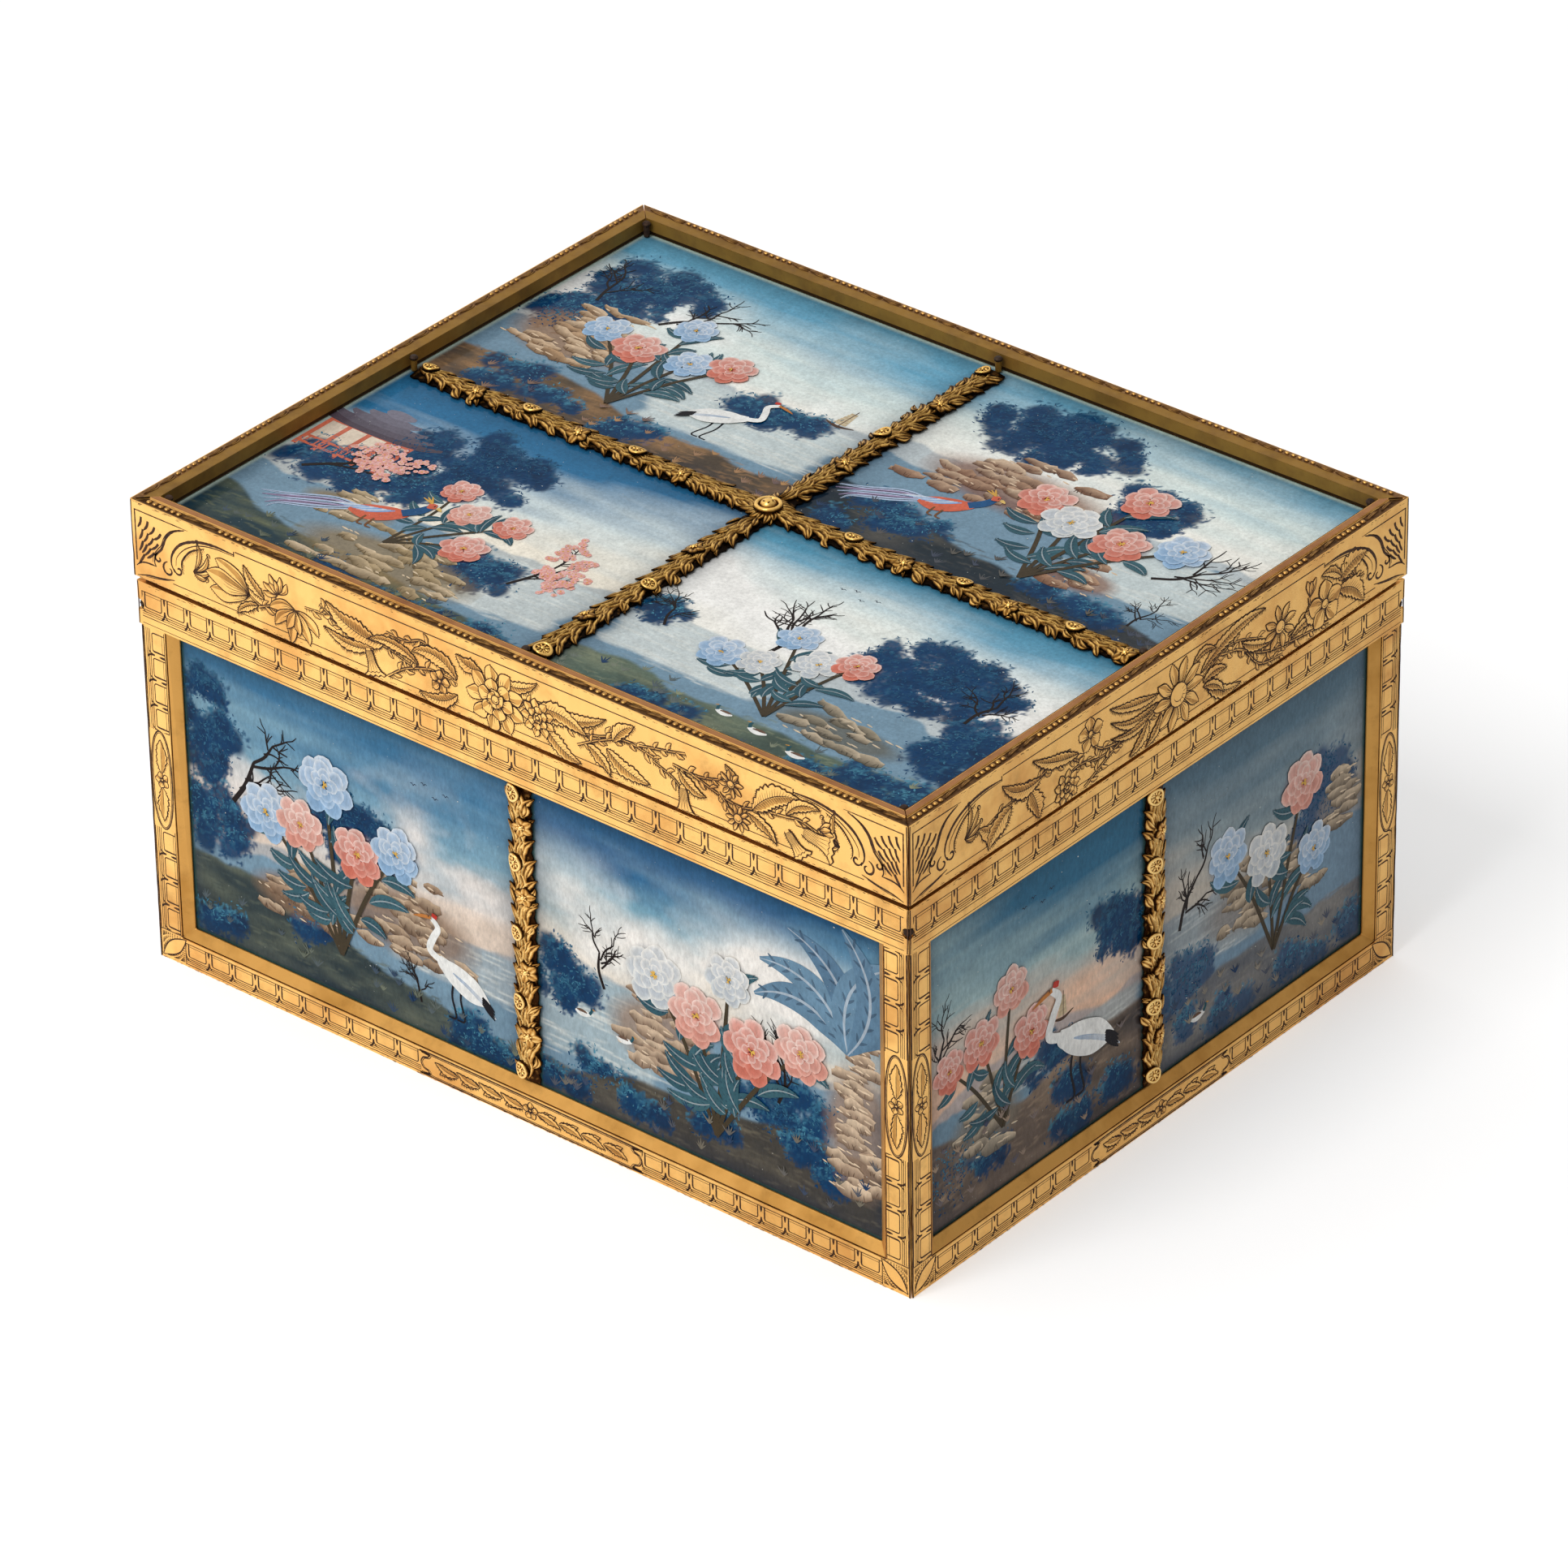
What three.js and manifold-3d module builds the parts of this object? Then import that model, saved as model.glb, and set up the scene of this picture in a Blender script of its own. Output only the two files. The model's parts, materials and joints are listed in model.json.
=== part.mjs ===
// Ormolu casket: gilt-brass frames and painted glass panels around a wooden carcass, with a hinged lid.
// Millimetres. The origin is the centre of the underside; +X runs along the front, +Y back, +Z up.
import * as THREE from "three";
import { mergeVertices } from "three/addons/utils/BufferGeometryUtils.js";
import Module from "manifold-3d";

const wasm = await Module();
wasm.setup();

// Overall case
const lidLength = 240;
const lidWidth = 190;
const lidBandHeight = 21.2;
const seamHeight = 1.4;
const baseHeight = 107.4;
const lidOverhang = 0.4;

// Clearances
const fit = 0.3; // between pieces that seat on or against each other
const mitreGap = 0.15; // from each mitred end to the corner's diagonal

// Gilt-brass frames of the base
const railHeight = 12; // top rail, full length of each side
const railThickness = 2.2;
const railProud = 0.4; // how far the top rail stands out from the frame below it
const frameThickness = 1.6;
const stileWidth = 7.6; // engraved upright at each end of a frame
const footRailHeight = 7.8; // engraved rail along the foot
const slipWidth = 2.9; // plain sloping slip between the frame and the glass
const slipFrontThickness = 0.5; // at its inner edge, on the glass
const slipLap = 1.2; // flange of the slip behind the frame
const slipStep = 0.2; // the slip's outer edge lies this far behind the frame's face

// Painted glass
const glassThickness = 2;
const glassCover = 2; // glass hidden behind the top rail
const glassCornerSetback = 6; // from the case's corner to the end of a pane
const paneGap = 0.4; // between two panes, behind the cast strip

// Wooden carcass and linings
const boardThickness = 6;
const wallThickness = 5;
const carcassTopSetback = 0.3; // below the top of the rails
const liningThickness = 1.2;
const liningTopSetback = 0.9; // below the top of the carcass

// Cast garland strips
const stripWidth = 8.5;
const stripRelief = 2.3;
const stripBevel = 0.6;
const leafPitch = 6;
const leafNotch = 1.5; // depth of the notch between two leaf tips
const leafTipShare = 0.8; // how far along its pitch each leaf has its tip
const flowerRadius = 2.7;
const flowerTopRadius = 2.2;
const flowerHeight = 0.5; // above the leaves
const flowerEvery = 4; // leaves between two flowers
const roundSides = 12;

// Corner pins of the base
const pinHeadRadius = 1.3;
const pinHeadHeight = 0.9;
const pinShoulderRadius = 1; // where the dome of the head flattens
const pinShoulderHeight = 0.6;
const pinShankRadius = 0.7;
const pinLength = 8;
const pinDrop = 6.5; // below the top of the base
const pinClearance = 0.25;
const pinSeatDepth = 1.5; // flat seat cut into the corner for the head

// Lid
const rimWidth = 5.3;
const lidWallThickness = 1.6;
const lidRecess = 4.2; // from the rim down to the glass
const grooveStart = 0.7; // beaded groove along the rim, from the outer edge
const grooveWidth = 2.7;
const grooveDepth = 0.5;
const lidBoardThickness = 3.9;
const lidTrayRim = 5;
const lidLiningThickness = 1.2;
const lidLiningSetback = 0.5; // the lining's edge stops above the tray's edge
const bossRadius = 3.3;
const bossHeight = 1.6;
const bossRimHeight = 0.7;
const bossShoulderRadius = 1.8;
const bossShoulderHeight = 1.3;
const bossCrownRadius = 1.1;

// Iron posts inside the lid's rim
const postRadius = 0.8;
const postHeadRadius = 1.1;
const postHeadHeight = 1;
const postCrownRadius = 0.7;
const postCrownHeight = 0.5;

// Hinges
const hingeInset = 50; // from the end of the lid to the middle of a hinge
const hingeLength = 30;
const leafHeight = 9.4;
const leafThickness = 1.1;
const knuckleRadius = 2.2;
const hingePinRadius = 0.85;
const hingePinClearance = 0.3;
const hingePinHeadRadius = 1.5;
const hingePinCrownRadius = 1;
const hingePinHeadHeight = 0.8;
const middleKnuckleLength = 12.6;
const axisClearance = 0.2; // between the barrel and the lid's back
const leafSetback = 0.15; // between a leaf and the face that it is screwed to
const leafBarrelGap = 0.4; // between a leaf's plate and the other leaf's knuckles
const stopAngle = 100; // degrees that the lid opens
const stopLugReach = 1.7; // beyond the barrel
const stopLugWidth = 1.4;
const barrelSides = 16;

// Sizes worked out from those above
const baseLength = lidLength - 2 * lidOverhang;
const baseWidth = lidWidth - 2 * lidOverhang;
const lidBottom = baseHeight + seamHeight;
const lidTop = lidBottom + lidBandHeight;
const frameTop = baseHeight - railHeight - fit;
const frameBack = railProud + frameThickness;
const slipBack = Math.max(frameBack, railThickness) + fit + slipFrontThickness;
const glassFront = slipBack + fit;
const glassBack = glassFront + glassThickness;
const glassBottom = boardThickness + fit;
const glassTop = baseHeight - railHeight + glassCover;
const carcassFace = glassBack + fit;
const ledgeFace = Math.max(frameBack, railThickness) + fit;
const carcassInner = carcassFace + wallThickness;
const carcassTop = baseHeight - carcassTopSetback;
const liningFace = carcassInner + fit;
const liningInner = liningFace + liningThickness;
const stripBack = glassFront - fit;
const lidBlockBottom = lidTop - lidRecess;
const lidGlassTop = lidBlockBottom - fit;
const lidGlassBottom = lidGlassTop - glassThickness;
const lidBoardTop = lidGlassBottom - fit;
const lidBoardBottom = lidBoardTop - lidBoardThickness;
const lidInside = lidWallThickness + fit;
const lidTrayBottom = carcassTop + fit;
const lidLiningOuter = lidInside + lidTrayRim + fit;
const lidLiningTop = lidBoardBottom - fit;
const lidStripBottom = lidGlassTop + fit;
const postHeight = lidTop - lidStripBottom;
const postSetback = rimWidth + fit + postHeadRadius;
const stripEndSetback = postSetback + postHeadRadius + fit;
const hingeAxisY = lidWidth / 2 + axisClearance + knuckleRadius;
const hingeAxisZ = baseHeight + seamHeight / 2;

// Finishes
const gilt = { color: 0xd9a441, roughness: 0.32, metalness: 1 };
const giltPlain = { color: 0xe0b050, roughness: 0.28, metalness: 1 };
const castGilt = { color: 0xa9792f, roughness: 0.45, metalness: 1 };
const iron = { color: 0x33271e, roughness: 0.6, metalness: 0.8 };
const hingeBrass = { color: 0xb58a3c, roughness: 0.38, metalness: 1 };
const paintedGlass = { color: 0x4d7f9c, roughness: 0.08, metalness: 0 };
const walnut = { color: 0x5a3a22, roughness: 0.7, metalness: 0 };
const velvet = { color: 0x6e1626, roughness: 0.95, metalness: 0 };

// A closed geometry as a solid that can be cut and joined.
function solidOf(geometry) {
  const plain = geometry.clone();
  plain.deleteAttribute("normal");
  plain.deleteAttribute("uv");
  const merged = mergeVertices(plain, 1e-4);
  return new wasm.Manifold(
    new wasm.Mesh({
      numProp: 3,
      vertProperties: merged.getAttribute("position").array,
      triVerts: new Uint32Array(merged.index.array),
    }),
  );
}

// A solid back as a geometry.
function geometryOf(solid) {
  const mesh = solid.getMesh();
  return new THREE.BufferGeometry()
    .setAttribute("position", new THREE.BufferAttribute(mesh.vertProperties, 3))
    .setIndex(new THREE.BufferAttribute(mesh.triVerts, 1));
}

// One geometry joined from several that overlap.
function joined(...geometries) {
  return geometryOf(geometries.map(solidOf).reduce((sum, solid) => sum.add(solid)));
}

// A geometry with others cut out of it.
function cut(geometry, ...tools) {
  return geometryOf(tools.map(solidOf).reduce((left, tool) => left.subtract(tool), solidOf(geometry)));
}

// A box between two opposite corners.
function block(low, high) {
  const size = high.map((value, axis) => value - low[axis]);
  const box = new THREE.BoxGeometry(...size);
  return box.translate(...low.map((value, axis) => value + size[axis] / 2));
}

// A box centred on the case's axis, set in by one distance from all four sides of a plan.
function centredBlock(length, width, inset, bottom, top) {
  const x = length / 2 - inset;
  const y = width / 2 - inset;
  return block([-x, -y, bottom], [x, y, top]);
}

// A profile carried through stations; each station turns a profile point into a place in space.
function loft(profile, stations) {
  const points = stations.flatMap((station) => profile.map(([across, deep]) => station(across, deep)));
  const caps = THREE.ShapeUtils.triangulateShape(
    profile.map(([across, deep]) => new THREE.Vector2(across, deep)),
    [],
  );
  const count = profile.length;
  const faces = caps.map(([a, b, c]) => [c, b, a]);
  for (let station = 0; station < stations.length - 1; station += 1) {
    for (let i = 0; i < count; i += 1) {
      const a = station * count + i;
      const b = station * count + ((i + 1) % count);
      faces.push([a, b, b + count], [a, b + count, a + count]);
    }
  }
  const last = (stations.length - 1) * count;
  faces.push(...caps.map((face) => face.map((i) => i + last)));
  const geometry = new THREE.BufferGeometry().setFromPoints(points.map((p) => new THREE.Vector3(...p)));
  geometry.setIndex(faces.flat());
  if (solidOf(geometry).volume() < 0) {
    geometry.setIndex(faces.map(([a, b, c]) => [c, b, a]).flat());
  }
  return geometry;
}

// A straight bar along a side with mitred ends: its profile is given as (depth from the face, height).
function mitredBar(profile, length, depth) {
  const end = length / 2 - mitreGap;
  return loft(profile, [
    (deep, height) => [-end + deep, deep - depth / 2, height],
    (deep, height) => [end - deep, deep - depth / 2, height],
  ]);
}

// The U-shaped frame of one side: two stiles and a foot rail cut from one plate.
function sideFrame(length, depth) {
  const opening = length / 2 - railProud - stileWidth;
  const plate = [
    [railProud, 0],
    [frameBack, 0],
    [frameBack, frameTop],
    [railProud, frameTop],
  ];
  const behind = frameBack + fit - depth / 2;
  const window = block([-opening, -depth / 2 - fit, footRailHeight], [opening, behind, lidTop]);
  return cut(mitredBar(plate, length, depth), window);
}

// The top rail of one side, with seats for the corner pins.
function topRail(length, depth) {
  const bar = [
    [0, frameTop + fit],
    [railThickness, frameTop + fit],
    [railThickness, baseHeight],
    [0, baseHeight],
  ];
  return cut(mitredBar(bar, length, depth), ...cornerPinHoles(length, depth));
}

// The sloping slip that frames the glass on its left, bottom and right.
function glazingSlip(length, depth) {
  const half = length / 2 - railProud - stileWidth;
  const front = railProud + slipStep;
  const lapFront = slipBack - slipFrontThickness;
  const section = [
    [fit, front],
    [slipWidth, lapFront],
    [slipWidth, slipBack],
    [-slipLap, slipBack],
    [-slipLap, lapFront],
    [fit, lapFront],
  ];
  const place = (x, z, deep) => [x, deep - depth / 2, z];
  return loft(section, [
    (inward, deep) => place(inward - half, frameTop, deep),
    (inward, deep) => place(inward - half, footRailHeight + inward, deep),
    (inward, deep) => place(half - inward, footRailHeight + inward, deep),
    (inward, deep) => place(half - inward, frameTop, deep),
  ]);
}

// One painted pane of a side; hand is -1 for the left one and 1 for the right one.
function sidePane(length, depth, hand) {
  const outer = hand * (length / 2 - glassCornerSetback);
  const inner = hand * (paneGap / 2);
  return block(
    [Math.min(inner, outer), glassFront - depth / 2, glassBottom],
    [Math.max(inner, outer), glassBack - depth / 2, glassTop],
  );
}

// A cast garland: overlapping leaves along both edges and small round flowers, lying in the XY plane along X.
function garland(length) {
  const leaves = Math.max(2, Math.round(length / leafPitch));
  const pitch = length / leaves;
  const tip = stripWidth / 2;
  const notch = tip - leafNotch;
  const edge = [];
  for (let leaf = 0; leaf < leaves; leaf += 1) {
    const start = leaf * pitch - length / 2;
    edge.push([start, notch], [start + pitch * leafTipShare, tip]);
  }
  edge.push([length / 2, notch]);
  const outline = [...edge, ...edge.map(([x, y]) => [x, -y]).reverse()];
  const body = new THREE.ExtrudeGeometry(new THREE.Shape(outline.map(([x, y]) => new THREE.Vector2(x, y))), {
    depth: stripRelief - flowerHeight - 2 * stripBevel,
    bevelThickness: stripBevel,
    bevelSize: stripBevel,
    bevelOffset: -stripBevel,
    bevelSegments: 1,
  });
  body.translate(0, 0, stripBevel);
  const flowers = [];
  const rooted = stripRelief / 2;
  for (let leaf = flowerEvery / 2; leaf < leaves; leaf += flowerEvery) {
    const flower = new THREE.CylinderGeometry(flowerTopRadius, flowerRadius, rooted, roundSides);
    flower.rotateX(Math.PI / 2);
    flower.translate(leaf * pitch - length / 2, 0, stripRelief - rooted / 2);
    flowers.push(flower);
  }
  return joined(body, ...flowers);
}

// The garland that covers the joint between the two panes of a side.
function sideStrip(depth) {
  const bottom = footRailHeight + slipWidth + fit;
  const strip = garland(frameTop - bottom);
  const upright = new THREE.Matrix4().makeBasis(
    new THREE.Vector3(0, 0, 1),
    new THREE.Vector3(-1, 0, 0),
    new THREE.Vector3(0, -1, 0),
  );
  strip.applyMatrix4(upright);
  return strip.translate(0, stripBack - depth / 2, (frameTop + bottom) / 2);
}

// A turned pin or post: its profile of [radius, height] is spun about the Y axis.
function turned(profile, sides = roundSides) {
  return new THREE.LatheGeometry(
    profile.map(([radius, height]) => new THREE.Vector2(radius, height)),
    sides,
  );
}

// Moves a piece that was turned about Y so that its axis points outwards from a corner of the case.
function atCorner(geometry, xSign, ySign, length, depth) {
  const outwards = new THREE.Vector3(xSign, ySign, 0).normalize();
  geometry.applyQuaternion(new THREE.Quaternion().setFromUnitVectors(new THREE.Vector3(0, 1, 0), outwards));
  const seat = new THREE.Vector3((xSign * length) / 2, (ySign * depth) / 2, baseHeight - pinDrop);
  seat.addScaledVector(outwards, -pinSeatDepth);
  return geometry.translate(seat.x, seat.y, seat.z);
}

// A corner pin: a domed iron head on a shank that runs back into the carcass.
function cornerPin() {
  return turned([
    [0, -pinLength],
    [pinShankRadius, -pinLength],
    [pinShankRadius, 0],
    [pinHeadRadius, 0],
    [pinShoulderRadius, pinShoulderHeight],
    [0, pinHeadHeight],
  ]);
}

// The hole for a corner pin: a seat for its head and a bore for its shank.
function cornerPinHole() {
  const bore = pinShankRadius + pinClearance;
  const seat = pinHeadRadius + pinClearance;
  return turned([
    [0, -pinLength - fit],
    [bore, -pinLength - fit],
    [bore, -fit],
    [seat, -fit],
    [seat, pinSeatDepth + fit],
    [0, pinSeatDepth + fit],
  ]);
}

// The holes at the two near corners of a side, in that side's own frame.
function cornerPinHoles(length, depth) {
  return [-1, 1].map((xSign) => atCorner(cornerPinHole(), xSign, -1, length, depth));
}

// The wooden carcass: four walls with rebates for the panes, corner posts and a ledge under the top rails.
function carcass() {
  const body = centredBlock(baseLength, baseWidth, ledgeFace, boardThickness + fit, carcassTop);
  const room = centredBlock(baseLength, baseWidth, carcassInner, 0, lidTop);
  const reach = ledgeFace + fit;
  const rebate = (length, depth) => {
    const end = length / 2 - glassCornerSetback + fit;
    return block([-end, -depth / 2 - reach, 0], [end, carcassFace - depth / 2, glassTop + fit]);
  };
  const rebates = sides.map((side) => rebate(side.length, side.depth).rotateZ(side.turn));
  const holes = [-1, 1].flatMap((ySign) =>
    [-1, 1].map((xSign) => atCorner(cornerPinHole(), xSign, ySign, baseLength, baseWidth)),
  );
  return cut(body, room, ...rebates, ...holes);
}

// An open tray with a floor and four walls, its mouth up or down.
function tray(length, width, outer, inner, closedEnd, floor, mouth) {
  const shell = centredBlock(length, width, outer, Math.min(closedEnd, mouth), Math.max(closedEnd, mouth));
  const past = mouth + Math.sign(mouth - floor);
  return cut(shell, centredBlock(length, width, inner, Math.min(floor, past), Math.max(floor, past)));
}

// A lid rail: a rebated bar with a beaded groove along its rim; the glass lies under its inner half.
function lidRail(length, depth) {
  const grooveEnd = grooveStart + grooveWidth;
  const section = [
    [0, lidBottom],
    [lidWallThickness, lidBottom],
    [lidWallThickness, lidBlockBottom],
    [rimWidth, lidBlockBottom],
    [rimWidth, lidTop],
    [grooveEnd, lidTop],
    [grooveEnd, lidTop - grooveDepth],
    [grooveStart, lidTop - grooveDepth],
    [grooveStart, lidTop],
    [0, lidTop],
  ];
  return mitredBar(section, length, depth);
}

// One painted pane of the lid.
function lidPane(xSign, ySign) {
  const near = paneGap / 2;
  const x = [xSign * near, xSign * (lidLength / 2 - lidInside)].sort((a, b) => a - b);
  const y = [ySign * near, ySign * (lidWidth / 2 - lidInside)].sort((a, b) => a - b);
  return block([x[0], y[0], lidGlassBottom], [x[1], y[1], lidGlassTop]);
}

// The iron post that stands in a corner of the lid's rim or at the end of a garland.
function rimPost(x, y) {
  const post = turned([
    [0, 0],
    [postRadius, 0],
    [postRadius, postHeight - postHeadHeight],
    [postHeadRadius, postHeight - postHeadHeight],
    [postHeadRadius, postHeight - postCrownHeight],
    [postCrownRadius, postHeight],
    [0, postHeight],
  ]);
  return post.rotateX(Math.PI / 2).translate(x, y, lidStripBottom);
}

// The round boss over the crossing of the lid's garlands.
function centreBoss() {
  const bottom = lidStripBottom + stripRelief + fit;
  const boss = turned([
    [0, 0],
    [bossRadius, 0],
    [bossRadius, bossRimHeight],
    [bossShoulderRadius, bossShoulderHeight],
    [bossCrownRadius, bossHeight],
    [0, bossHeight],
  ]);
  return boss.rotateX(Math.PI / 2).translate(0, 0, bottom);
}

// A hinge knuckle with its bore, along X between two ends, around the hinge's axis.
function knuckle(start, end) {
  const ring = new THREE.Shape().absarc(0, 0, knuckleRadius, 0, 2 * Math.PI);
  ring.holes.push(new THREE.Path().absarc(0, 0, hingePinRadius + hingePinClearance, 0, 2 * Math.PI, true));
  const barrel = new THREE.ExtrudeGeometry(ring, {
    depth: end - start,
    bevelEnabled: false,
    curveSegments: barrelSides / 2,
  });
  return barrel.rotateY(Math.PI / 2).translate(start, 0, 0);
}

// A hinge leaf around its axis at the origin: one plate, and a neck to each of its knuckles.
// upwards is 1 for the lid's leaf and -1 for the base's; face is the depth of the plate behind the axis.
function hingeLeaf(knuckles, upwards, face) {
  const half = hingeLength / 2;
  const near = knuckleRadius + leafBarrelGap;
  const heights = [upwards * near, upwards * (near + leafHeight)].sort((a, b) => a - b);
  const plate = block([-half, face, heights[0]], [half, face + leafThickness, heights[1]]);
  const root = hingePinRadius + hingePinClearance + fit;
  const necks = knuckles.map(([start, end]) => {
    const rise = [upwards * root, upwards * (near + leafThickness)].sort((a, b) => a - b);
    return block([start, face, rise[0]], [end, face + leafThickness, rise[1]]);
  });
  return joined(plate, ...necks, ...knuckles.map(([start, end]) => knuckle(start, end)));
}

// The lug on the lid leaf's knuckle that meets the base leaf when the lid is fully open.
function stopLug(start, end, baseLeafFace) {
  const front = baseLeafFace + leafThickness + fit;
  const lug = block(
    [start, front, -knuckleRadius - stopLugReach],
    [end, front + stopLugWidth, -knuckleRadius + fit],
  );
  return lug.rotateX(THREE.MathUtils.degToRad(stopAngle));
}

// One hinge at a place along the back: two leaves and their pin.
function addHinge(name, x, baseBody, lidBody) {
  const half = hingeLength / 2;
  const middle = middleKnuckleLength / 2;
  const outer = middle + fit;
  const baseFace = baseWidth / 2 + leafSetback - hingeAxisY;
  const lidFace = lidWidth / 2 + leafSetback - hingeAxisY;
  const baseLeaf = hingeLeaf([[-half, -outer], [outer, half]], -1, baseFace);
  const lidLeaf = joined(hingeLeaf([[-middle, middle]], 1, lidFace), stopLug(-middle, middle, baseFace));
  const pinEnd = half + fit;
  const pin = turned([
    [0, -pinEnd - hingePinHeadHeight],
    [hingePinCrownRadius, -pinEnd - hingePinHeadHeight],
    [hingePinHeadRadius, -pinEnd],
    [hingePinRadius, -pinEnd],
    [hingePinRadius, pinEnd],
    [hingePinHeadRadius, pinEnd],
    [hingePinCrownRadius, pinEnd + hingePinHeadHeight],
    [0, pinEnd + hingePinHeadHeight],
  ]).rotateZ(Math.PI / 2);
  addPiece(baseBody, name + "_base_leaf", baseLeaf.translate(x, hingeAxisY, hingeAxisZ), hingeBrass);
  addPiece(baseBody, name + "_pin", pin.translate(x, hingeAxisY, hingeAxisZ), iron);
  addPiece(lidBody, name + "_lid_leaf", lidLeaf.translate(x, hingeAxisY, hingeAxisZ), hingeBrass);
}

// A named mesh with a material of its own.
function addPiece(parent, name, geometry, finish) {
  const mesh = new THREE.Mesh(geometry, new THREE.MeshStandardMaterial(finish));
  mesh.name = name;
  parent.add(mesh);
}

// The base's four sides. Each is built facing the front and turned about the case's axis.
const sides = [
  { name: "front", turn: 0, length: baseLength, depth: baseWidth },
  { name: "right", turn: Math.PI / 2, length: baseWidth, depth: baseLength },
  { name: "back", turn: Math.PI, length: baseLength, depth: baseWidth },
  { name: "left", turn: -Math.PI / 2, length: baseWidth, depth: baseLength },
];

const casket = new THREE.Group();
const base = new THREE.Group();
const lid = new THREE.Group();
casket.add(base, lid);

// Woodwork and lining of the base
addPiece(base, "base_board", centredBlock(baseLength, baseWidth, ledgeFace, 0, boardThickness), walnut);
addPiece(base, "wooden_carcass", carcass(), walnut);
const liningFloor = boardThickness + 2 * fit;
const liningTop = carcassTop - liningTopSetback;
const baseLining = tray(
  baseLength,
  baseWidth,
  liningFace,
  liningInner,
  liningFloor,
  liningFloor + liningThickness,
  liningTop,
);
addPiece(base, "base_lining", baseLining, velvet);

// Frames, rails, slips, panes and garlands of the base
for (const side of sides) {
  const face = new THREE.Group();
  face.rotation.z = side.turn;
  base.add(face);
  addPiece(face, side.name + "_frame", sideFrame(side.length, side.depth), gilt);
  addPiece(face, side.name + "_top_rail", topRail(side.length, side.depth), gilt);
  addPiece(face, side.name + "_glazing_slip", glazingSlip(side.length, side.depth), giltPlain);
  addPiece(face, side.name + "_pane_left", sidePane(side.length, side.depth, -1), paintedGlass);
  addPiece(face, side.name + "_pane_right", sidePane(side.length, side.depth, 1), paintedGlass);
  addPiece(face, side.name + "_garland", sideStrip(side.depth), castGilt);
}

// Corner pins of the base, and the lid's posts
const corners = [
  { name: "front_left", x: -1, y: -1 },
  { name: "front_right", x: 1, y: -1 },
  { name: "back_left", x: -1, y: 1 },
  { name: "back_right", x: 1, y: 1 },
];
for (const corner of corners) {
  const pin = atCorner(cornerPin(), corner.x, corner.y, baseLength, baseWidth);
  addPiece(base, "corner_pin_" + corner.name, pin, iron);
  const postX = corner.x * (lidLength / 2 - postSetback);
  const postY = corner.y * (lidWidth / 2 - postSetback);
  addPiece(lid, "lid_post_" + corner.name, rimPost(postX, postY), iron);
  addPiece(lid, "lid_pane_" + corner.name, lidPane(corner.x, corner.y), paintedGlass);
}

// Lid rails and the posts at the garlands' ends
const lidSides = sides.map((side) => ({
  name: side.name,
  turn: side.turn,
  length: side.length + 2 * lidOverhang,
  depth: side.depth + 2 * lidOverhang,
}));
for (const side of lidSides) {
  const edge = new THREE.Group();
  edge.rotation.z = side.turn;
  lid.add(edge);
  addPiece(edge, "lid_rail_" + side.name, lidRail(side.length, side.depth), gilt);
  addPiece(edge, "lid_post_" + side.name, rimPost(0, postSetback - side.depth / 2), iron);
}

// Garlands of the lid: a long one from end to end, and two short ones that meet it under the boss
const longGarland = garland(lidLength - 2 * stripEndSetback).translate(0, 0, lidStripBottom);
addPiece(lid, "lid_garland_long", longGarland, castGilt);
const armStart = stripWidth / 2 + fit;
const armEnd = lidWidth / 2 - stripEndSetback;
for (const arm of [{ name: "front", turn: -Math.PI / 2 }, { name: "back", turn: Math.PI / 2 }]) {
  const strip = garland(armEnd - armStart).translate((armStart + armEnd) / 2, 0, lidStripBottom);
  addPiece(lid, "lid_garland_" + arm.name, strip.rotateZ(arm.turn), castGilt);
}
addPiece(lid, "lid_centre_boss", centreBoss(), castGilt);

// Woodwork and lining of the lid
const lidTrayInner = lidInside + lidTrayRim;
const lidTray = tray(
  lidLength,
  lidWidth,
  lidInside,
  lidTrayInner,
  lidBoardTop,
  lidBoardBottom,
  lidTrayBottom,
);
addPiece(lid, "lid_wooden_tray", lidTray, walnut);
const lidLining = tray(
  lidLength,
  lidWidth,
  lidLiningOuter,
  lidLiningOuter + lidLiningThickness,
  lidLiningTop,
  lidLiningTop - lidLiningThickness,
  lidTrayBottom + lidLiningSetback,
);
addPiece(lid, "lid_lining", lidLining, velvet);


// Hinges
const hingeX = lidLength / 2 - hingeInset;
addHinge("hinge_left", -hingeX, base, lid);
addHinge("hinge_right", hingeX, base, lid);

export default casket;
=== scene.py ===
"""Ormolu casket: engraved gilt frames, painted glass panes, cast garlands, iron pins and velvet linings.

Sizes in the classes are millimetres, worked on flat local planes. Every mesh is placed in metres in the
frame's space.
"""
import json
import logging
import math
import random
from dataclasses import dataclass, field, replace
from enum import Enum
from typing import Iterable, Optional, Sequence

import bmesh
import bpy
import numpy as np
from mathutils import Matrix, Vector


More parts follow.
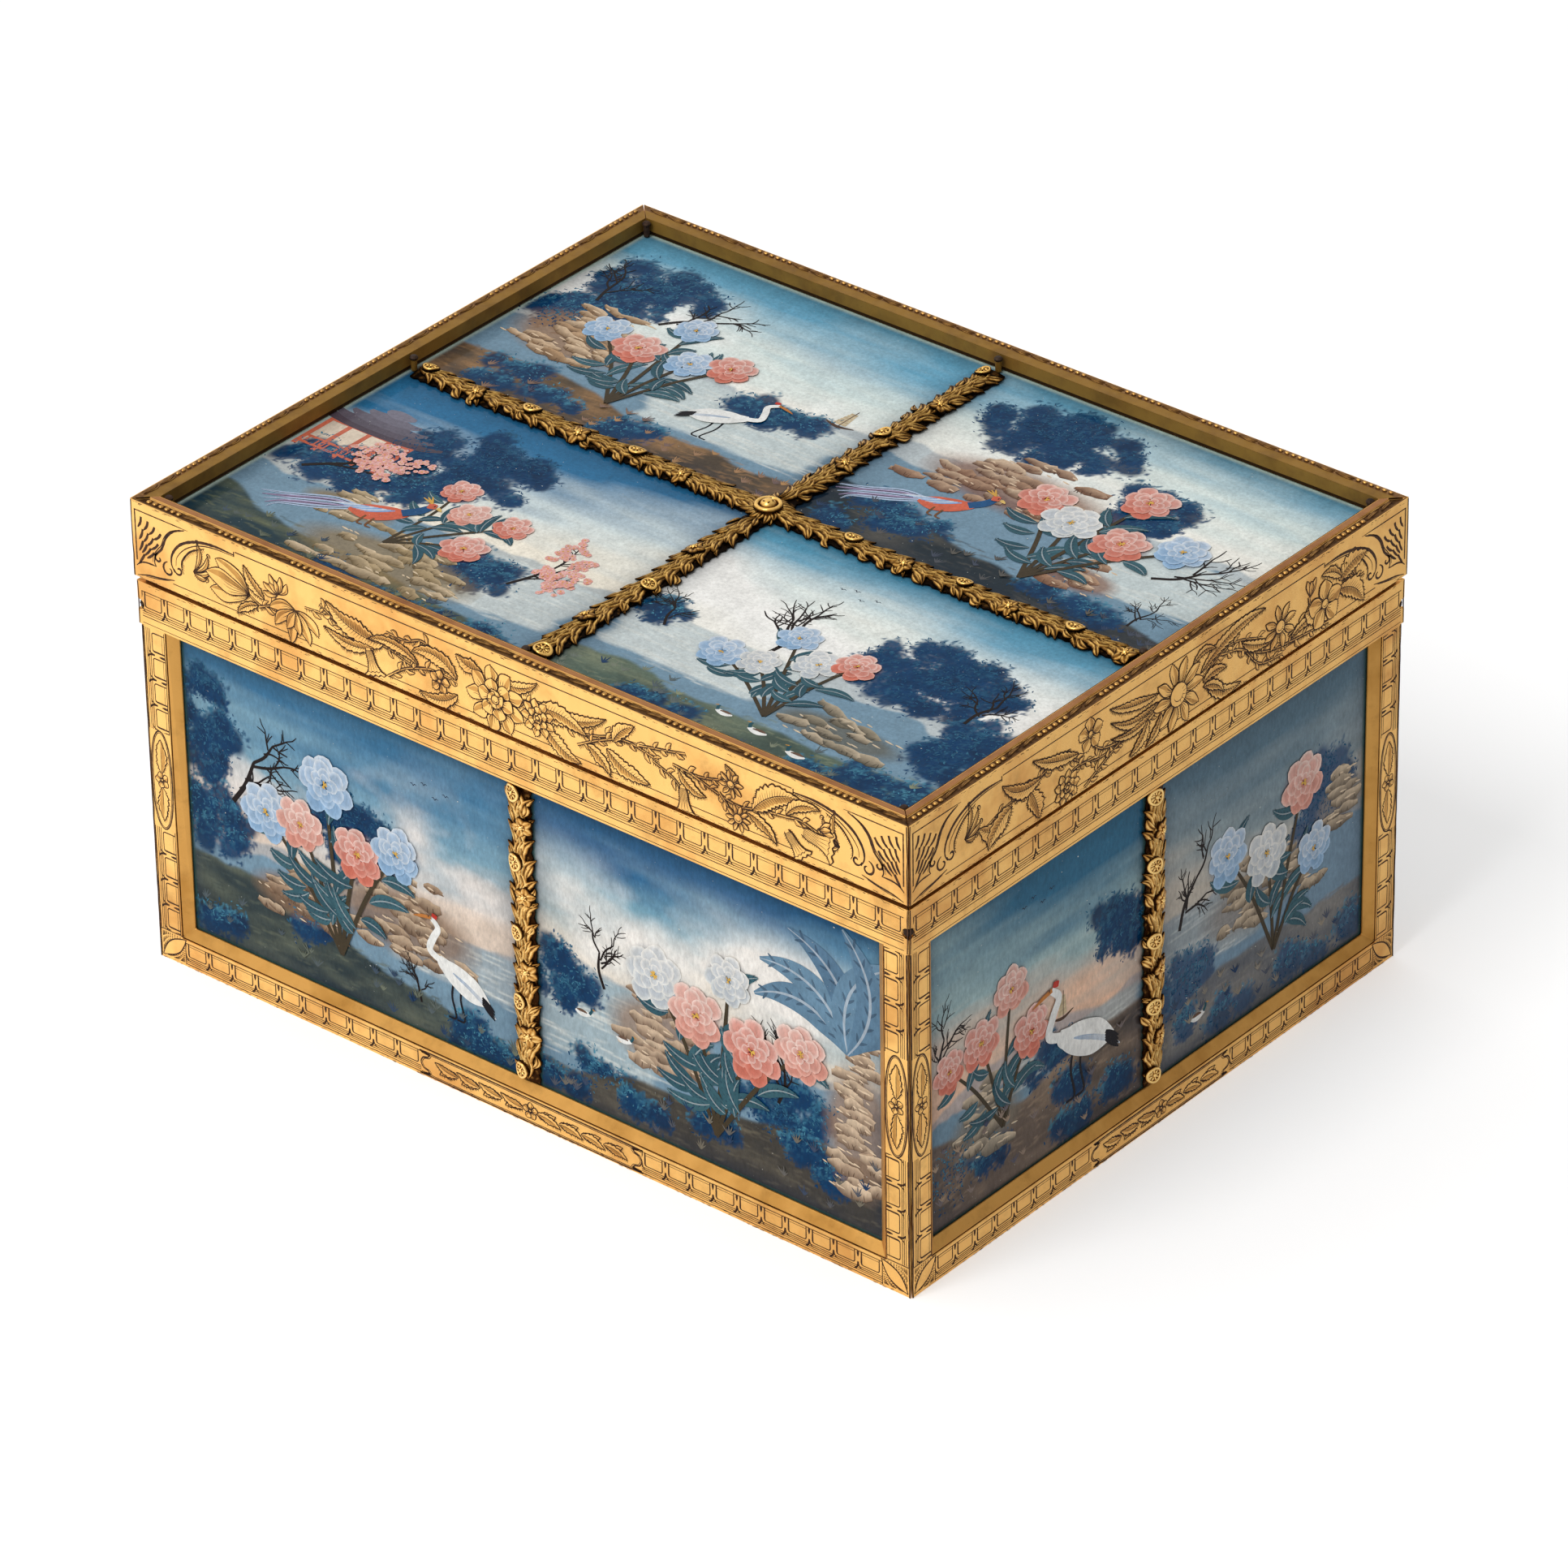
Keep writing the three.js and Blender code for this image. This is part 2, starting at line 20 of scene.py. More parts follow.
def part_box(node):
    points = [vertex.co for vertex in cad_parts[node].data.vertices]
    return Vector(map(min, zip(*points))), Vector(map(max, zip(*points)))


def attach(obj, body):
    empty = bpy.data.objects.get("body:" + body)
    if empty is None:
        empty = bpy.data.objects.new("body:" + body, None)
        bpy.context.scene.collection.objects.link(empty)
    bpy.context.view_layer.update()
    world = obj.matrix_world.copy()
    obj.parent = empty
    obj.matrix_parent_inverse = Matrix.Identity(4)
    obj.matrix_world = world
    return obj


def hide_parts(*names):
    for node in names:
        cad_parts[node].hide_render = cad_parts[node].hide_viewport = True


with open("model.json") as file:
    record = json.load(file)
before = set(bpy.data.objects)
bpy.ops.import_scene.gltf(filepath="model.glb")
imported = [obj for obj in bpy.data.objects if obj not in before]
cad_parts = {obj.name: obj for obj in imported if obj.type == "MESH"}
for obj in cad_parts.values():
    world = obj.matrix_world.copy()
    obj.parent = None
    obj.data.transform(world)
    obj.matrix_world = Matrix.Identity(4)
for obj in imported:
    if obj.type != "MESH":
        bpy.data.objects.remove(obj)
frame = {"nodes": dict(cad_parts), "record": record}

LOG = logging.getLogger("casket")
MM = 0.001
Point = tuple[float, float]
Colour = tuple[float, float, float]
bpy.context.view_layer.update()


def linear(red: float, green: float, blue: float) -> Colour:
    """A colour seen on screen, each part from 0 to 255, as linear light."""
    return tuple((part / 255.0) ** 2.2 for part in (red, green, blue))


def mix(first: Sequence[float], second: Sequence[float], share: float) -> tuple[float, ...]:
    """Two colours or points blended; share 0 gives the first and 1 the second."""
    keep = min(max(share, 0.0), 1.0)
    return tuple(a + (b - a) * keep for a, b in zip(first, second))


def smooth(low: float, high: float, value: float) -> float:
    """A soft step from 0 at low to 1 at high."""
    share = min(max((value - low) / (high - low), 0.0), 1.0)
    return share * share * (3.0 - 2.0 * share)


class Side(Enum):
    """The four sides of the casket: the name, the outward direction and the direction across it."""

    FRONT = ("front", (0, -1, 0), (1, 0, 0))
    RIGHT = ("right", (1, 0, 0), (0, 1, 0))
    BACK = ("back", (0, 1, 0), (-1, 0, 0))
    LEFT = ("left", (-1, 0, 0), (0, -1, 0))

    @property
    def label(self) -> str:
        """The side's name in the names of its pieces."""
        return self.value[0]

    @property
    def out(self) -> Vector:
        """The outward direction."""
        return Vector(self.value[1])

    @property
    def across(self) -> Vector:
        """The direction from left to right for someone who faces the side."""
        return Vector(self.value[2])


@dataclass(frozen=True)
class Plane:
    """A flat working plane: local x runs across, y up and z out of the surface, all in millimetres.

    Attributes:
        origin: The place of local zero, in metres.
        across: The direction of local x.
        up: The direction of local y.
    """

    origin: Vector
    across: Vector
    up: Vector

    def matrix(self) -> Matrix:
        """The matrix from local millimetres to metres in the frame."""
        out = self.across.cross(self.up)
        columns = Matrix((self.across, self.up, out)).transposed().to_4x4()
        return Matrix.Translation(self.origin) @ columns @ Matrix.Scale(MM, 4)


@dataclass(frozen=True)
class NodeFace:
    """The outer face of a CAD node that lies on one side of the casket.

    Attributes:
        plane: The face's plane, with local zero at its lower left corner.
        width: The face's width in millimetres.
        height: The face's height in millimetres.
    """

    plane: Plane
    width: float
    height: float


def side_face(node: str, side: Side) -> NodeFace:
    """The outer face of a node on one side.

    Args:
        node: The CAD node's name.
        side: The side that the face looks out from.

    Returns:
        The face, seen from outside.
    """
    low, high = (Vector(corner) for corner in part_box(node))
    middle = (low + high) / 2
    half = (high - low) / 2
    reach = Vector(abs(part) for part in side.out).dot(half)
    spread = Vector(abs(part) for part in side.across).dot(half)
    origin = middle + side.out * reach - side.across * spread
    origin.z = low.z
    return NodeFace(Plane(origin, side.across, Vector((0, 0, 1))), 2 * spread / MM, (high.z - low.z) / MM)


def top_face(node: str) -> NodeFace:
    """The upper face of a node, seen from above with the front at the bottom."""
    low, high = (Vector(corner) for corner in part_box(node))
    origin = Vector((low.x, low.y, high.z))
    plane = Plane(origin, Vector((1, 0, 0)), Vector((0, 1, 0)))
    return NodeFace(plane, (high.x - low.x) / MM, (high.y - low.y) / MM)


class Draft:
    """The points and faces of a piece while it is made, with a colour and a value for each point."""

    def __init__(self) -> None:
        """Starts an empty draft."""
        self.points: list[tuple[float, float, float]] = []
        self.faces: list[tuple[int, ...]] = []
        self.finishes: list[int] = []
        self.colours: list[Colour] = []
        self.values: list[float] = []

    def add(
        self,
        points: Sequence[Sequence[float]],
        faces: Iterable[Sequence[int]],
        colours: Optional[Sequence[Colour]] = None,
        values: Optional[Sequence[float]] = None,
        finish: int = 0,
    ) -> None:
        """Adds a patch of points and faces.

        Args:
            points: Places in local millimetres.
            faces: Indices into points, turning left as seen from outside.
            colours: One colour for each point, or nothing.
            values: One number for each point, or nothing.
            finish: The number of the faces' material in the built piece.
        """
        start = len(self.points)
        self.points.extend(tuple(point) for point in points)
        made = [tuple(start + index for index in face) for face in faces]
        self.faces.extend(made)
        self.finishes.extend([finish] * len(made))
        self.colours.extend(colours or [(1.0, 1.0, 1.0)] * len(points))
        self.values.extend(values or [0.0] * len(points))

    def build(
        self,
        name: str,
        place: Matrix,
        *finishes: bpy.types.Material,
        merge: float = 0.0,
        shade_smooth: bool = False,
    ) -> bpy.types.Object:
        """Makes the piece's object, with the place in its mesh.

        Args:
            name: The piece's name.
            place: The matrix from local millimetres to the frame's metres.
            *finishes: The piece's materials, by finish number.
            merge: Points closer than this, in millimetres, become one.
            shade_smooth: Whether the faces shade smoothly.

        Returns:
            The linked object.
        """
        mesh = bpy.data.meshes.new(name)
        mesh.from_pydata(self.points, [], self.faces)
        mesh.polygons.foreach_set("material_index", self.finishes)
        paint = mesh.attributes.new("paint", "FLOAT_COLOR", "POINT")
        paint.data.foreach_set("color", [part for colour in self.colours for part in (*colour[:3], 1.0)])
        relief = mesh.attributes.new("relief", "FLOAT", "POINT")
        relief.data.foreach_set("value", self.values)
        mesh.transform(place)
        if merge:
            weld(mesh, merge * MM)
        if shade_smooth:
            mesh.polygons.foreach_set("use_smooth", [True] * len(mesh.polygons))
        for finish in finishes:
            mesh.materials.append(finish)
        return link(bpy.data.objects.new(name, mesh))


def weld(mesh: bpy.types.Mesh, distance: float) -> None:
    """Merges near points of a mesh and turns its faces outwards."""
    work = bmesh.new()
    work.from_mesh(mesh)
    bmesh.ops.remove_doubles(work, verts=work.verts, dist=distance)
    bmesh.ops.recalc_face_normals(work, faces=work.faces)
    work.to_mesh(mesh)
    work.free()


def link(piece: bpy.types.Object) -> bpy.types.Object:
    """Links an object to the scene."""
    bpy.context.scene.collection.objects.link(piece)
    return piece


def seat(piece: bpy.types.Object, body: str, material_slot: str, *nodes: str) -> bpy.types.Object:
    """Hands a finished piece to its body.

    Args:
        piece: The finished object.
        body: The body that it rides on.
        material_slot: The record's slot of its finish; not used.
        *nodes: The CAD nodes that it stands for.

    Returns:
        The piece.
    """
    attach(piece, body)
    if nodes:
        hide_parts(*nodes)
    LOG.info("%s: %d faces on %s", piece.name, len(piece.data.polygons), body)
    return piece


class Shader:
    """A material's node tree with short calls for the nodes that the finishes share."""

    def __init__(self, name: str) -> None:
        """Starts a material with one Principled shader.

        Args:
            name: The material's name.
        """
        self.material = bpy.data.materials.new(name)
        self.material.use_nodes = True
        self.nodes = self.material.node_tree.nodes
        self.links = self.material.node_tree.links
        self.surface = self.nodes["Principled BSDF"]

    def set(self, **values: object) -> None:
        """Sets sockets of the shader, their names written with underscores."""
        for name, value in values.items():
            self.surface.inputs[name.replace("_", " ")].default_value = value

    def node(self, kind: str, **settings: object) -> bpy.types.Node:
        """Adds a node and sets its properties."""
        made = self.nodes.new(kind)
        for name, value in settings.items():
            setattr(made, name, value)
        return made

    def place(
        self, scale: Sequence[float] = (1, 1, 1), turn: Sequence[float] = (0, 0, 0)
    ) -> bpy.types.NodeSocket:
        """Object coordinates through a Mapping node."""
        coordinates = self.node("ShaderNodeTexCoord")
        mapping = self.node("ShaderNodeMapping")
        mapping.inputs["Scale"].default_value = scale
        mapping.inputs["Rotation"].default_value = turn
        self.links.new(coordinates.outputs["Object"], mapping.inputs["Vector"])
        return mapping.outputs["Vector"]

    def noise(
        self,
        scale: float,
        detail: float = 3.0,
        rough: float = 0.55,
        stretch: Sequence[float] = (1, 1, 1),
        turn: Sequence[float] = (0, 0, 0),
        distortion: float = 0.0,
    ) -> bpy.types.NodeSocket:
        """Noise in Object coordinates; scale counts features for each metre."""
        texture = self.node("ShaderNodeTexNoise")
        texture.inputs["Scale"].default_value = scale
        texture.inputs["Detail"].default_value = detail
        texture.inputs["Roughness"].default_value = rough
        texture.inputs["Distortion"].default_value = distortion
        self.links.new(self.place(stretch, turn), texture.inputs["Vector"])
        return texture.outputs["Fac"]

    def attribute(self, name: str, output: str) -> bpy.types.NodeSocket:
        """A named attribute of the mesh."""
        read = self.node("ShaderNodeAttribute", attribute_name=name)
        return read.outputs[output]

    def ramp(
        self, source: bpy.types.NodeSocket, stops: Sequence[tuple[float, Colour]]
    ) -> bpy.types.NodeSocket:
        """Colours by a value, from (position, colour) stops."""
        node = self.node("ShaderNodeValToRGB")
        bar = node.color_ramp
        while len(bar.elements) < len(stops):
            bar.elements.new(0.5)
        for element, (position, colour) in zip(bar.elements, stops):
            element.position = position
            element.color = (*colour, 1.0)
        self.links.new(source, node.inputs["Fac"])
        return node.outputs["Color"]

    def span(
        self, source: bpy.types.NodeSocket, low: float, high: float, to_low: float, to_high: float
    ) -> bpy.types.NodeSocket:
        """A value mapped from one range to another, kept inside it."""
        node = self.node("ShaderNodeMapRange")
        for name, value in (("From Min", low), ("From Max", high), ("To Min", to_low), ("To Max", to_high)):
            node.inputs[name].default_value = value
        self.links.new(source, node.inputs["Value"])
        return node.outputs["Result"]

    def blend(
        self,
        first: object,
        second: object,
        share: object,
        kind: str = "MIX",
    ) -> bpy.types.NodeSocket:
        """Two colours mixed; each input is a socket, a colour or a number."""
        node = self.node("ShaderNodeMix", data_type="RGBA", blend_type=kind)
        for socket, value in ((node.inputs[6], first), (node.inputs[7], second), (node.inputs[0], share)):
            if isinstance(value, bpy.types.NodeSocket):
                self.links.new(value, socket)
            else:
                socket.default_value = (*value, 1.0) if isinstance(value, tuple) else value
        return node.outputs[2]

    def bump(
        self, height: bpy.types.NodeSocket, distance: float, strength: float = 1.0, under: object = None
    ) -> bpy.types.NodeSocket:
        """A bump of the given depth in metres, on top of another bump if one is given."""
        node = self.node("ShaderNodeBump")
        node.inputs["Distance"].default_value = distance
        node.inputs["Strength"].default_value = strength
        self.links.new(height, node.inputs["Height"])
        if under is not None:
            self.links.new(under, node.inputs["Normal"])
        return node.outputs["Normal"]

    def wire(self, source: bpy.types.NodeSocket, name: str) -> None:
        """Links a socket to one of the shader's inputs."""
        self.links.new(source, self.surface.inputs[name])


@dataclass(frozen=True)
class GiltFinish:
    """Fire-gilt brass: a warm sheet with cloudy wear, fine handling scratches and a soft sheen.

    Attributes:
        name: The material's name.
        bright: The colour of the clean gilding.
        worn: The colour where the gilding has thinned.
        dark: The colour of brown patina in the low spots.
        roughness: The mean roughness.
        patina: How much of the surface the patina takes, from 0 to 1.
        metallic: 1 for clean metal, less where dirt hides it.
    """

    name: str
    bright: Colour
    worn: Colour
    dark: Colour
    roughness: float
    patina: float
    metallic: float = 1.0

    def make(self) -> bpy.types.Material:
        """Builds the material."""
        shader = Shader(self.name)
        shader.set(Metallic=self.metallic)
        clouds = shader.noise(46.0, 4.0, 0.6)
        specks = shader.noise(900.0, 3.0, 0.65)
        tone = shader.ramp(
            clouds, [(0.34, self.worn), (0.52, self.bright), (0.72, mix(self.bright, self.worn, 0.25))]
        )
        stain = shader.span(
            shader.noise(130.0, 5.0, 0.7), 0.62 - 0.2 * self.patina, 0.8, 0.0, 0.55 * self.patina + 0.1
        )
        pits = shader.span(specks, 0.70, 0.80, 0.0, 0.5)
        colour = shader.blend(tone, self.dark, stain)
        colour = shader.blend(colour, self.dark, pits)
        shader.wire(colour, "Base Color")
        scratches = shader.noise(420.0, 2.0, 0.5, (1.0, 1.0, 0.06), (0.5, 0.35, 0.2))
        shader.wire(
            shader.span(scratches, 0.3, 0.7, self.roughness - 0.05, self.roughness + 0.08), "Roughness"
        )
        hammered = shader.bump(shader.noise(55.0, 2.0, 0.4), 0.0006, 0.14)
        grain = shader.bump(shader.noise(1500.0, 2.0, 0.5), 0.00004, 0.25, hammered)
        shader.wire(grain, "Normal")
        return shader.material


@dataclass(frozen=True)
class CastFinish:
    """Cast and chased gilding coloured by the mesh's relief value: rubbed gilding with a painted highlight on
    the tops, brown dirt with painted shade in the hollows and on the sides.

    Attributes:
        name: The material's name.
        top: The colour of the raised, rubbed parts, lightened as a painted highlight.
        middle: The colour of the slopes.
        hollow: The colour of the hollows and the shells' sides: dirt with painted shade.
    """

    name: str
    top: Colour
    middle: Colour
    hollow: Colour

    def make(self) -> bpy.types.Material:
        """Builds the material."""
        shader = Shader(self.name)
        shader.set(Metallic=1.0)
        relief = shader.attribute("relief", "Fac")
        grain = shader.noise(700.0, 3.0, 0.6)
        height = shader.node("ShaderNodeMath", operation="ADD")
        shader.links.new(relief, height.inputs[0])
        shader.links.new(shader.span(grain, 0.3, 0.7, -0.14, 0.14), height.inputs[1])
        # Painted light: low relief (hollows, sides, the garlands' rope) takes the dark hollow colour as
        # painted shade with the dirt, and high relief takes the top colour as a painted highlight.
        colour = shader.ramp(height.outputs[0], [(0.08, self.hollow), (0.42, self.middle), (0.82, self.top)])
        shader.wire(colour, "Base Color")
        shader.wire(shader.span(height.outputs[0], 0.1, 0.8, 0.62, 0.24), "Roughness")
        shader.wire(shader.bump(grain, 0.0001, 0.3), "Normal")
        return shader.material


@dataclass(frozen=True)
class EngravedFinish:
    """The brown dirt and oxide that fills engraved lines.

    Attributes:
        name: The material's name.
        dirt: The darkest brown.
        edge: The warmer brown where the line is shallow.
    """

    name: str
    dirt: Colour
    edge: Colour

    def make(self) -> bpy.types.Material:
        """Builds the material."""
        shader = Shader(self.name)
        shader.set(Metallic=0.0, Roughness=0.6, Specular_IOR_Level=0.25)
        shade = shader.ramp(shader.noise(650.0, 3.0, 0.6), [(0.36, self.dirt), (0.66, self.edge)])
        shader.wire(shade, "Base Color")
        return shader.material


@dataclass(frozen=True)
class PaintFinish:
    """Paint seen through clear glass: the mesh's colours, brush grain and small losses under a polished face.

    Attributes:
        name: The material's name.
        grain: How strongly the brush grain lightens and darkens the paint.
    """

    name: str
    grain: float

    def make(self) -> bpy.types.Material:
        """Builds the material."""
        shader = Shader(self.name)
        shader.set(Roughness=0.12, IOR=1.45, Specular_IOR_Level=0.08)
        paint = shader.attribute("paint", "Color")
        brush = shader.noise(1100.0, 4.0, 0.7, (1.0, 1.0, 0.45), (0.0, 0.6, 0.35))
        clouds = shader.noise(210.0, 4.0, 0.65)
        light = shader.span(brush, 0.3, 0.7, 1.0 - self.grain, 1.0 + self.grain)
        wash = shader.span(clouds, 0.3, 0.7, 1.0 - 0.6 * self.grain, 1.0 + 0.6 * self.grain)
        strength = shader.node("ShaderNodeMath", operation="MULTIPLY")
        shader.links.new(light, strength.inputs[0])
        shader.links.new(wash, strength.inputs[1])
        scaled = shader.node("ShaderNodeVectorMath", operation="SCALE")
        shader.links.new(paint, scaled.inputs[0])
        shader.links.new(strength.outputs[0], scaled.inputs["Scale"])
        loss = shader.span(shader.noise(1700.0, 1.0, 0.4), 0.78, 0.82, 0.0, 0.55)
        shader.wire(shader.blend(scaled.outputs[0], linear(214, 214, 204), loss), "Base Color")
        return shader.material


@dataclass(frozen=True)
class StudFinish:
    """A post whose head is browned and whose shank has the brass of the wall that it stands against.

    Attributes:
        name: The material's name.
        head: The colour of the head.
        shank: The colour of the shank.
        change: The height in metres at which the shank ends.
    """

    name: str
    head: Colour
    shank: Colour
    change: float

    def make(self) -> bpy.types.Material:
        """Builds the material."""
        shader = Shader(self.name)
        shader.set(Metallic=0.6, Roughness=0.55)
        place = shader.node("ShaderNodeTexCoord").outputs["Object"]
        split = shader.node("ShaderNodeSeparateXYZ")
        shader.links.new(place, split.inputs[0])
        rise = shader.span(split.outputs["Z"], self.change - 0.0001, self.change + 0.0001, 0.0, 1.0)
        shader.wire(shader.blend(self.shank, self.head, rise), "Base Color")
        return shader.material


@dataclass(frozen=True)
class PlainFinish:
    """A finish with two cloudy tones and a fine grain, for iron, hinge brass, wood and velvet.

    Attributes:
        name: The material's name.
        first: The darker tone.
        second: The lighter tone.
        metallic: 1 for bare metal.
        roughness: The mean roughness.
        scale: Features of the tone for each metre.
        stretch: Scale along each axis, for wood grain.
        sheen: The weight of the velvet's sheen.
        depth: The depth of the grain in metres.
        shine: The level of the plain reflection, 0.5 for an ordinary surface.
    """

    name: str
    first: Colour
    second: Colour
    metallic: float
    roughness: float
    scale: float
    stretch: tuple[float, float, float] = (1.0, 1.0, 1.0)
    sheen: float = 0.0
    depth: float = 0.00005
    shine: float = 0.5

    def make(self) -> bpy.types.Material:
        """Builds the material."""
        shader = Shader(self.name)
        shader.set(
            Metallic=self.metallic, Sheen_Weight=self.sheen, Sheen_Roughness=0.4,
            Specular_IOR_Level=self.shine
        )
        tone = shader.noise(self.scale, 5.0, 0.6, self.stretch, distortion=0.6)
        shader.wire(shader.ramp(tone, [(0.34, self.first), (0.66, self.second)]), "Base Color")
        fine = shader.noise(self.scale * 9.0, 3.0, 0.6, self.stretch)
        shader.wire(shader.span(fine, 0.3, 0.7, self.roughness - 0.07, self.roughness + 0.07), "Roughness")
        shader.wire(shader.bump(fine, self.depth, 0.5), "Normal")
        return shader.material


@dataclass
class Finishes:
    """Every material of the casket, made once."""

    sheet: bpy.types.Material = field(init=False)
    slip: bpy.types.Material = field(init=False)
    cast: bpy.types.Material = field(init=False)
    side_cast: bpy.types.Material = field(init=False)
    lip: bpy.types.Material = field(init=False)
    wall: bpy.types.Material = field(init=False)
    tone: bpy.types.Material = field(init=False)
    beading: bpy.types.Material = field(init=False)
    cut: bpy.types.Material = field(init=False)
    paint: bpy.types.Material = field(init=False)
    iron: bpy.types.Material = field(init=False)
    stud: bpy.types.Material = field(init=False)
    hinge: bpy.types.Material = field(init=False)
    wood: bpy.types.Material = field(init=False)
    velvet: bpy.types.Material = field(init=False)
    braid: bpy.types.Material = field(init=False)

    def __post_init__(self) -> None:
        """Builds the materials."""
        brown = linear(96, 62, 32)
        self.sheet = GiltFinish(
            "engraved gilt", linear(248, 196, 116), linear(222, 164, 92), brown, 0.38, 0.45
        ).make()
        self.slip = GiltFinish(
            "plain gilt", linear(206, 154, 84), linear(180, 130, 66), brown, 0.44, 0.5
        ).make()
        self.cast = CastFinish(
            "cast gilt", linear(250, 200, 112), linear(136, 94, 44), linear(26, 17, 9)
        ).make()
        self.side_cast = CastFinish(
            "cast side gilt", linear(255, 214, 136), linear(198, 142, 72), linear(56, 34, 18)
        ).make()
        self.beading = CastFinish(
            "beaded gilt", linear(204, 154, 86), linear(130, 92, 52), linear(70, 48, 30)
        ).make()
        self.lip = GiltFinish(
            "copper lip", linear(176, 122, 76), linear(146, 94, 56), brown, 0.42, 0.6
        ).make()
        self.wall = GiltFinish(
            "aged inner wall", linear(158, 118, 50), linear(124, 90, 34), brown, 0.62, 0.8, 0.5
        ).make()
        self.tone = GiltFinish(
            "shaded gilt", linear(206, 154, 84), linear(176, 124, 66), brown, 0.42, 0.9
        ).make()
        self.cut = EngravedFinish("engraved lines", linear(46, 26, 12), linear(86, 52, 24)).make()
        self.paint = PaintFinish("painted glass", 0.16).make()
        self.iron = PlainFinish(
            "browned iron", linear(40, 30, 25), linear(80, 60, 48), 0.1, 0.8, 800.0, shine=0.2
        ).make()
        self.stud = StudFinish("browned stud", linear(58, 42, 30), linear(150, 110, 46), 0.1289).make()
        self.hinge = PlainFinish(
            "hinge brass", linear(122, 88, 44), linear(196, 152, 84), 1.0, 0.36, 260.0
        ).make()
        self.wood = PlainFinish(
            "oiled walnut", linear(62, 40, 26), linear(112, 76, 50), 0.0, 0.55, 150.0, (0.08, 1.0, 1.0),
            shine=0.3
        ).make()
        self.velvet = PlainFinish(
            "crimson velvet", linear(96, 14, 26), linear(116, 20, 34), 0.0, 0.95, 260.0, sheen=0.02,
            depth=0.0001, shine=0.04
        ).make()
        self.braid = PlainFinish(
            "gold braid", linear(132, 92, 36), linear(208, 164, 88), 0.55, 0.5, 900.0, depth=0.0001
        ).make()


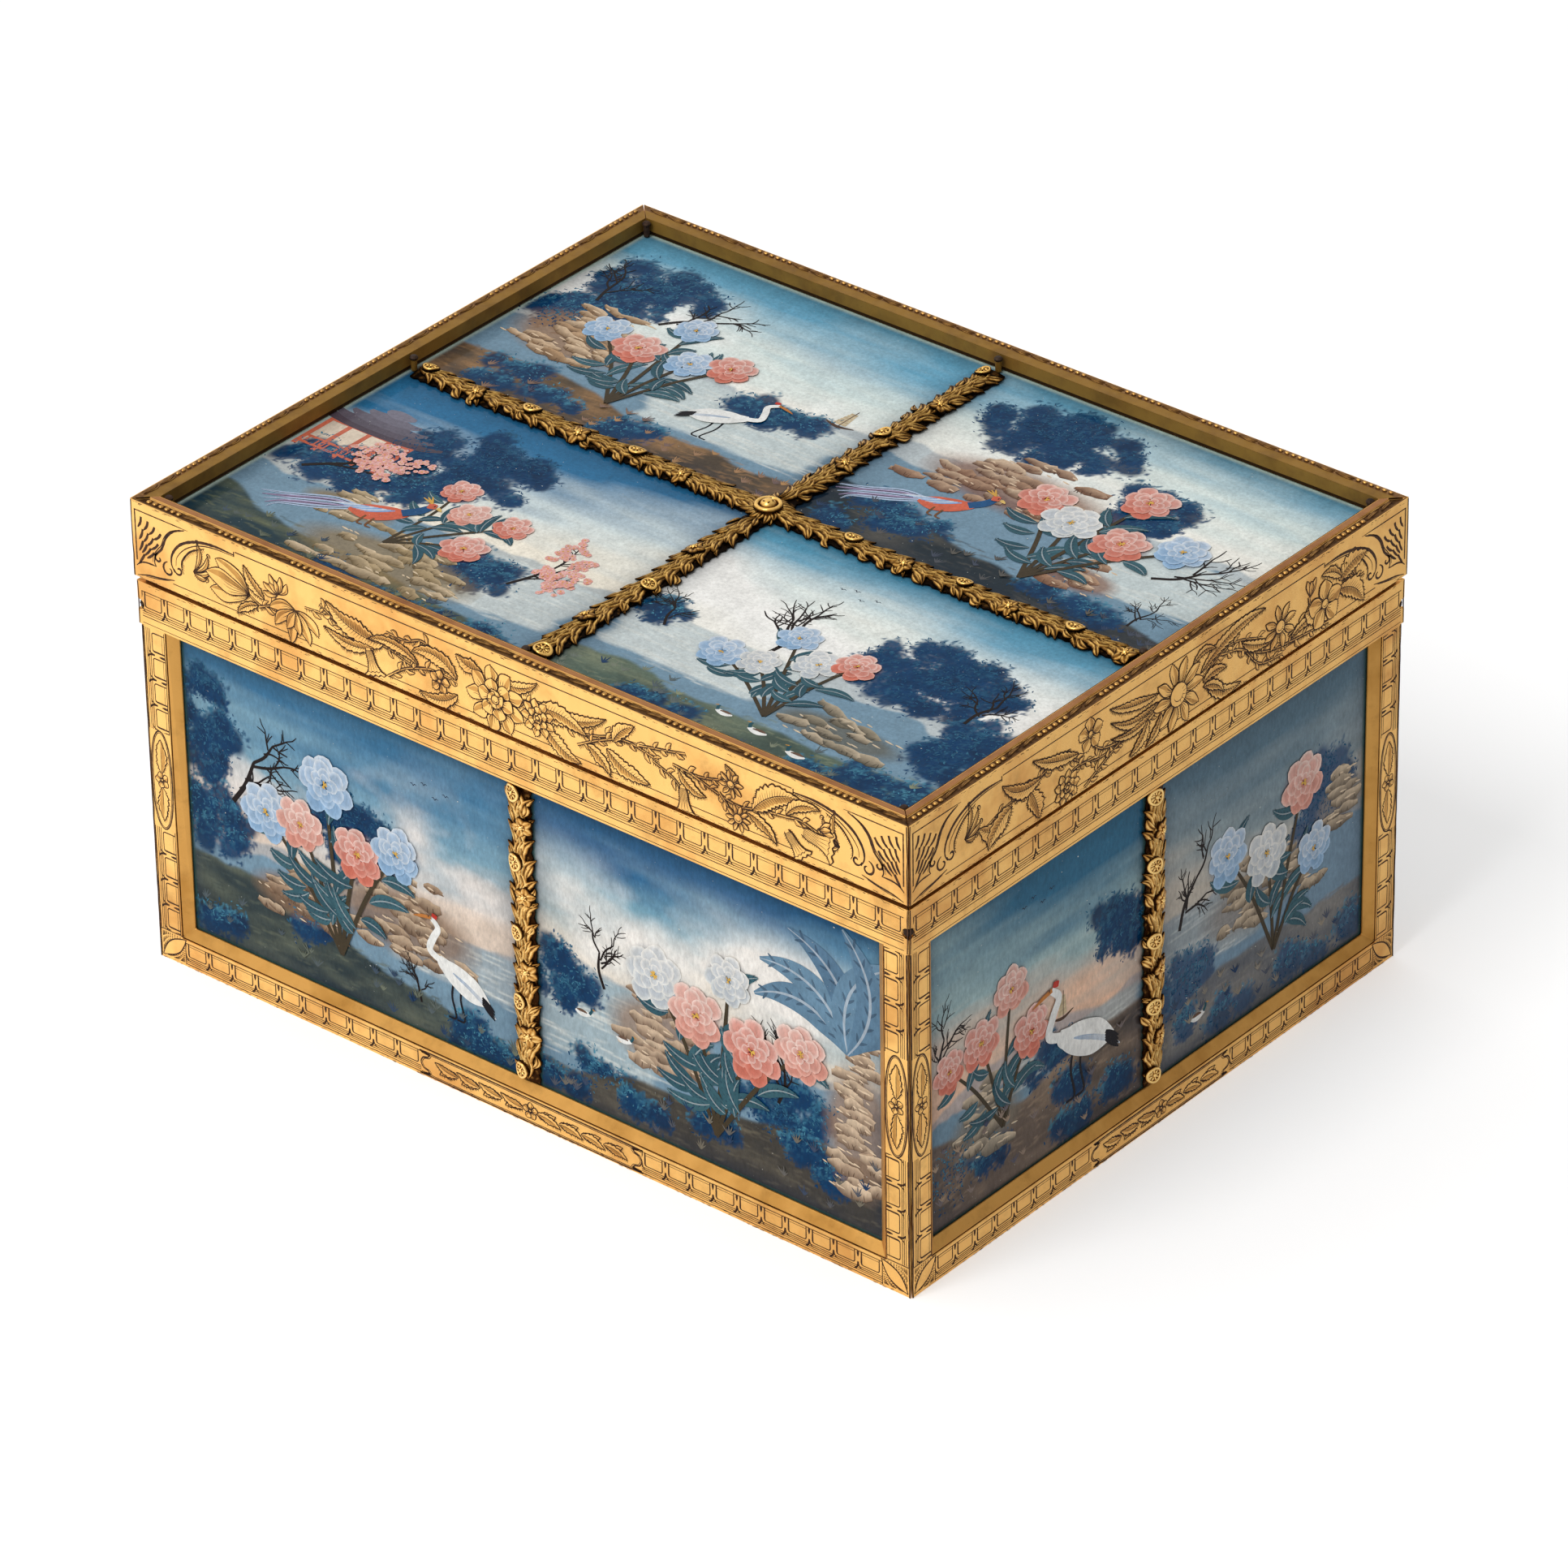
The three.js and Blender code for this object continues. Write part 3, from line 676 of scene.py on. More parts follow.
@dataclass
class Studio:
    """The camera at the photograph's angle, the pale floor and the soft lights.

    Attributes:
        camera_place: The camera's place in metres.
        forward: The direction that it looks in.
        right: The direction to the right of its picture.
        focal_mm: The focal length over a 36 mm wide picture.
        floor_size: The floor's side in metres.
        key_watts: The power of the large lamp in front.
        sky: The mean strength of the light from all round.
        slope: How much brighter that light is from the front left than from the back right.
        metal_sky: The mean strength of what shiny surfaces see past the floor.
    """

    camera_place: Vector = field(default_factory=lambda: Vector((1.22188, -1.44469, 1.21723)))
    forward: Vector = field(default_factory=lambda: Vector((-0.548630, 0.650526, -0.525188)))
    right: Vector = field(default_factory=lambda: Vector((0.769875, 0.638044, -0.013924)))
    focal_mm: float = 209.59
    floor_size: float = 12.0
    key_watts: float = 19.0
    sky: float = 0.52
    slope: float = 0.34
    metal_sky: float = 0.8

    def camera(self) -> None:
        """Adds the camera and makes it the scene's own."""
        data = bpy.data.cameras.new("camera")
        data.sensor_width = 36.0
        data.lens = self.focal_mm
        data.clip_end = 30.0
        view = link(bpy.data.objects.new("camera", data))
        back = -self.forward
        up = back.cross(self.right)
        turn = Matrix((self.right, up, back)).transposed().to_4x4()
        view.matrix_world = Matrix.Translation(self.camera_place) @ turn
        bpy.context.scene.camera = view

    def lamp(self, name: str, place: Sequence[float], size: float, watts: float) -> None:
        """Adds a soft square lamp that faces the casket."""
        data = bpy.data.lights.new(name, "AREA")
        data.shape = "SQUARE"
        data.size = size
        data.energy = watts
        lamp = link(bpy.data.objects.new(name, data))
        lamp.location = place
        aim = Vector((0, 0, 0.06)) - Vector(place)
        lamp.rotation_euler = aim.to_track_quat("-Z", "Y").to_euler()

    def floor(self) -> None:
        """Adds the pale floor, which keeps the casket's shadow. It glows evenly for the camera, and for
        glossy rays more towards the front left, a painted reflection that brightens the casket's front faces.
        """
        half = self.floor_size / 2
        mesh = bpy.data.meshes.new("floor")
        mesh.from_pydata(
            [(-half, -half, 0), (half, -half, 0), (half, half, 0), (-half, half, 0)], [], [(0, 1, 2, 3)]
        )
        shader = Shader("floor")
        shader.set(Base_Color=(0.93, 0.93, 0.93, 1.0), Roughness=0.9, Specular_IOR_Level=0.1)
        path = shader.node("ShaderNodeLightPath")
        place = shader.node("ShaderNodeTexCoord").outputs["Object"]
        # Painted reflection: a glow that only shiny surfaces see, strongest towards the front left.
        toward = shader.node("ShaderNodeVectorMath", operation="DOT_PRODUCT")
        toward.inputs[1].default_value = (-0.86, -0.5, 0.0)
        shader.links.new(place, toward.inputs[0])
        metal = shader.span(toward.outputs["Value"], -0.25, 0.25, 0.0, 0.55)
        part = shader.node("ShaderNodeMath", operation="MULTIPLY")
        shader.links.new(path.outputs["Is Glossy Ray"], part.inputs[0])
        shader.links.new(metal, part.inputs[1])
        seen = shader.span(path.outputs["Is Camera Ray"], 0.0, 1.0, 0.0, 0.36)
        glow = shader.node("ShaderNodeMath", operation="ADD")
        shader.links.new(part.outputs[0], glow.inputs[0])
        shader.links.new(seen, glow.inputs[1])
        glow = glow.outputs[0]
        shader.set(Emission_Color=(1.0, 1.0, 1.0, 1.0))
        shader.wire(glow, "Emission Strength")
        mesh.materials.append(shader.material)
        link(bpy.data.objects.new("floor", mesh))

    def world(self) -> None:
        """Sets the even light, and white where the camera or a shiny surface sees past the floor."""
        world = bpy.data.worlds.new("studio")
        world.use_nodes = True
        bpy.context.scene.world = world
        nodes, links = world.node_tree.nodes, world.node_tree.links
        background = nodes["Background"]
        background.inputs["Color"].default_value = (1.0, 1.0, 1.0, 1.0)
        path = nodes.new("ShaderNodeLightPath")
        way = nodes.new("ShaderNodeTexCoord")
        toward = nodes.new("ShaderNodeVectorMath")
        toward.operation = "DOT_PRODUCT"
        toward.inputs[1].default_value = (-0.86, -0.5, 0.1)
        links.new(way.outputs["Generated"], toward.inputs[0])
        for name, mean in (("soft", self.sky), ("seen in metal", self.metal_sky)):
            level = nodes.new("ShaderNodeMapRange")
            level.name = name
            level.inputs["From Min"].default_value = -1.0
            level.inputs["To Min"].default_value = mean - self.slope
            level.inputs["To Max"].default_value = mean + self.slope
            links.new(toward.outputs["Value"], level.inputs["Value"])
        shiny = nodes.new("ShaderNodeMix")
        plain = nodes.new("ShaderNodeMix")
        links.new(path.outputs["Is Glossy Ray"], shiny.inputs[0])
        links.new(nodes["soft"].outputs["Result"], shiny.inputs[2])
        links.new(nodes["seen in metal"].outputs["Result"], shiny.inputs[3])
        links.new(path.outputs["Is Camera Ray"], plain.inputs[0])
        links.new(shiny.outputs[0], plain.inputs[2])
        plain.inputs[3].default_value = 1.0
        links.new(plain.outputs[0], background.inputs["Strength"])

    def build(self) -> None:
        """Sets up the camera, the lights and the floor."""
        bpy.context.scene.view_settings.view_transform = "Standard"
        self.camera()
        self.world()
        self.floor()
        self.lamp("key lamp", (-0.05, -1.3, 1.95), 0.9, self.key_watts)


def spline(points: Sequence[Point], step: float = 0.5, closed: bool = False) -> list[Point]:
    """A smooth curve through points.

    Args:
        points: The points that the curve passes, in millimetres.
        step: The distance between the points of the result.
        closed: Whether the curve returns to its start.

    Returns:
        The curve's points; a closed curve doesn't repeat its first one.
    """
    knots = [Vector(point) for point in points]
    count = len(knots)
    result = []
    for index in range(count if closed else count - 1):
        if closed:
            before, start, end, after = (knots[(index + shift) % count] for shift in (-1, 0, 1, 2))
        else:
            start, end = knots[index], knots[index + 1]
            before = knots[index - 1] if index else start * 2 - end
            after = knots[index + 2] if index + 2 < count else end * 2 - start
        pieces = max(1, round((end - start).length / step))
        for piece in range(pieces):
            t = piece / pieces
            place = (
                start * 2
                + (end - before) * t
                + (before * 2 - start * 5 + end * 4 - after) * t * t
                + (start * 3 - before - end * 3 + after) * t * t * t
            ) / 2
            result.append((place.x, place.y))
    if not closed:
        result.append(tuple(knots[-1]))
    return result


def normals(points: Sequence[Point]) -> list[Point]:
    """The left-hand unit normal at each point of a polyline."""
    result = []
    for index in range(len(points)):
        ahead = points[min(index + 1, len(points) - 1)]
        behind = points[max(index - 1, 0)]
        run, rise = ahead[0] - behind[0], ahead[1] - behind[1]
        size = math.hypot(run, rise) or 1.0
        result.append((-rise / size, run / size))
    return result


def polar(origin: Point, angle: float, reach: float) -> Point:
    """The point at an angle in degrees and a distance from another."""
    turn = math.radians(angle)
    return (origin[0] + reach * math.cos(turn), origin[1] + reach * math.sin(turn))


class Bloom(Enum):
    """The kinds of engraved flower."""

    TULIP = "tulip"
    BELL = "bell"
    DAISY = "daisy"
    STAR = "star"
    FIVE = "five petals"
    ROSE = "rose"
    LILY = "lily"
    BUD = "bud"


def held(value: float, size: float) -> float:
    """Brings a coordinate near or past the edge of a face softly back to just inside that edge.

    Args:
        value: The coordinate in millimetres.
        size: The size of the face along it.

    Returns:
        The coordinate, unchanged where it is well inside the face.
    """
    edge, ease = 0.05, 0.15
    if value > size / 2:
        return size - held(size - value, size)
    if value > edge + ease:
        return value
    return edge + ease * math.exp((value - edge - ease) / ease)


class Engraver:
    """Cuts ornament into a flat face: tapered dark lines, and covers of gilt that hide the lines behind them.

    Attributes:
        draft: The ribbons and covers so far.
        lift: The height of the next line over the face.
    """

    CUT = 0
    GILT = 1
    TONE = 2
    FIRST_LIFT = 0.02
    RISE = 0.0025
    BOLDNESS = 1.9

    def __init__(self, seed: int) -> None:
        """Starts with a blank face.

        Args:
            seed: The seed of the hand's small errors.
        """
        self.draft = Draft()
        self.lift = self.FIRST_LIFT
        self.covers: list[tuple[float, float, float, float, float]] = []
        self.rng = random.Random(seed)

    def settle(self, points: Sequence[Point]) -> tuple[float, float, float, float]:
        """Lifts the hand just above every cover that the points may lie on, and returns their bounds."""
        low_x, high_x = min(p[0] for p in points), max(p[0] for p in points)
        low_y, high_y = min(p[1] for p in points), max(p[1] for p in points)
        under = [
            lift for left, right, bottom, top, lift in self.covers
            if left < high_x and right > low_x and bottom < high_y and top > low_y
        ]
        self.lift = max(under, default=self.FIRST_LIFT) + self.RISE
        return low_x, high_x, low_y, high_y

    def ribbon(self, points: Sequence[Point], width: float, start: float = 0.3, end: float = 0.3) -> None:
        """Cuts a line along a polyline.

        Args:
            points: The line's points in millimetres.
            width: The width of its middle.
            start: The share of the width at its first point.
            end: The share of the width at its last point.
        """
        last = len(points) - 1
        edge = []
        for index, (point, normal) in enumerate(zip(points, normals(points))):
            share = index / last
            grow = start + (1 - start) * min(1.0, share * 4)
            fade = end + (1 - end) * min(1.0, (1 - share) * 4)
            half = width * self.BOLDNESS / 2 * min(grow, fade) * self.rng.uniform(0.86, 1.14)
            edge.append((point[0] - normal[0] * half, point[1] - normal[1] * half, self.lift))
            edge.append((point[0] + normal[0] * half, point[1] + normal[1] * half, self.lift))
        faces = [(2 * i, 2 * i + 2, 2 * i + 3, 2 * i + 1) for i in range(last)]
        self.draft.add(edge, faces, finish=self.CUT)

    def line(
        self, points: Sequence[Point], width: float = 0.16, start: float = 0.3, end: float = 0.3
    ) -> None:
        """Cuts a smooth line through points, over what is there."""
        path = spline(points)
        self.settle(path)
        self.ribbon(path, width, start, end)

    def fringe(
        self, points: Sequence[Point], length: float, side: int, gap: float = 0.4, width: float = 0.12
    ) -> None:
        """Cuts the short comb of strokes that shades the outer side of an outline.

        Args:
            points: The outline.
            length: The mean length of a stroke.
            side: 1 for strokes on the left of the outline, -1 for the right.
            gap: The distance between strokes.
            width: The width of a stroke at its root.
        """
        travelled = 0.0
        for index in range(1, len(points)):
            run = math.dist(points[index - 1], points[index])
            travelled += run
            if travelled < gap:
                continue
            travelled = 0.0
            normal = normals(points[index - 1 : index + 1])[0]
            reach = length * self.rng.uniform(0.6, 1.35) * side
            slant = length * 0.45
            root = points[index]
            tip = (root[0] + normal[0] * reach + slant * 0.5, root[1] + normal[1] * reach - slant)
            self.ribbon([root, tip], width, 1.0, 0.25)

    def cover(self, outline: Sequence[Point], finish: int = GILT) -> None:
        """Lays gilt or a shaded tone inside a closed outline, so that the shape hides what is behind it."""
        bounds = self.settle(outline)
        self.covers.append((*bounds, self.lift + 3 * self.RISE))
        points = [(x, y, self.lift) for x, y in outline]
        area = sum(a[0] * b[1] - b[0] * a[1] for a, b in zip(points, points[1:] + points[:1]))
        order = range(len(points)) if area > 0 else range(len(points) - 1, -1, -1)
        self.draft.add(points, [tuple(order)], finish=finish)
        self.lift += self.RISE

    def tint(self, outline: Sequence[Point]) -> None:
        """Lays a shaded tone at the present height, just under the lines that follow."""
        points = [(x, y, self.lift) for x, y in outline]
        area = sum(a[0] * b[1] - b[0] * a[1] for a, b in zip(points, points[1:] + points[:1]))
        order = range(len(points)) if area > 0 else range(len(points) - 1, -1, -1)
        self.draft.add(points, [tuple(order)], finish=self.TONE)
        self.lift += self.RISE

    def blade(
        self,
        base: Point,
        tip: Point,
        width: float,
        bend: float = 0.0,
        teeth: int = 0,
        fullness: float = 0.85,
        shade: float = 0.6,
        line: float = 0.18,
    ) -> tuple[list[Point], list[Point], list[Point]]:
        """Cuts the outline of a leaf or petal over what is behind it.

        Args:
            base: Where it grows from.
            tip: Where it ends.
            width: Its greatest width.
            bend: How far its middle bows to the left, as a share of its length.
            teeth: The number of teeth on each edge.
            fullness: Where the width is greatest; under 1 is nearer to the base.
            shade: The length of the comb strokes, or 0.
            line: The outline's width.

        Returns:
            The points of its left edge, middle and right edge.
        """
        length = math.dist(base, tip)
        along = ((tip[0] - base[0]) / length, (tip[1] - base[1]) / length)
        middle, left, right = [], [], []
        steps = max(10, int(length / 0.4))
        wave = self.rng.uniform(0, math.tau)
        slant = 1.0 / teeth if teeth else 0.0
        for step in range(steps + 1):
            t = step / steps
            bow = bend * length * 4 * t * (1 - t)
            spot = (
                base[0] + along[0] * length * t - along[1] * bow,
                base[1] + along[1] * length * t + along[0] * bow,
            )
            half = width / 2 * math.sin(math.pi * t ** fullness) ** 0.85
            tooth = 0.34 * ((t / slant) % 1.0) ** 0.6 if teeth else 0.0
            other = 0.34 * ((t / slant + 0.45) % 1.0) ** 0.6 if teeth else 0.0
            sway = 1.0 + 0.13 * math.sin(8 * t + wave)
            middle.append(spot)
            left.append((t, half * (0.78 + tooth) * sway))
            right.append((t, -half * (0.78 + other) / sway))
        across = normals(middle)
        sides = []
        for edge in (left, right):
            points = zip(middle, across, edge)
            sides.append([(m[0] + n[0] * offset, m[1] + n[1] * offset) for m, n, (_, offset) in points])
        self.cover(sides[0] + sides[1][::-1])
        self.lift += self.RISE
        shaded = [mix(m, r, 0.1) for m, r in zip(middle, sides[1])][1:-1]
        far = [mix(m, r, 0.72) for m, r in zip(middle, sides[1])][1:-1]
        self.tint(shaded + far[::-1])
        for edge, side in zip(sides, (1, -1)):
            self.ribbon(edge, line, 0.7, 0.7)
            if shade:
                self.fringe(edge[1:], shade, side)
        return sides[0], middle, sides[1]

    def leaf(self, base: Point, tip: Point, width: float, bend: float = 0.1, teeth: int = 6) -> None:
        """Cuts a serrated leaf with its midrib, side veins and one shaded half."""
        left, middle, right = self.blade(base, tip, width, bend, teeth)
        self.ribbon(middle[: int(len(middle) * 0.88)], 0.13, 1.0, 0.2)
        for index in range(2, len(middle) - 2, 2):
            for edge in (left, right):
                ahead = min(index + 2, len(middle) - 1)
                vein = [middle[index], mix(middle[ahead], edge[ahead], 0.62)]
                self.ribbon(vein, 0.08, 1.0, 0.3)
        for index in range(1, len(middle) - 2, 2):
            shade = [mix(middle[index], right[index], 0.1), mix(middle[index + 1], right[index + 1], 0.5)]
            self.ribbon(shade, 0.09, 1.0, 0.3)

    def petal(
        self, base: Point, angle: float, length: float, width: float, bend: float = 0.0, rib: int = 3
    ) -> None:
        """Cuts a petal with fine ribs that spread from its base."""
        tip = polar(base, angle, length)
        left, middle, right = self.blade(base, tip, width, bend, 0, 1.25, 0.34 if width > 2.6 else 0.0, 0.15)
        rib = min(rib, max(1, int(width / 0.9)))
        for number in range(rib):
            share = (number + 1) / (rib + 1)
            reach = self.rng.uniform(0.45, 0.7)
            last = max(3, int(len(middle) * reach))
            self.ribbon([mix(left[i], right[i], share) for i in range(1, last)], 0.08, 1.0, 0.2)

    def disc(self, centre: Point, radius: float) -> None:
        """Cuts a flower's round heart with its shading."""
        ring = [polar(centre, angle, radius) for angle in range(0, 360, 24)]
        self.cover(ring)
        self.ribbon(ring + ring[:1], 0.17, 1.0, 1.0)
        inner = [polar(centre, angle, radius * 0.55) for angle in range(190, 380, 24)]
        self.ribbon(inner, 0.12)
        for angle in range(-70, 60, 26):
            self.ribbon(
                [polar(centre, angle, radius * 0.55), polar(centre, angle, radius * 0.95)], 0.09, 1.0, 0.3
            )

    def stem(self, points: Sequence[Point], width: float = 0.55) -> None:
        """Cuts a stalk: two lines with a comb of shade below the lower one."""
        path = spline(points)
        across = normals(path)
        sides = [
            [(p[0] + n[0] * width / 2 * side, p[1] + n[1] * width / 2 * side) for p, n in zip(path, across)]
            for side in (1, -1)
        ]
        self.cover(sides[0] + sides[1][::-1])
        lower = sides[1] if path[-1][0] > path[0][0] else sides[0]
        self.tint(path + lower[::-1])
        for side in sides:
            self.ribbon(side, 0.18, 0.6, 0.6)
        self.fringe(lower, 0.55, -1 if lower is sides[1] else 1)
        self.leaflets(path)

    def leaflets(self, path: Sequence[Point]) -> None:
        """Cuts small curled leaves that grow from both sides of a stalk."""
        travelled, side = 1.0, 1
        for before, spot, after in zip(path[1:], path[2:], path[3:-1]):
            travelled += math.dist(before, spot)
            if travelled < 2.6:
                continue
            travelled, side = self.rng.uniform(0.0, 0.8), -side
            heading = math.degrees(math.atan2(after[1] - before[1], after[0] - before[0]))
            tip = polar(spot, heading + side * self.rng.uniform(28, 50), self.rng.uniform(2.0, 3.4))
            self.blade(spot, tip, self.rng.uniform(0.9, 1.3), 0.14 * side, 3, 0.85, 0.0, 0.13)

    def flower(self, kind: Bloom, centre: Point, size: float, turn: float) -> None:
        """Cuts a flower.

        Args:
            kind: The flower's kind.
            centre: Its heart, or the base of a tulip or bell.
            size: Its greatest reach from there.
            turn: The direction in degrees that it faces.
        """
        if kind is Bloom.TULIP:
            for spread, reach, wide in ((20, 0.92, 0.46), (-20, 0.88, 0.46), (2, 1.0, 0.5)):
                self.petal(centre, turn + spread, size * reach, size * wide, 0.06 * spread / 24, 5)
        elif kind in (Bloom.DAISY, Bloom.STAR, Bloom.FIVE):
            count, heart, wide = {
                Bloom.DAISY: (10, 0.3, 0.36), Bloom.STAR: (8, 0.24, 0.36), Bloom.FIVE: (5, 0.16, 0.78),
            }[kind]
            for number in range(count):
                angle = turn + 360 * number / count + self.rng.uniform(-5, 5)
                self.petal(polar(centre, angle, size * heart * 0.6), angle, size * 0.72, size * wide, 0.03)
            self.disc(centre, size * heart)
        elif kind is Bloom.ROSE:
            for ring, count, reach in ((0, 9, 0.66), (1, 6, 0.44), (2, 4, 0.26)):
                for number in range(count):
                    angle = turn + 360 * number / count + 23 * ring
                    self.petal(
                        polar(centre, angle, size * 0.16 * (2 - ring)), angle, size * reach, size * 0.56,
                        0.05, 4
                    )
            self.disc(centre, size * 0.13)
        elif kind is Bloom.LILY:
            for spread in (66, -66, 38, -38, 0):
                self.petal(
                    centre, turn + spread, size * (0.92 - 0.0016 * abs(spread)), size * 0.36,
                    0.002 * spread, 2
                )
            for spread in (20, -16):
                self.petal(centre, turn + spread, size * 0.62, size * 0.3, 0.0, 1)
        elif kind is Bloom.BELL:
            self.bell(centre, size, turn)
        else:
            for spread in (20, -20, 0):
                self.petal(centre, turn + spread, size * (1.0 if spread else 0.84), size * 0.42, 0.0, 2)

    def bell(self, base: Point, size: float, turn: float) -> None:
        """Cuts a bell-shaped flower with a wavy mouth."""
        def spot(along: float, aside: float) -> Point:
            """A point by its shares of the size along and beside the bell's axis."""
            return polar(polar(base, turn, along * size), turn + 90, aside * size)

        profile = ((0.0, 0.1), (0.2, 0.17), (0.55, 0.19), (0.82, 0.3), (0.98, 0.5))
        left = spline([spot(along, aside) for along, aside in profile])
        right = spline([spot(along, -aside) for along, aside in profile])
        mouth = spline([spot(0.98 + 0.07 * (number % 2), 0.5 - 0.125 * number) for number in range(9)])
        inner = spline([spot(0.9 - 0.05 * (number % 2), 0.36 - 0.09 * number) for number in range(9)])
        self.cover(left + mouth + right[::-1])
        for edge, side in ((left, 1), (right, -1)):
            self.ribbon(edge, 0.18, 0.8, 0.8)
            self.fringe(edge, 0.5, side)
        self.ribbon(mouth, 0.18, 0.8, 0.8)
        self.ribbon(inner, 0.13)
        for number in range(7):
            share = (number + 1) / 8
            last = int(len(left) * (0.85 if number % 2 else 0.6))
            self.ribbon([mix(left[i], right[i], share) for i in range(1, last)], 0.08, 1.0, 0.2)

    def scroll(self, centre: Point, radius: float, start: float, sweep: float, width: float = 0.3) -> None:
        """Cuts a curl that winds in from a radius."""
        points = []
        steps = max(8, int(abs(sweep) / 18))
        for step in range(steps + 1):
            share = step / steps
            points.append(polar(centre, start + sweep * share, radius * (1 - 0.78 * share)))
        self.settle(points)
        self.ribbon(spline(points, 0.4), width, 0.4, 0.5)

    def frond(self, root: Point, angle: float, size: float, turn: int) -> None:
        """Cuts an acanthus tuft: curling blades that fan from a root."""
        for number, share in enumerate((1.0, 0.9, 0.72, 0.5)):
            way = angle + turn * (number * 30 - 40)
            tip = polar(root, way, size * share)
            midrib = self.blade(root, tip, size * 0.2, 0.16 * turn, 0, 1.3, 0.4, 0.16)[1]
            self.ribbon(midrib, 0.09)
            self.scroll(tip, size * 0.1, way + 90 * turn, -260 * turn, 0.16)

    def plate(self, outline: Sequence[Point], inset: float = 0.45) -> None:
        """Cuts a closed frame line with a finer line inside it."""
        shape = spline(outline, 0.6, True)
        self.cover(shape)
        self.ribbon(shape + shape[:1], 0.22, 1.0, 1.0)
        middle = (sum(p[0] for p in shape) / len(shape), sum(p[1] for p in shape) / len(shape))
        wide = max(p[0] for p in shape) - middle[0]
        high = max(p[1] for p in shape) - middle[1]
        inner = [
            (
                middle[0] + (x - middle[0]) * (1 - inset / wide),
                middle[1] + (y - middle[1]) * (1 - inset / high)
            )
            for x, y in shape
        ]
        self.ribbon(inner + inner[:1], 0.12, 1.0, 1.0)


class RowTree:
    """A Geometry Nodes tree that repeats a cell along a straight row with small hand-made differences."""

    SIZES = (("Pitch", "NodeSocketFloat"), ("Jitter", "NodeSocketFloat"), ("Count", "NodeSocketInt"))

    def __init__(self) -> None:
        """Builds the tree once."""
        self.tree = bpy.data.node_groups.new("row of cells", "GeometryNodeTree")
        face = self.tree.interface
        face.new_socket("Geometry", in_out="INPUT", socket_type="NodeSocketGeometry")
        self.sockets = {
            name: face.new_socket(name, in_out="INPUT", socket_type=kind).identifier
            for name, kind in (*self.SIZES, ("Seed", "NodeSocketInt"), ("Finish", "NodeSocketMaterial"))
        }
        face.new_socket("Geometry", in_out="OUTPUT", socket_type="NodeSocketGeometry")
        self.wire()

    def wire(self) -> None:
        """Adds the nodes and their links."""
        nodes, links = self.tree.nodes, self.tree.links
        source = nodes.new("NodeGroupInput")
        line = nodes.new("GeometryNodeMeshLine")
        step = nodes.new("ShaderNodeCombineXYZ")
        low, high = nodes.new("ShaderNodeVectorMath"), nodes.new("ShaderNodeVectorMath")
        wobble = nodes.new("FunctionNodeRandomValue")
        wobble.data_type = "FLOAT_VECTOR"
        low.operation = high.operation = "SCALE"
        low.inputs[0].default_value = (-1.0, -1.0, 0.0)
        high.inputs[0].default_value = (1.0, 1.0, 0.0)
        shift = nodes.new("GeometryNodeSetPosition")
        copies = nodes.new("GeometryNodeInstanceOnPoints")
        real = nodes.new("GeometryNodeRealizeInstances")
        dress = nodes.new("GeometryNodeSetMaterial")
        sink = nodes.new("NodeGroupOutput")
        links.new(source.outputs["Count"], line.inputs["Count"])
        links.new(source.outputs["Pitch"], step.inputs["X"])
        links.new(step.outputs[0], line.inputs["Offset"])
        for bound, socket in ((low, "Min"), (high, "Max")):
            links.new(source.outputs["Jitter"], bound.inputs["Scale"])
            links.new(bound.outputs[0], wobble.inputs[socket])
        links.new(source.outputs["Seed"], wobble.inputs["Seed"])
        links.new(line.outputs[0], shift.inputs["Geometry"])
        links.new(wobble.outputs[0], shift.inputs["Offset"])
        links.new(shift.outputs[0], copies.inputs["Points"])
        links.new(source.outputs["Geometry"], copies.inputs["Instance"])
        links.new(copies.outputs[0], real.inputs[0])
        links.new(real.outputs[0], dress.inputs["Geometry"])
        links.new(source.outputs["Finish"], dress.inputs["Material"])
        links.new(dress.outputs[0], sink.inputs[0])

    def lay(
        self, cell: Draft, finish: bpy.types.Material, count: int, pitch: float, jitter: float, seed: int
    ) -> Draft:
        """Repeats a cell and returns the row as a draft that starts at local zero.

        Args:
            cell: The cell, in millimetres.
            finish: The material of the row.
            count: The number of cells.
            pitch: The distance between cells.
            jitter: How far a cell may lie off its place.
            seed: The seed of the differences.

        Returns:
            The row's points, faces and values.
        """
        lone = cell.build("cell", Matrix.Identity(4), finish)
        modifier = lone.modifiers.new("row", "NODES")
        modifier.node_group = self.tree
        settings = {"Pitch": pitch, "Jitter": jitter, "Count": count, "Seed": seed, "Finish": finish}
        for name, value in settings.items():
            modifier[self.sockets[name]] = value
        bpy.context.view_layer.update()
        evaluated = lone.evaluated_get(bpy.context.evaluated_depsgraph_get())
        mesh = bpy.data.meshes.new_from_object(evaluated)
        row = Draft()
        relief = mesh.attributes["relief"].data
        row.add(
            [tuple(vertex.co) for vertex in mesh.vertices],
            [tuple(polygon.vertices) for polygon in mesh.polygons],
            values=[item.value for item in relief],
        )
        bpy.data.objects.remove(lone)
        bpy.data.meshes.remove(mesh)
        return row


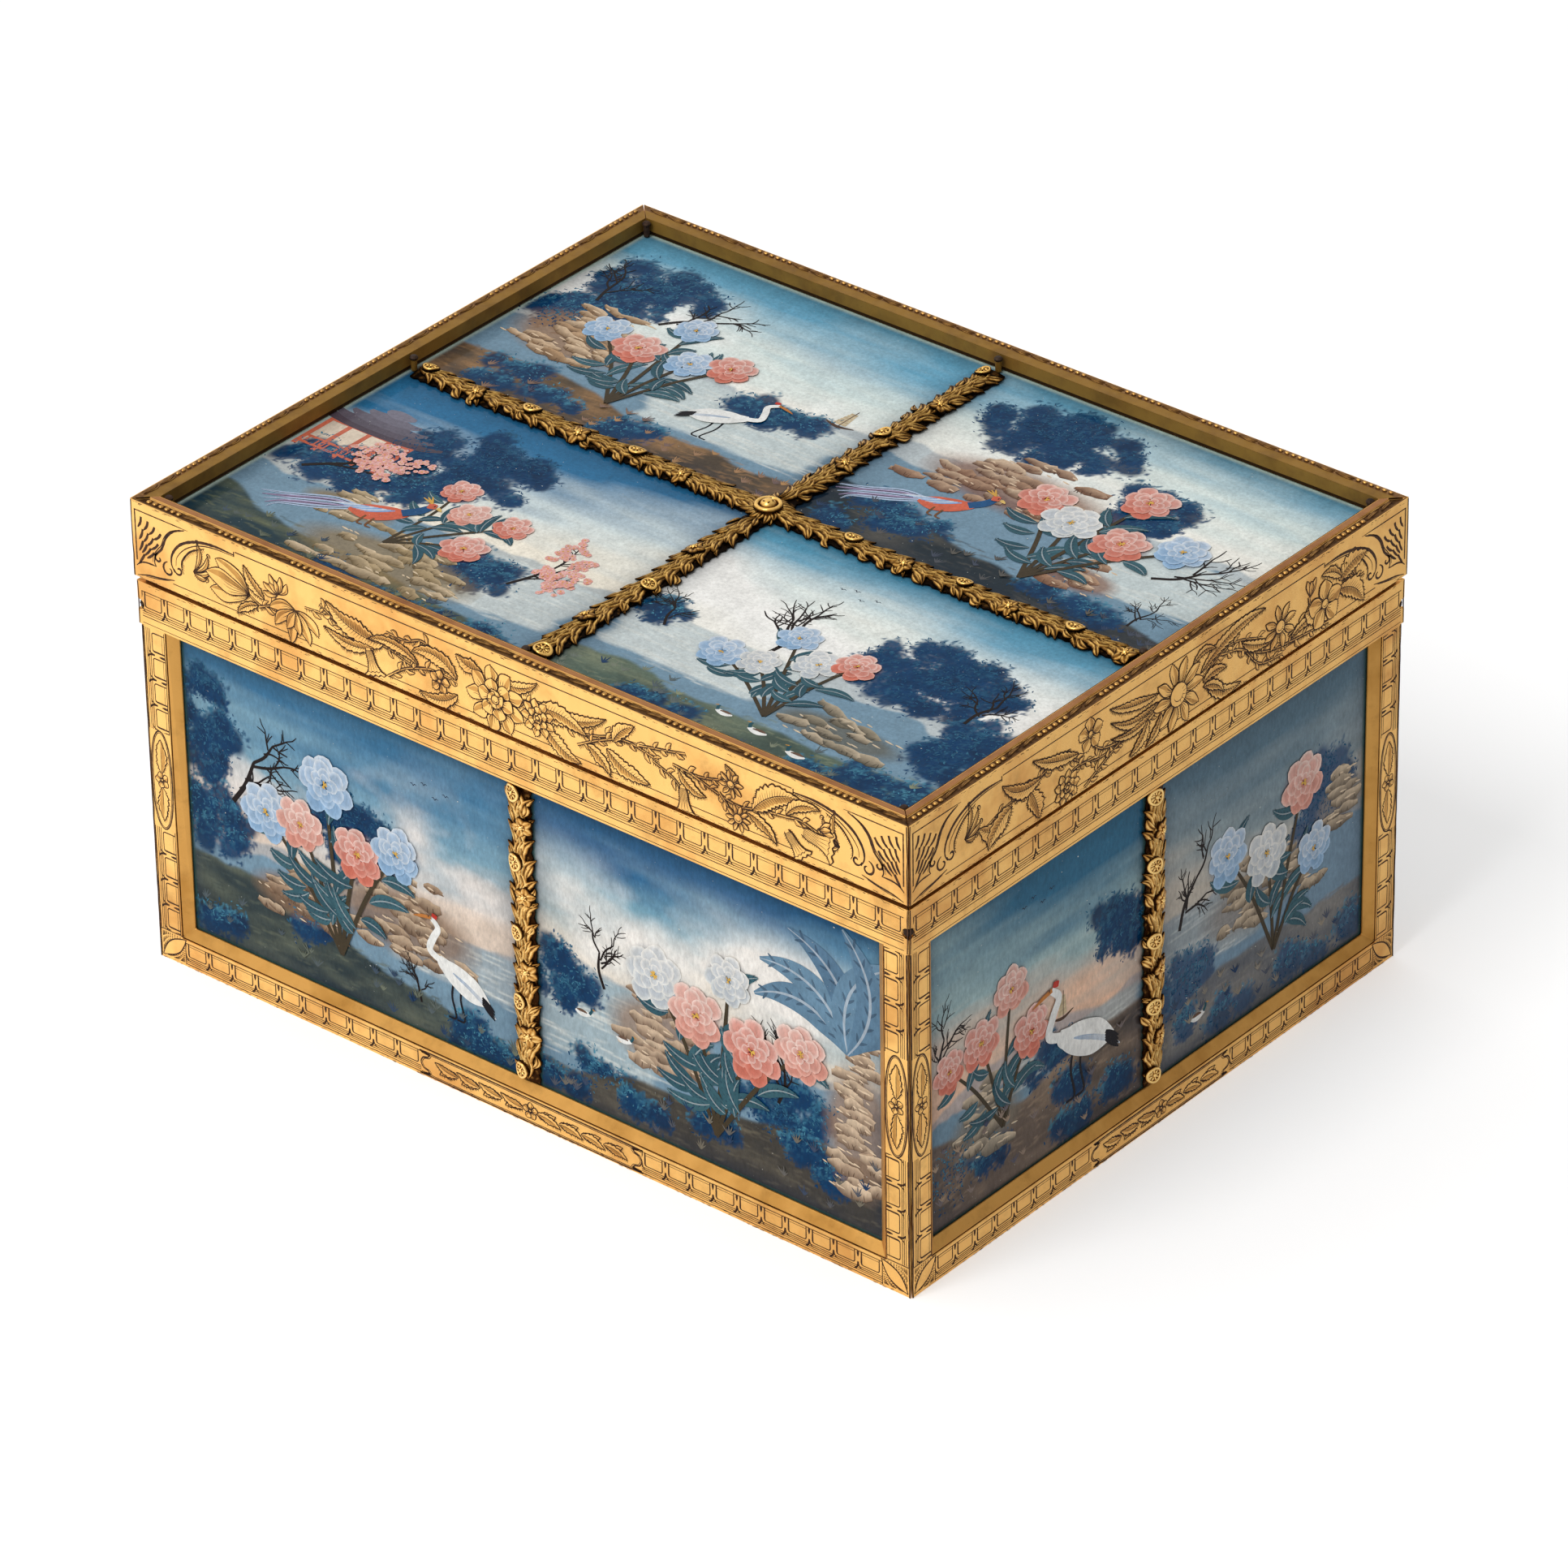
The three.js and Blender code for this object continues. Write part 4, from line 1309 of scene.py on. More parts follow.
def flute_cell(pitch: float, height: float) -> Draft:
    """One cell of the engraved flute border, with y down from the band's upper line to its lower one.

    Args:
        pitch: The cell's width.
        height: The band's height.
    """
    cutter = Engraver(3)
    tall = height / 6.9

    def cut(points: Sequence[Point], width: float, start: float = 0.6, end: float = 0.3) -> None:
        """Cuts a curve whose y runs down from the band's upper line."""
        cutter.ribbon(spline([(x, -y * tall) for x, y in points], 1.1), width, start, end)

    right = pitch - 0.95
    for y, width in ((0.0, 0.11), (4.95, 0.1), (5.55, 0.1), (6.15, 0.08), (6.9, 0.11)):
        cut([(0.0, y), (pitch, y)], width, 1.0, 1.0)
    cut([(1.1, 0.75), (right, 0.75)], 0.06, 1.0, 1.0)
    cut([(1.5, 4.22), (right - 0.5, 4.22)], 0.12, 1.0, 1.0)
    cut([(0.0, 0.1), (0.0, 1.0), (0.0, 1.9)], 0.32, 1.0, 0.3)
    cut([(1.05, 0.0), (1.05, 2.0), (1.05, 3.6), (1.2, 4.05), (1.6, 4.22)], 0.22, 1.0, 0.5)
    cut([(right - 0.5, 4.22), (right - 0.1, 4.0), (right, 3.6), (right, 2.0), (right, 0.0)], 0.16, 1.0, 1.0)
    cut([(0.05, 3.5), (0.0, 4.4), (-0.15, 5.1), (-0.6, 5.8), (-1.2, 6.1)], 0.28, 0.8, 0.25)
    cut([(0.2, 4.0), (0.4, 4.9), (0.9, 5.5), (1.5, 5.7)], 0.16, 0.6, 0.3)
    return cutter.draft


@dataclass
class Border:
    """The engraved borders of one side: flute rows, cartouches, corner lenses and the lid's flower band.

    Attributes:
        side: The side.
        finishes: The casket's materials.
        rows: The tree that repeats cells.
        seed: The seed of this side's small differences.
        band_top: From the top rail's upper edge to its band, in millimetres.
        band_height: The height of the top rail's band.
        foot_height: The height of the foot rail's band.
        stile_band: The width of the stiles' band.
        wide_cell: The pitch of the cells on the rails.
        tall_cell: The pitch of the cells on the stiles.
        corner: The length of the plain corner under the lens.
    """

    side: Side
    finishes: Finishes
    rows: RowTree
    seed: int
    band_top: float = 2.5
    band_height: float = 6.9
    foot_height: float = 6.0
    stile_band: float = 6.5
    wide_cell: float = 7.4
    tall_cell: float = 6.8
    corner: float = 8.6

    def row(
        self, target: Draft, start: Point, length: float, angle: float, height: float, cell: float
    ) -> None:
        """Lays a row of flute cells on a face.

        Args:
            target: The draft that takes the row.
            start: The row's start on its upper line.
            length: The row's length, which is filled with whole cells.
            angle: The direction of the row in degrees; its upper line is on the left.
            height: The band's height.
            cell: The wanted pitch.
        """
        count = max(1, round(length / cell))
        pitch = length / count
        row = self.rows.lay(flute_cell(pitch, height), self.finishes.cut, count, pitch, 0.05, self.seed)
        turn = Matrix.Translation((*start, 0.0)) @ Matrix.Rotation(math.radians(angle), 4, "Z")
        kept = [Vector((min(max(x, 0.0), length), y, z)) for x, y, z in row.points]
        target.add([turn @ point for point in kept], row.faces)

    def spray(self, cutter: Engraver, middle: Point, half: float, angle: float, width: float) -> None:
        """Cuts a cartouche's filling: leaves that run out both ways from a small flower.

        Args:
            cutter: The face's engraver.
            middle: The cartouche's centre.
            half: Half of the filling's length.
            angle: The direction of the cartouche.
            width: The width of the filling.
        """
        paired = half > 14
        for way in (0, 180):
            heading = angle + way
            count = max(1, round(half / 7.4))
            reach = (half - 2.0) / count
            for number in range(count - 1, -1, -1):
                root = polar(middle, heading, 2.0 + reach * number)
                for side in (1, -1) if paired else (0,):
                    tip = polar(
                        polar(root, heading, reach * (0.86 if side > 0 else 1.06)), heading + 90 * side,
                        width * 0.24 * abs(side)
                    )
                    _, spine, _ = cutter.blade(
                        root, tip, width * (0.4 if side else 0.58), -0.08 * side, 6, 0.9, 0.4, 0.18
                    )
                    cutter.ribbon(spine[1 : int(len(spine) * 0.8)], 0.1, 1.0, 0.2)
        cutter.flower(Bloom.FIVE, middle, width * 0.5, angle + 90)

    def wear(self, cutter: Engraver, face: NodeFace, edges: Sequence[float]) -> None:
        """Adds the dark worn line on both upright corners, and along level edges dark flecks that are tarnish
        and painted shade at the joint of lid and base and along the foot.

        Args:
            cutter: The face's engraver.
            face: The face.
            edges: The heights of the level edges.
        """
        for x in (0.3, face.width - 0.3):
            count = max(3, int(face.height / 3))
            route = [
                (x + cutter.rng.uniform(-0.12, 0.12), face.height * number / count)
                for number in range(count + 1)
            ]
            cutter.ribbon(route, 0.2, 1.0, 1.0)
        # Dark flecks along the level edges: tarnish, and painted shade where the lid meets the base and the
        # foot meets the floor.
        for edge in edges:
            inward = 1 if edge < face.height / 2 else -1
            for _ in range(int(face.width * 0.9)):
                x = cutter.rng.uniform(0.6, face.width - 2.4)
                y = edge + inward * (0.12 + abs(cutter.rng.gauss(0.0, 0.34)))
                cutter.ribbon(
                    [(x, y), (x + cutter.rng.uniform(0.2, 1.3), y)], cutter.rng.uniform(0.04, 0.12), 0.5,
                    0.5
                )

    def top_rail(self) -> None:
        """Cuts the flute band of the base's top rail."""
        name = f"{self.side.label}_top_rail"
        face = side_face(name, self.side)
        cutter = Engraver(self.seed)
        inset = 1.4
        upper = face.height - self.band_top
        self.row(cutter.draft, (inset, upper), face.width - 2 * inset, 0.0, self.band_height, self.wide_cell)
        cutter.ribbon([(inset, 0.7), (face.width - inset, 0.7)], 0.08, 1.0, 1.0)
        self.wear(cutter, face, (face.height,))
        self.lay(cutter, face, f"{name}_flutes", "base")

    def lay(self, cutter: Engraver, face: NodeFace, name: str, body: str) -> None:
        """Brings cuts that run past the face's edges back onto it, and makes them a piece."""
        cutter.draft.points = [
            (held(x, face.width), held(y, face.height), z) for x, y, z in cutter.draft.points
        ]
        metals = (self.finishes.cut, self.finishes.sheet, self.finishes.tone)
        seat(cutter.draft.build(name, face.plane.matrix(), *metals), body, "engraved_gilt")

    def frame(self) -> None:
        """Cuts the stiles' and foot rail's flutes, their cartouches and the corner lenses."""
        name = f"{self.side.label}_frame"
        face = side_face(name, self.side)
        cutter = Engraver(self.seed + 1)
        self.foot(cutter, face)
        self.wear(cutter, face, (0.0,))
        for mirror in (False, True):
            self.stile(cutter, face, mirror)
            self.lens(cutter, face, mirror)
        self.lay(cutter, face, f"{name}_engraving", "base")

    def foot(self, cutter: Engraver, face: NodeFace) -> None:
        """Cuts the foot rail: flutes with a long cartouche in the middle."""
        upper = 0.9 + self.foot_height
        length = 70.0 if face.width > 200 else 54.0
        middle = (face.width / 2 + (1.9 if face.width > 200 else 0.6), 0.9 + self.foot_height / 2)
        half = length / 2
        for start, end in ((self.corner, middle[0] - half), (middle[0] + half, face.width - self.corner)):
            self.row(cutter.draft, (start, upper), end - start, 0.0, self.foot_height, self.wide_cell)
        deep = self.foot_height / 2 + 0.3
        end_shape = (
            (-half, 0), (-half + 0.8, 1.5), (-half + 2.2, 1.9), (-half + 3.0, 2.8), (-half + 4.6, deep)
        )
        upper_edge = [*end_shape, *((-x, y) for x, y in reversed(end_shape))]
        outline = [*upper_edge, *((x, -y) for x, y in reversed(upper_edge[1:-1]))]
        cutter.plate([(middle[0] + x, middle[1] + y) for x, y in outline])
        self.spray(cutter, middle, half - 5.0, 0.0, self.foot_height)

    def stile(self, cutter: Engraver, face: NodeFace, mirror: bool) -> None:
        """Cuts one stile: flutes with their round ends outwards and an oval cartouche in the middle."""
        oval_low, oval_high = face.height - 57.0, face.height - 29.0
        spans = ((self.corner, oval_low), (oval_high, face.height - 0.4))
        near = 0.7 + self.stile_band if not mirror else face.width - 0.7 - self.stile_band
        for low, high in spans:
            if mirror:
                self.row(cutter.draft, (near, high), high - low, -90.0, -self.stile_band, self.tall_cell)
            else:
                self.row(cutter.draft, (near, low), high - low, 90.0, -self.stile_band, self.tall_cell)
        middle = (near + (self.stile_band if mirror else -self.stile_band) / 2, (oval_low + oval_high) / 2)
        half, wide = (oval_high - oval_low) / 2, self.stile_band / 2
        outline = []
        for number in range(28):
            angle = math.tau * number / 28
            squared = abs(math.cos(angle)) ** 0.75 * (1 if math.cos(angle) > 0 else -1)
            outline.append((middle[0] + wide * math.sin(angle), middle[1] + half * squared))
        cutter.plate(outline)
        self.spray(cutter, middle, half - 3.0, 90.0, self.stile_band * 0.9)

    def lens(self, cutter: Engraver, face: NodeFace, mirror: bool) -> None:
        """Cuts the pointed lens on a lower corner and the hatching round it."""
        def spot(x: float, y: float) -> Point:
            """A point measured from the near corner."""
            return (face.width - x, y) if mirror else (x, y)

        reach = self.corner - 0.6
        start, bulge, slope = 0.9, 1.33, 0.86
        upper, lower = [], []
        for number in range(13):
            share = number / 12
            swell = bulge * math.sin(math.pi * share)
            x, y = start + reach * share, start + reach * share * slope
            upper.append(spot(x - swell, y + swell))
            lower.append(spot(x + swell, y - swell))
        for number in range(1, 12):
            for edge, target in ((upper, spot(0.7, 8.0)), (lower, spot(8.4, 0.7))):
                end = (edge[number][0], target[1]) if edge is upper else (target[0], edge[number][1])
                for share in (0.0, 0.34, 0.67):
                    first = mix(edge[number], end, share + 0.06)
                    second = mix(edge[number], end, min(1.0, share + 0.3))
                    cutter.ribbon([first, second], 0.11, 1.0, 0.4)
        cutter.cover(upper + lower[::-1])
        for edge in (upper, lower):
            cutter.ribbon(edge, 0.2, 0.6, 0.6)
        cutter.ribbon([spot(0.6, 8.4), spot(8.2, 8.4)], 0.12, 1.0, 1.0)
        cutter.ribbon([spot(8.6, 0.6), spot(8.6, 7.4)], 0.12, 1.0, 1.0)

    def lid_band(self) -> None:
        """Cuts the lid rail: the thin lines, the shell corners and the flower scroll."""
        name = f"lid_rail_{self.side.label}"
        face = side_face(name, self.side)
        cutter = Engraver(self.seed + 2)
        top = face.height
        cutter.ribbon([(34.0, top - 2.7), (face.width - 34.0, top - 2.7)], 0.16, 1.0, 1.0)
        cutter.ribbon([(13.0, 2.2), (face.width - 13.0, 2.2)], 0.13, 1.0, 1.0)
        self.wear(cutter, face, (0.0, face.height))
        for mirror in (False, True):
            self.shell(cutter, face, mirror)
        if self.side in (Side.FRONT, Side.BACK):
            self.long_scroll(cutter, top, face.width if self.side is Side.BACK else 0.0)
        else:
            self.short_scroll(cutter, top, face.width if self.side is Side.LEFT else 0.0)
        self.lay(cutter, face, f"{name}_flowers", "lid")

    def shell(self, cutter: Engraver, face: NodeFace, mirror: bool) -> None:
        """Cuts the rocaille at one end of the lid rail: a fan of dashes inside S- and C-scrolls."""
        top = face.height

        def spot(x: float, depth: float) -> Point:
            """A point measured from the near end and down from the upper edge."""
            return (face.width - x if mirror else x, top - depth)

        def cut(points: Sequence[Point], width: float, start: float = 0.4, end: float = 0.4) -> None:
            """Cuts a curve through points measured in the same way."""
            cutter.line([spot(x, depth) for x, depth in points], width, start, end)

        cut([(1.2, 2.4), (10.0, 2.4), (18.8, 2.4)], 0.16, 1.0, 0.3)
        cut([(1.4, 2.4), (1.4, 9.0), (1.4, 16.4)], 0.2, 1.0, 1.0)
        cut(
            [
                (17.6, 2.7), (14.0, 4.2), (11.6, 6.6), (10.4, 9.2), (9.6, 10.8), (7.8, 12.8), (7.2, 15.0),
                (7.6, 16.0)
            ],
            0.36
        )
        cut([(16.2, 2.9), (12.8, 4.7), (10.8, 7.0), (9.7, 9.6), (8.6, 10.9), (7.0, 13.2), (6.6, 15.2)], 0.14)
        cut([(7.8, 16.1), (4.6, 16.2), (2.6, 16.8), (1.2, 18.0)], 0.24)
        cut([(13.6, 17.9), (9.4, 18.9), (5.0, 19.6), (1.4, 20.6)], 0.24)
        cut([(12.0, 18.6), (8.0, 19.5), (4.0, 20.2)], 0.1)
        cut(
            [(33.6, 3.6), (27.0, 3.5), (21.0, 4.6), (16.2, 7.0), (13.4, 10.4), (12.8, 13.4), (13.8, 15.6)],
            0.4
        )
        cut([(33.6, 4.0), (27.0, 4.2), (21.8, 5.4), (17.6, 7.8), (14.8, 11.0), (14.3, 13.6)], 0.15)
        cut([(24.0, 5.4), (19.4, 7.8), (16.6, 11.2), (16.2, 13.6), (16.8, 15.0)], 0.26)
        cut([(33.6, 2.7), (33.6, 4.1)], 0.16, 1.0, 1.0)
        turn = -1 if mirror else 1
        for x, depth, radius, start in ((15.1, 14.6, 1.5, 180), (11.9, 15.6, 2.2, 100), (8.6, 13.6, 1.4, 90)):
            begin = 180 - start if mirror else start
            cutter.scroll(spot(x, depth), radius, begin, 330 * turn, 0.3)
        edge = spline([spot(x, depth) for x, depth in ((24.0, 5.4), (19.4, 7.8), (16.6, 11.2), (16.2, 13.6))])
        cutter.fringe(edge, 0.6, -1 if mirror else 1)
        heart = (0.6, 20.0)
        for ring, reach in enumerate((3.4, 6.6, 9.8, 13.0)):
            for number in range(9):
                angle = 87 - 8.0 * number - 4.0 * (ring % 2)
                rim = min(reach + 3.4, 17.2)
                spots = [
                    polar(heart, -angle, reach), polar(heart, 3 - angle, (reach + rim) / 2),
                    polar(heart, 3 - angle, rim)
                ]
                inside = all(
                    2.7 < y < 17.0 and 1.8 < x < 9.0 + (10.0 - y) * (0.85 if y < 10 else 0.45)
                    for x, y in spots
                )
                if inside:
                    cut(spots, 0.36, 0.3, 1.0)
        root = spot(20.0, 13.0)
        cutter.frond(root, 140.0 if mirror else 40.0, 8.6, -turn)

    def long_scroll(self, cutter: Engraver, top: float, width: float) -> None:
        """Cuts the flowers of a long rail; a width above zero turns the drawing end for end."""
        def at(x: float, depth: float) -> Point:
            """A point measured along the rail and down from its upper edge."""
            return (width - x if width else x, top - depth)

        def way(angle: float) -> float:
            """An angle, turned over where the drawing is."""
            return 180 - angle if width else angle

        hand = -1 if width else 1
        for route in (
            ((38, 12.8), (42, 14.6), (46, 13.0), (52, 11.4)), ((41, 15.2), (45, 13.4), (49, 11.8)),
            ((56, 9.8), (64, 9.6), (72, 12.6), (81, 11.2), (90, 13.2), (96, 12.2), (104, 12.6)),
            ((72, 12.6), (66, 10.0), (61, 7.0)), ((82, 19.0), (88, 14.8), (96, 12.0)),
            ((100, 11.6), (97, 7.0), (93, 5.4), (88, 7.2), (82, 7.0)),
            ((122, 12.4), (130, 8.6), (140, 12.0), (147, 11.0), (152, 9.4), (160, 8.6)),
            ((141, 15.6), (148, 11.8), (156, 9.0), (166, 10.6)), ((160, 8.6), (168, 7.0), (174, 5.6)),
            ((164, 11.2), (170, 13.4), (173, 16.0)), ((170, 9.8), (178, 10.2), (186, 8.2)),
            ((176, 10.4), (184, 12.6), (190, 13.6), (197, 12.0), (204, 11.0)),
            ((184, 12.0), (187, 15.4), (188, 18.8)),
            ((204, 11.0), (208, 10.4), (213, 11.6)),
        ):
            cutter.stem([at(x, depth) for x, depth in route])
        for base, tip, wide, bend in (
            ((43, 12.4), (36.6, 5.2), 2.6, 0.1), ((41, 15.0), (34, 19.4), 2.0, -0.1),
            ((81, 10.8), (63, 5.4), 4.8, 0.12),
            ((78, 13.0), (62, 12.6), 2.6, 0.12), ((92, 12.4), (76, 11.0), 2.4, -0.14),
            ((104, 12.0), (90, 9.2), 3.6, -0.2),
            ((104, 16.0), (92, 19.4), 3.2, 0.16), ((112, 6.6), (104, 4.8), 3.4, 0.14),
            ((116, 6.4), (129, 3.6), 2.6, -0.16),
            ((124, 9.8), (150, 5.4), 3.4, -0.1), ((128, 10.4), (144, 12.4), 3.8, 0.12),
            ((131, 13.6), (142, 20.4), 3.6, -0.12),
            ((144, 14.4), (151, 20.2), 2.8, 0.1), ((150, 13.2), (163, 18.0), 3.6, -0.1),
            ((152, 10.6), (158.6, 4.2), 3.0, 0.1),
            ((172, 10.4), (180, 15.0), 2.6, -0.14), ((194, 13.0), (208, 4.8), 4.6, 0.12),
            ((192, 14.2), (201, 19.6), 2.6, 0.12),
            ((204, 10.4), (214, 5.6), 2.6, 0.16), ((190, 8.6), (186, 3.8), 1.8, 0.0),
        ):
            cutter.leaf(
                at(*base), at(*tip), wide * 1.22, bend * hand, max(4, round(math.dist(base, tip) / 1.7))
            )
        for kind, centre, size, turn in (
            (Bloom.TULIP, (38.4, 13.0), 13.0, 170), (Bloom.LILY, (53, 11.8), 9.6, -100),
            (Bloom.LILY, (47.6, 9.4), 5.4, 120),
            (Bloom.BELL, (76, 13.6), 6.4, -72), (Bloom.FIVE, (98.5, 14.4), 3.6, 80),
            (Bloom.ROSE, (116, 12.8), 8.4, 20), (Bloom.ROSE, (129, 13.0), 4.8, 60),
            (Bloom.BELL, (173, 14.6), 6.8, -84),
            (Bloom.STAR, (187.6, 8.6), 4.0, 10), (Bloom.DAISY, (189.6, 17.0), 3.8, 0),
            (Bloom.BELL, (208.6, 13.0), 8.4, -8),
            (Bloom.BELL, (204, 14.6), 6.6, -48), (Bloom.BUD, (213.6, 10.8), 4.2, 20),
        ):
            cutter.flower(kind, at(*centre), size * 1.1, way(turn))

    def short_scroll(self, cutter: Engraver, top: float, width: float) -> None:
        """Cuts the flowers of a short rail; a width above zero turns the drawing end for end."""
        def at(x: float, depth: float) -> Point:
            """A point measured along the rail and down from its upper edge."""
            return (width - x if width else x, top - depth)

        def way(angle: float) -> float:
            """An angle, turned over where the drawing is."""
            return 180 - angle if width else angle

        hand = -1 if width else 1
        for route in (
            ((28, 13.6), (34, 11.8), (42, 10.8), (50, 9.6), (58, 10.0), (66, 14.6), (76, 15.0), (90, 12.4)),
            ((38, 12.2), (44, 10.6), (52, 8.6)), ((58, 15.0), (61, 13.6), (68, 14.2)),
            ((67, 10.4), (71, 13.2), (78, 14.6)),
            ((64, 20.4), (74, 16.0), (84, 12.8), (96, 12.6)),
            ((108, 12.4), (116, 9.0), (122, 8.4), (132, 12.0)),
            ((116, 9.2), (124, 11.6), (131, 18.6), (140, 20.2)),
            ((122, 10.6), (134, 16.6), (150, 19.0), (158, 19.6)),
            ((142, 16.2), (148, 14.6), (154, 13.4)), ((150, 9.4), (151, 12.4), (154, 14.0)),
            ((160, 12.4), (166, 13.0), (172, 12.6)),
        ):
            cutter.stem([at(x, depth) for x, depth in route])
        for base, tip, wide, bend in (
            ((37, 11.6), (25.0, 12.8), 5.0, 0.3), ((37, 12.6), (28.6, 20.0), 4.4, -0.1),
            ((44, 11.6), (47.4, 20.6), 4.2, 0.06),
            ((48, 10.0), (33.8, 5.6), 3.2, 0.16), ((62, 10.2), (45, 4.4), 2.8, 0.06),
            ((92, 8.4), (73.6, 4.0), 2.4, 0.06),
            ((92, 10.6), (74, 8.0), 2.2, 0.14), ((92, 11.6), (74, 12.4), 2.0, 0.12),
            ((88, 13.4), (81, 20.2), 2.6, 0.16),
            ((93, 14.0), (87, 20.6), 2.2, 0.14), ((108, 10.6), (133, 4.4), 3.0, 0.1),
            ((110, 12.2), (123.6, 20.0), 3.2, -0.18),
            ((109, 13.6), (118.0, 13.4), 2.4, 0.14), ((109, 14.8), (117.0, 19.6), 2.2, 0.14),
            ((105, 7.0), (114.0, 6.4), 1.8, 0.2),
            ((124, 9.8), (136, 14.6), 2.4, -0.06), ((143, 17.4), (157, 16.4), 2.2, 0.12),
            ((162, 10.4), (173.0, 7.0), 4.6, 0.12),
            ((162, 12.6), (172.0, 20.2), 4.4, 0.14), ((163, 9.6), (155.0, 5.8), 2.4, -0.12),
            ((155, 15.4), (148.6, 13.0), 3.6, 0.12),
        ):
            cutter.leaf(
                at(*base), at(*tip), wide * 1.22, bend * hand, max(4, round(math.dist(base, tip) / 1.7))
            )
        for kind, centre, size, turn in (
            (Bloom.ROSE, (57.6, 17.4), 4.4, 0), (Bloom.FIVE, (66.4, 7.2), 5.2, 90),
            (Bloom.DAISY, (99.5, 12.2), 9.6, 0),
            (Bloom.STAR, (138.8, 12.2), 6.6, 12), (Bloom.BUD, (150.6, 9.6), 4.6, 84),
            (Bloom.FIVE, (156.4, 14.0), 7.4, 20),
        ):
            cutter.flower(kind, at(*centre), size * 1.1, way(turn))


class Pose(Enum):
    """The painted birds."""

    HERON = "heron"
    PHEASANT = "pheasant"
    DUCK = "duck"


class Canvas:
    """A picture painted in strokes on a fine raster, with crisp ink strokes laid over it.

    Attributes:
        width: The picture's width in millimetres.
        height: Its height.
        colours: The raster, rows from the bottom up.
        ink: The crisp strokes.
    """

    STEP = 0.5
    FIRST_LIFT = 0.02
    RISE = 0.001
    CELL = 1.5

    def __init__(self, width: float, height: float, seed: int) -> None:
        """Starts a blank picture.

        Args:
            width: The picture's width in millimetres.
            height: Its height.
            seed: The seed of its brushwork.
        """
        self.width, self.height = width, height
        self.x, self.y = np.meshgrid(
            np.linspace(0, width, round(width / self.STEP) + 1),
            np.linspace(0, height, round(height / self.STEP) + 1)
        )
        self.colours = np.ones((*self.x.shape, 3))
        self.rng = random.Random(seed)
        self.field = np.random.default_rng(seed)
        self.ink = Draft()
        self.levels = np.zeros((int(height / self.CELL) + 2, int(width / self.CELL) + 2), int)

    def cloud(self, size: float, octaves: int = 4, stretch: float = 1.0) -> np.ndarray:
        """Smooth noise from 0 to 1 over the whole picture.

        Args:
            size: The size of its largest patches in millimetres.
            octaves: How many finer layers it has.
            stretch: How much longer the patches are across than up.
        """
        total = np.zeros(self.x.shape)
        weights = 0.0
        for octave in range(octaves):
            cell, weight = size / 2 ** octave, 0.5 ** octave
            u, v = self.x / (cell * stretch), self.y / cell
            lattice = self.field.random((int(v.max()) + 2, int(u.max()) + 2))
            column, row = u.astype(int), v.astype(int)
            s, t = u - column, v - row
            s, t = s * s * (3 - 2 * s), t * t * (3 - 2 * t)
            low = lattice[row, column] * (1 - s) + lattice[row, column + 1] * s
            high = lattice[row + 1, column] * (1 - s) + lattice[row + 1, column + 1] * s
            total += weight * (low * (1 - t) + high * t)
            weights += weight
        return total / weights

    def wash(self, colour: Colour, mask: np.ndarray) -> None:
        """Blends a colour in by a mask from 0 to 1."""
        share = np.clip(mask, 0, 1)[..., None]
        self.colours = self.colours * (1 - share) + np.array(colour) * share

    def dab(
        self, spot: Point, length: float, width: float, angle: float, colour: Colour, strength: float = 0.8
    ) -> None:
        """Lays one soft brush mark.

        Args:
            spot: Its middle in millimetres.
            length: Its length.
            width: Its width.
            angle: Its direction in degrees.
            colour: Its colour.
            strength: How opaque it is.
        """
        reach = max(length, width) / 2 + self.STEP
        rows, columns = self.x.shape
        left = max(0, int((spot[0] - reach) / self.STEP))
        right = min(columns, int((spot[0] + reach) / self.STEP) + 2)
        low = max(0, int((spot[1] - reach) / self.STEP))
        high = min(rows, int((spot[1] + reach) / self.STEP) + 2)
        if left >= right or low >= high:
            return
        turn = math.radians(angle)
        dx, dy = self.x[low:high, left:right] - spot[0], self.y[low:high, left:right] - spot[1]
        along = (dx * math.cos(turn) + dy * math.sin(turn)) / (length / 2)
        aside = (dy * math.cos(turn) - dx * math.sin(turn)) / (width / 2)
        share = np.clip((1.12 - np.hypot(along, aside)) * 2.4, 0, 1)[..., None] * strength
        patch = self.colours[low:high, left:right]
        self.colours[low:high, left:right] = patch * (1 - share) + np.array(colour) * share

    def stroke(
        self, points: Sequence[Point], width: float, colour: Colour, start: float = 0.4, end: float = 0.15
    ) -> None:
        """Lays a crisp tapered stroke over the picture, kept inside it."""
        path = spline(points, 0.7)
        lift = self.level(path, width)
        edge = []
        last = max(1, len(path) - 1)
        for index, (point, normal) in enumerate(zip(path, normals(path))):
            share = index / last
            grow = start + (1 - start) * math.sin(math.pi / 2 * min(1.0, share * 2.6))
            fade = end + (1 - end) * math.sin(math.pi / 2 * min(1.0, (1 - share) * 1.8))
            half = width / 2 * min(grow, fade)
            for side in (-1, 1):
                x = min(max(point[0] + normal[0] * half * side, 0.0), self.width)
                y = min(max(point[1] + normal[1] * half * side, 0.0), self.height)
                edge.append((x, y, lift))
        faces = [(2 * i, 2 * i + 2, 2 * i + 3, 2 * i + 1) for i in range(len(path) - 1)]
        self.ink.add(edge, faces, [colour] * len(edge))

    def level(self, path: Sequence[Point], width: float) -> float:
        """The height of a new stroke, over every stroke that it may cross."""
        spans = []
        for axis, count in ((1, self.levels.shape[0]), (0, self.levels.shape[1])):
            low = min(point[axis] for point in path) - width / 2
            high = max(point[axis] for point in path) + width / 2
            spans.append(
                slice(
                    min(count - 1, max(0, int(low / self.CELL))),
                    min(count, max(0, int(high / self.CELL)) + 1)
                )
            )
        top = int(self.levels[tuple(spans)].max()) + 1
        self.levels[tuple(spans)] = top
        return self.FIRST_LIFT + self.RISE * top

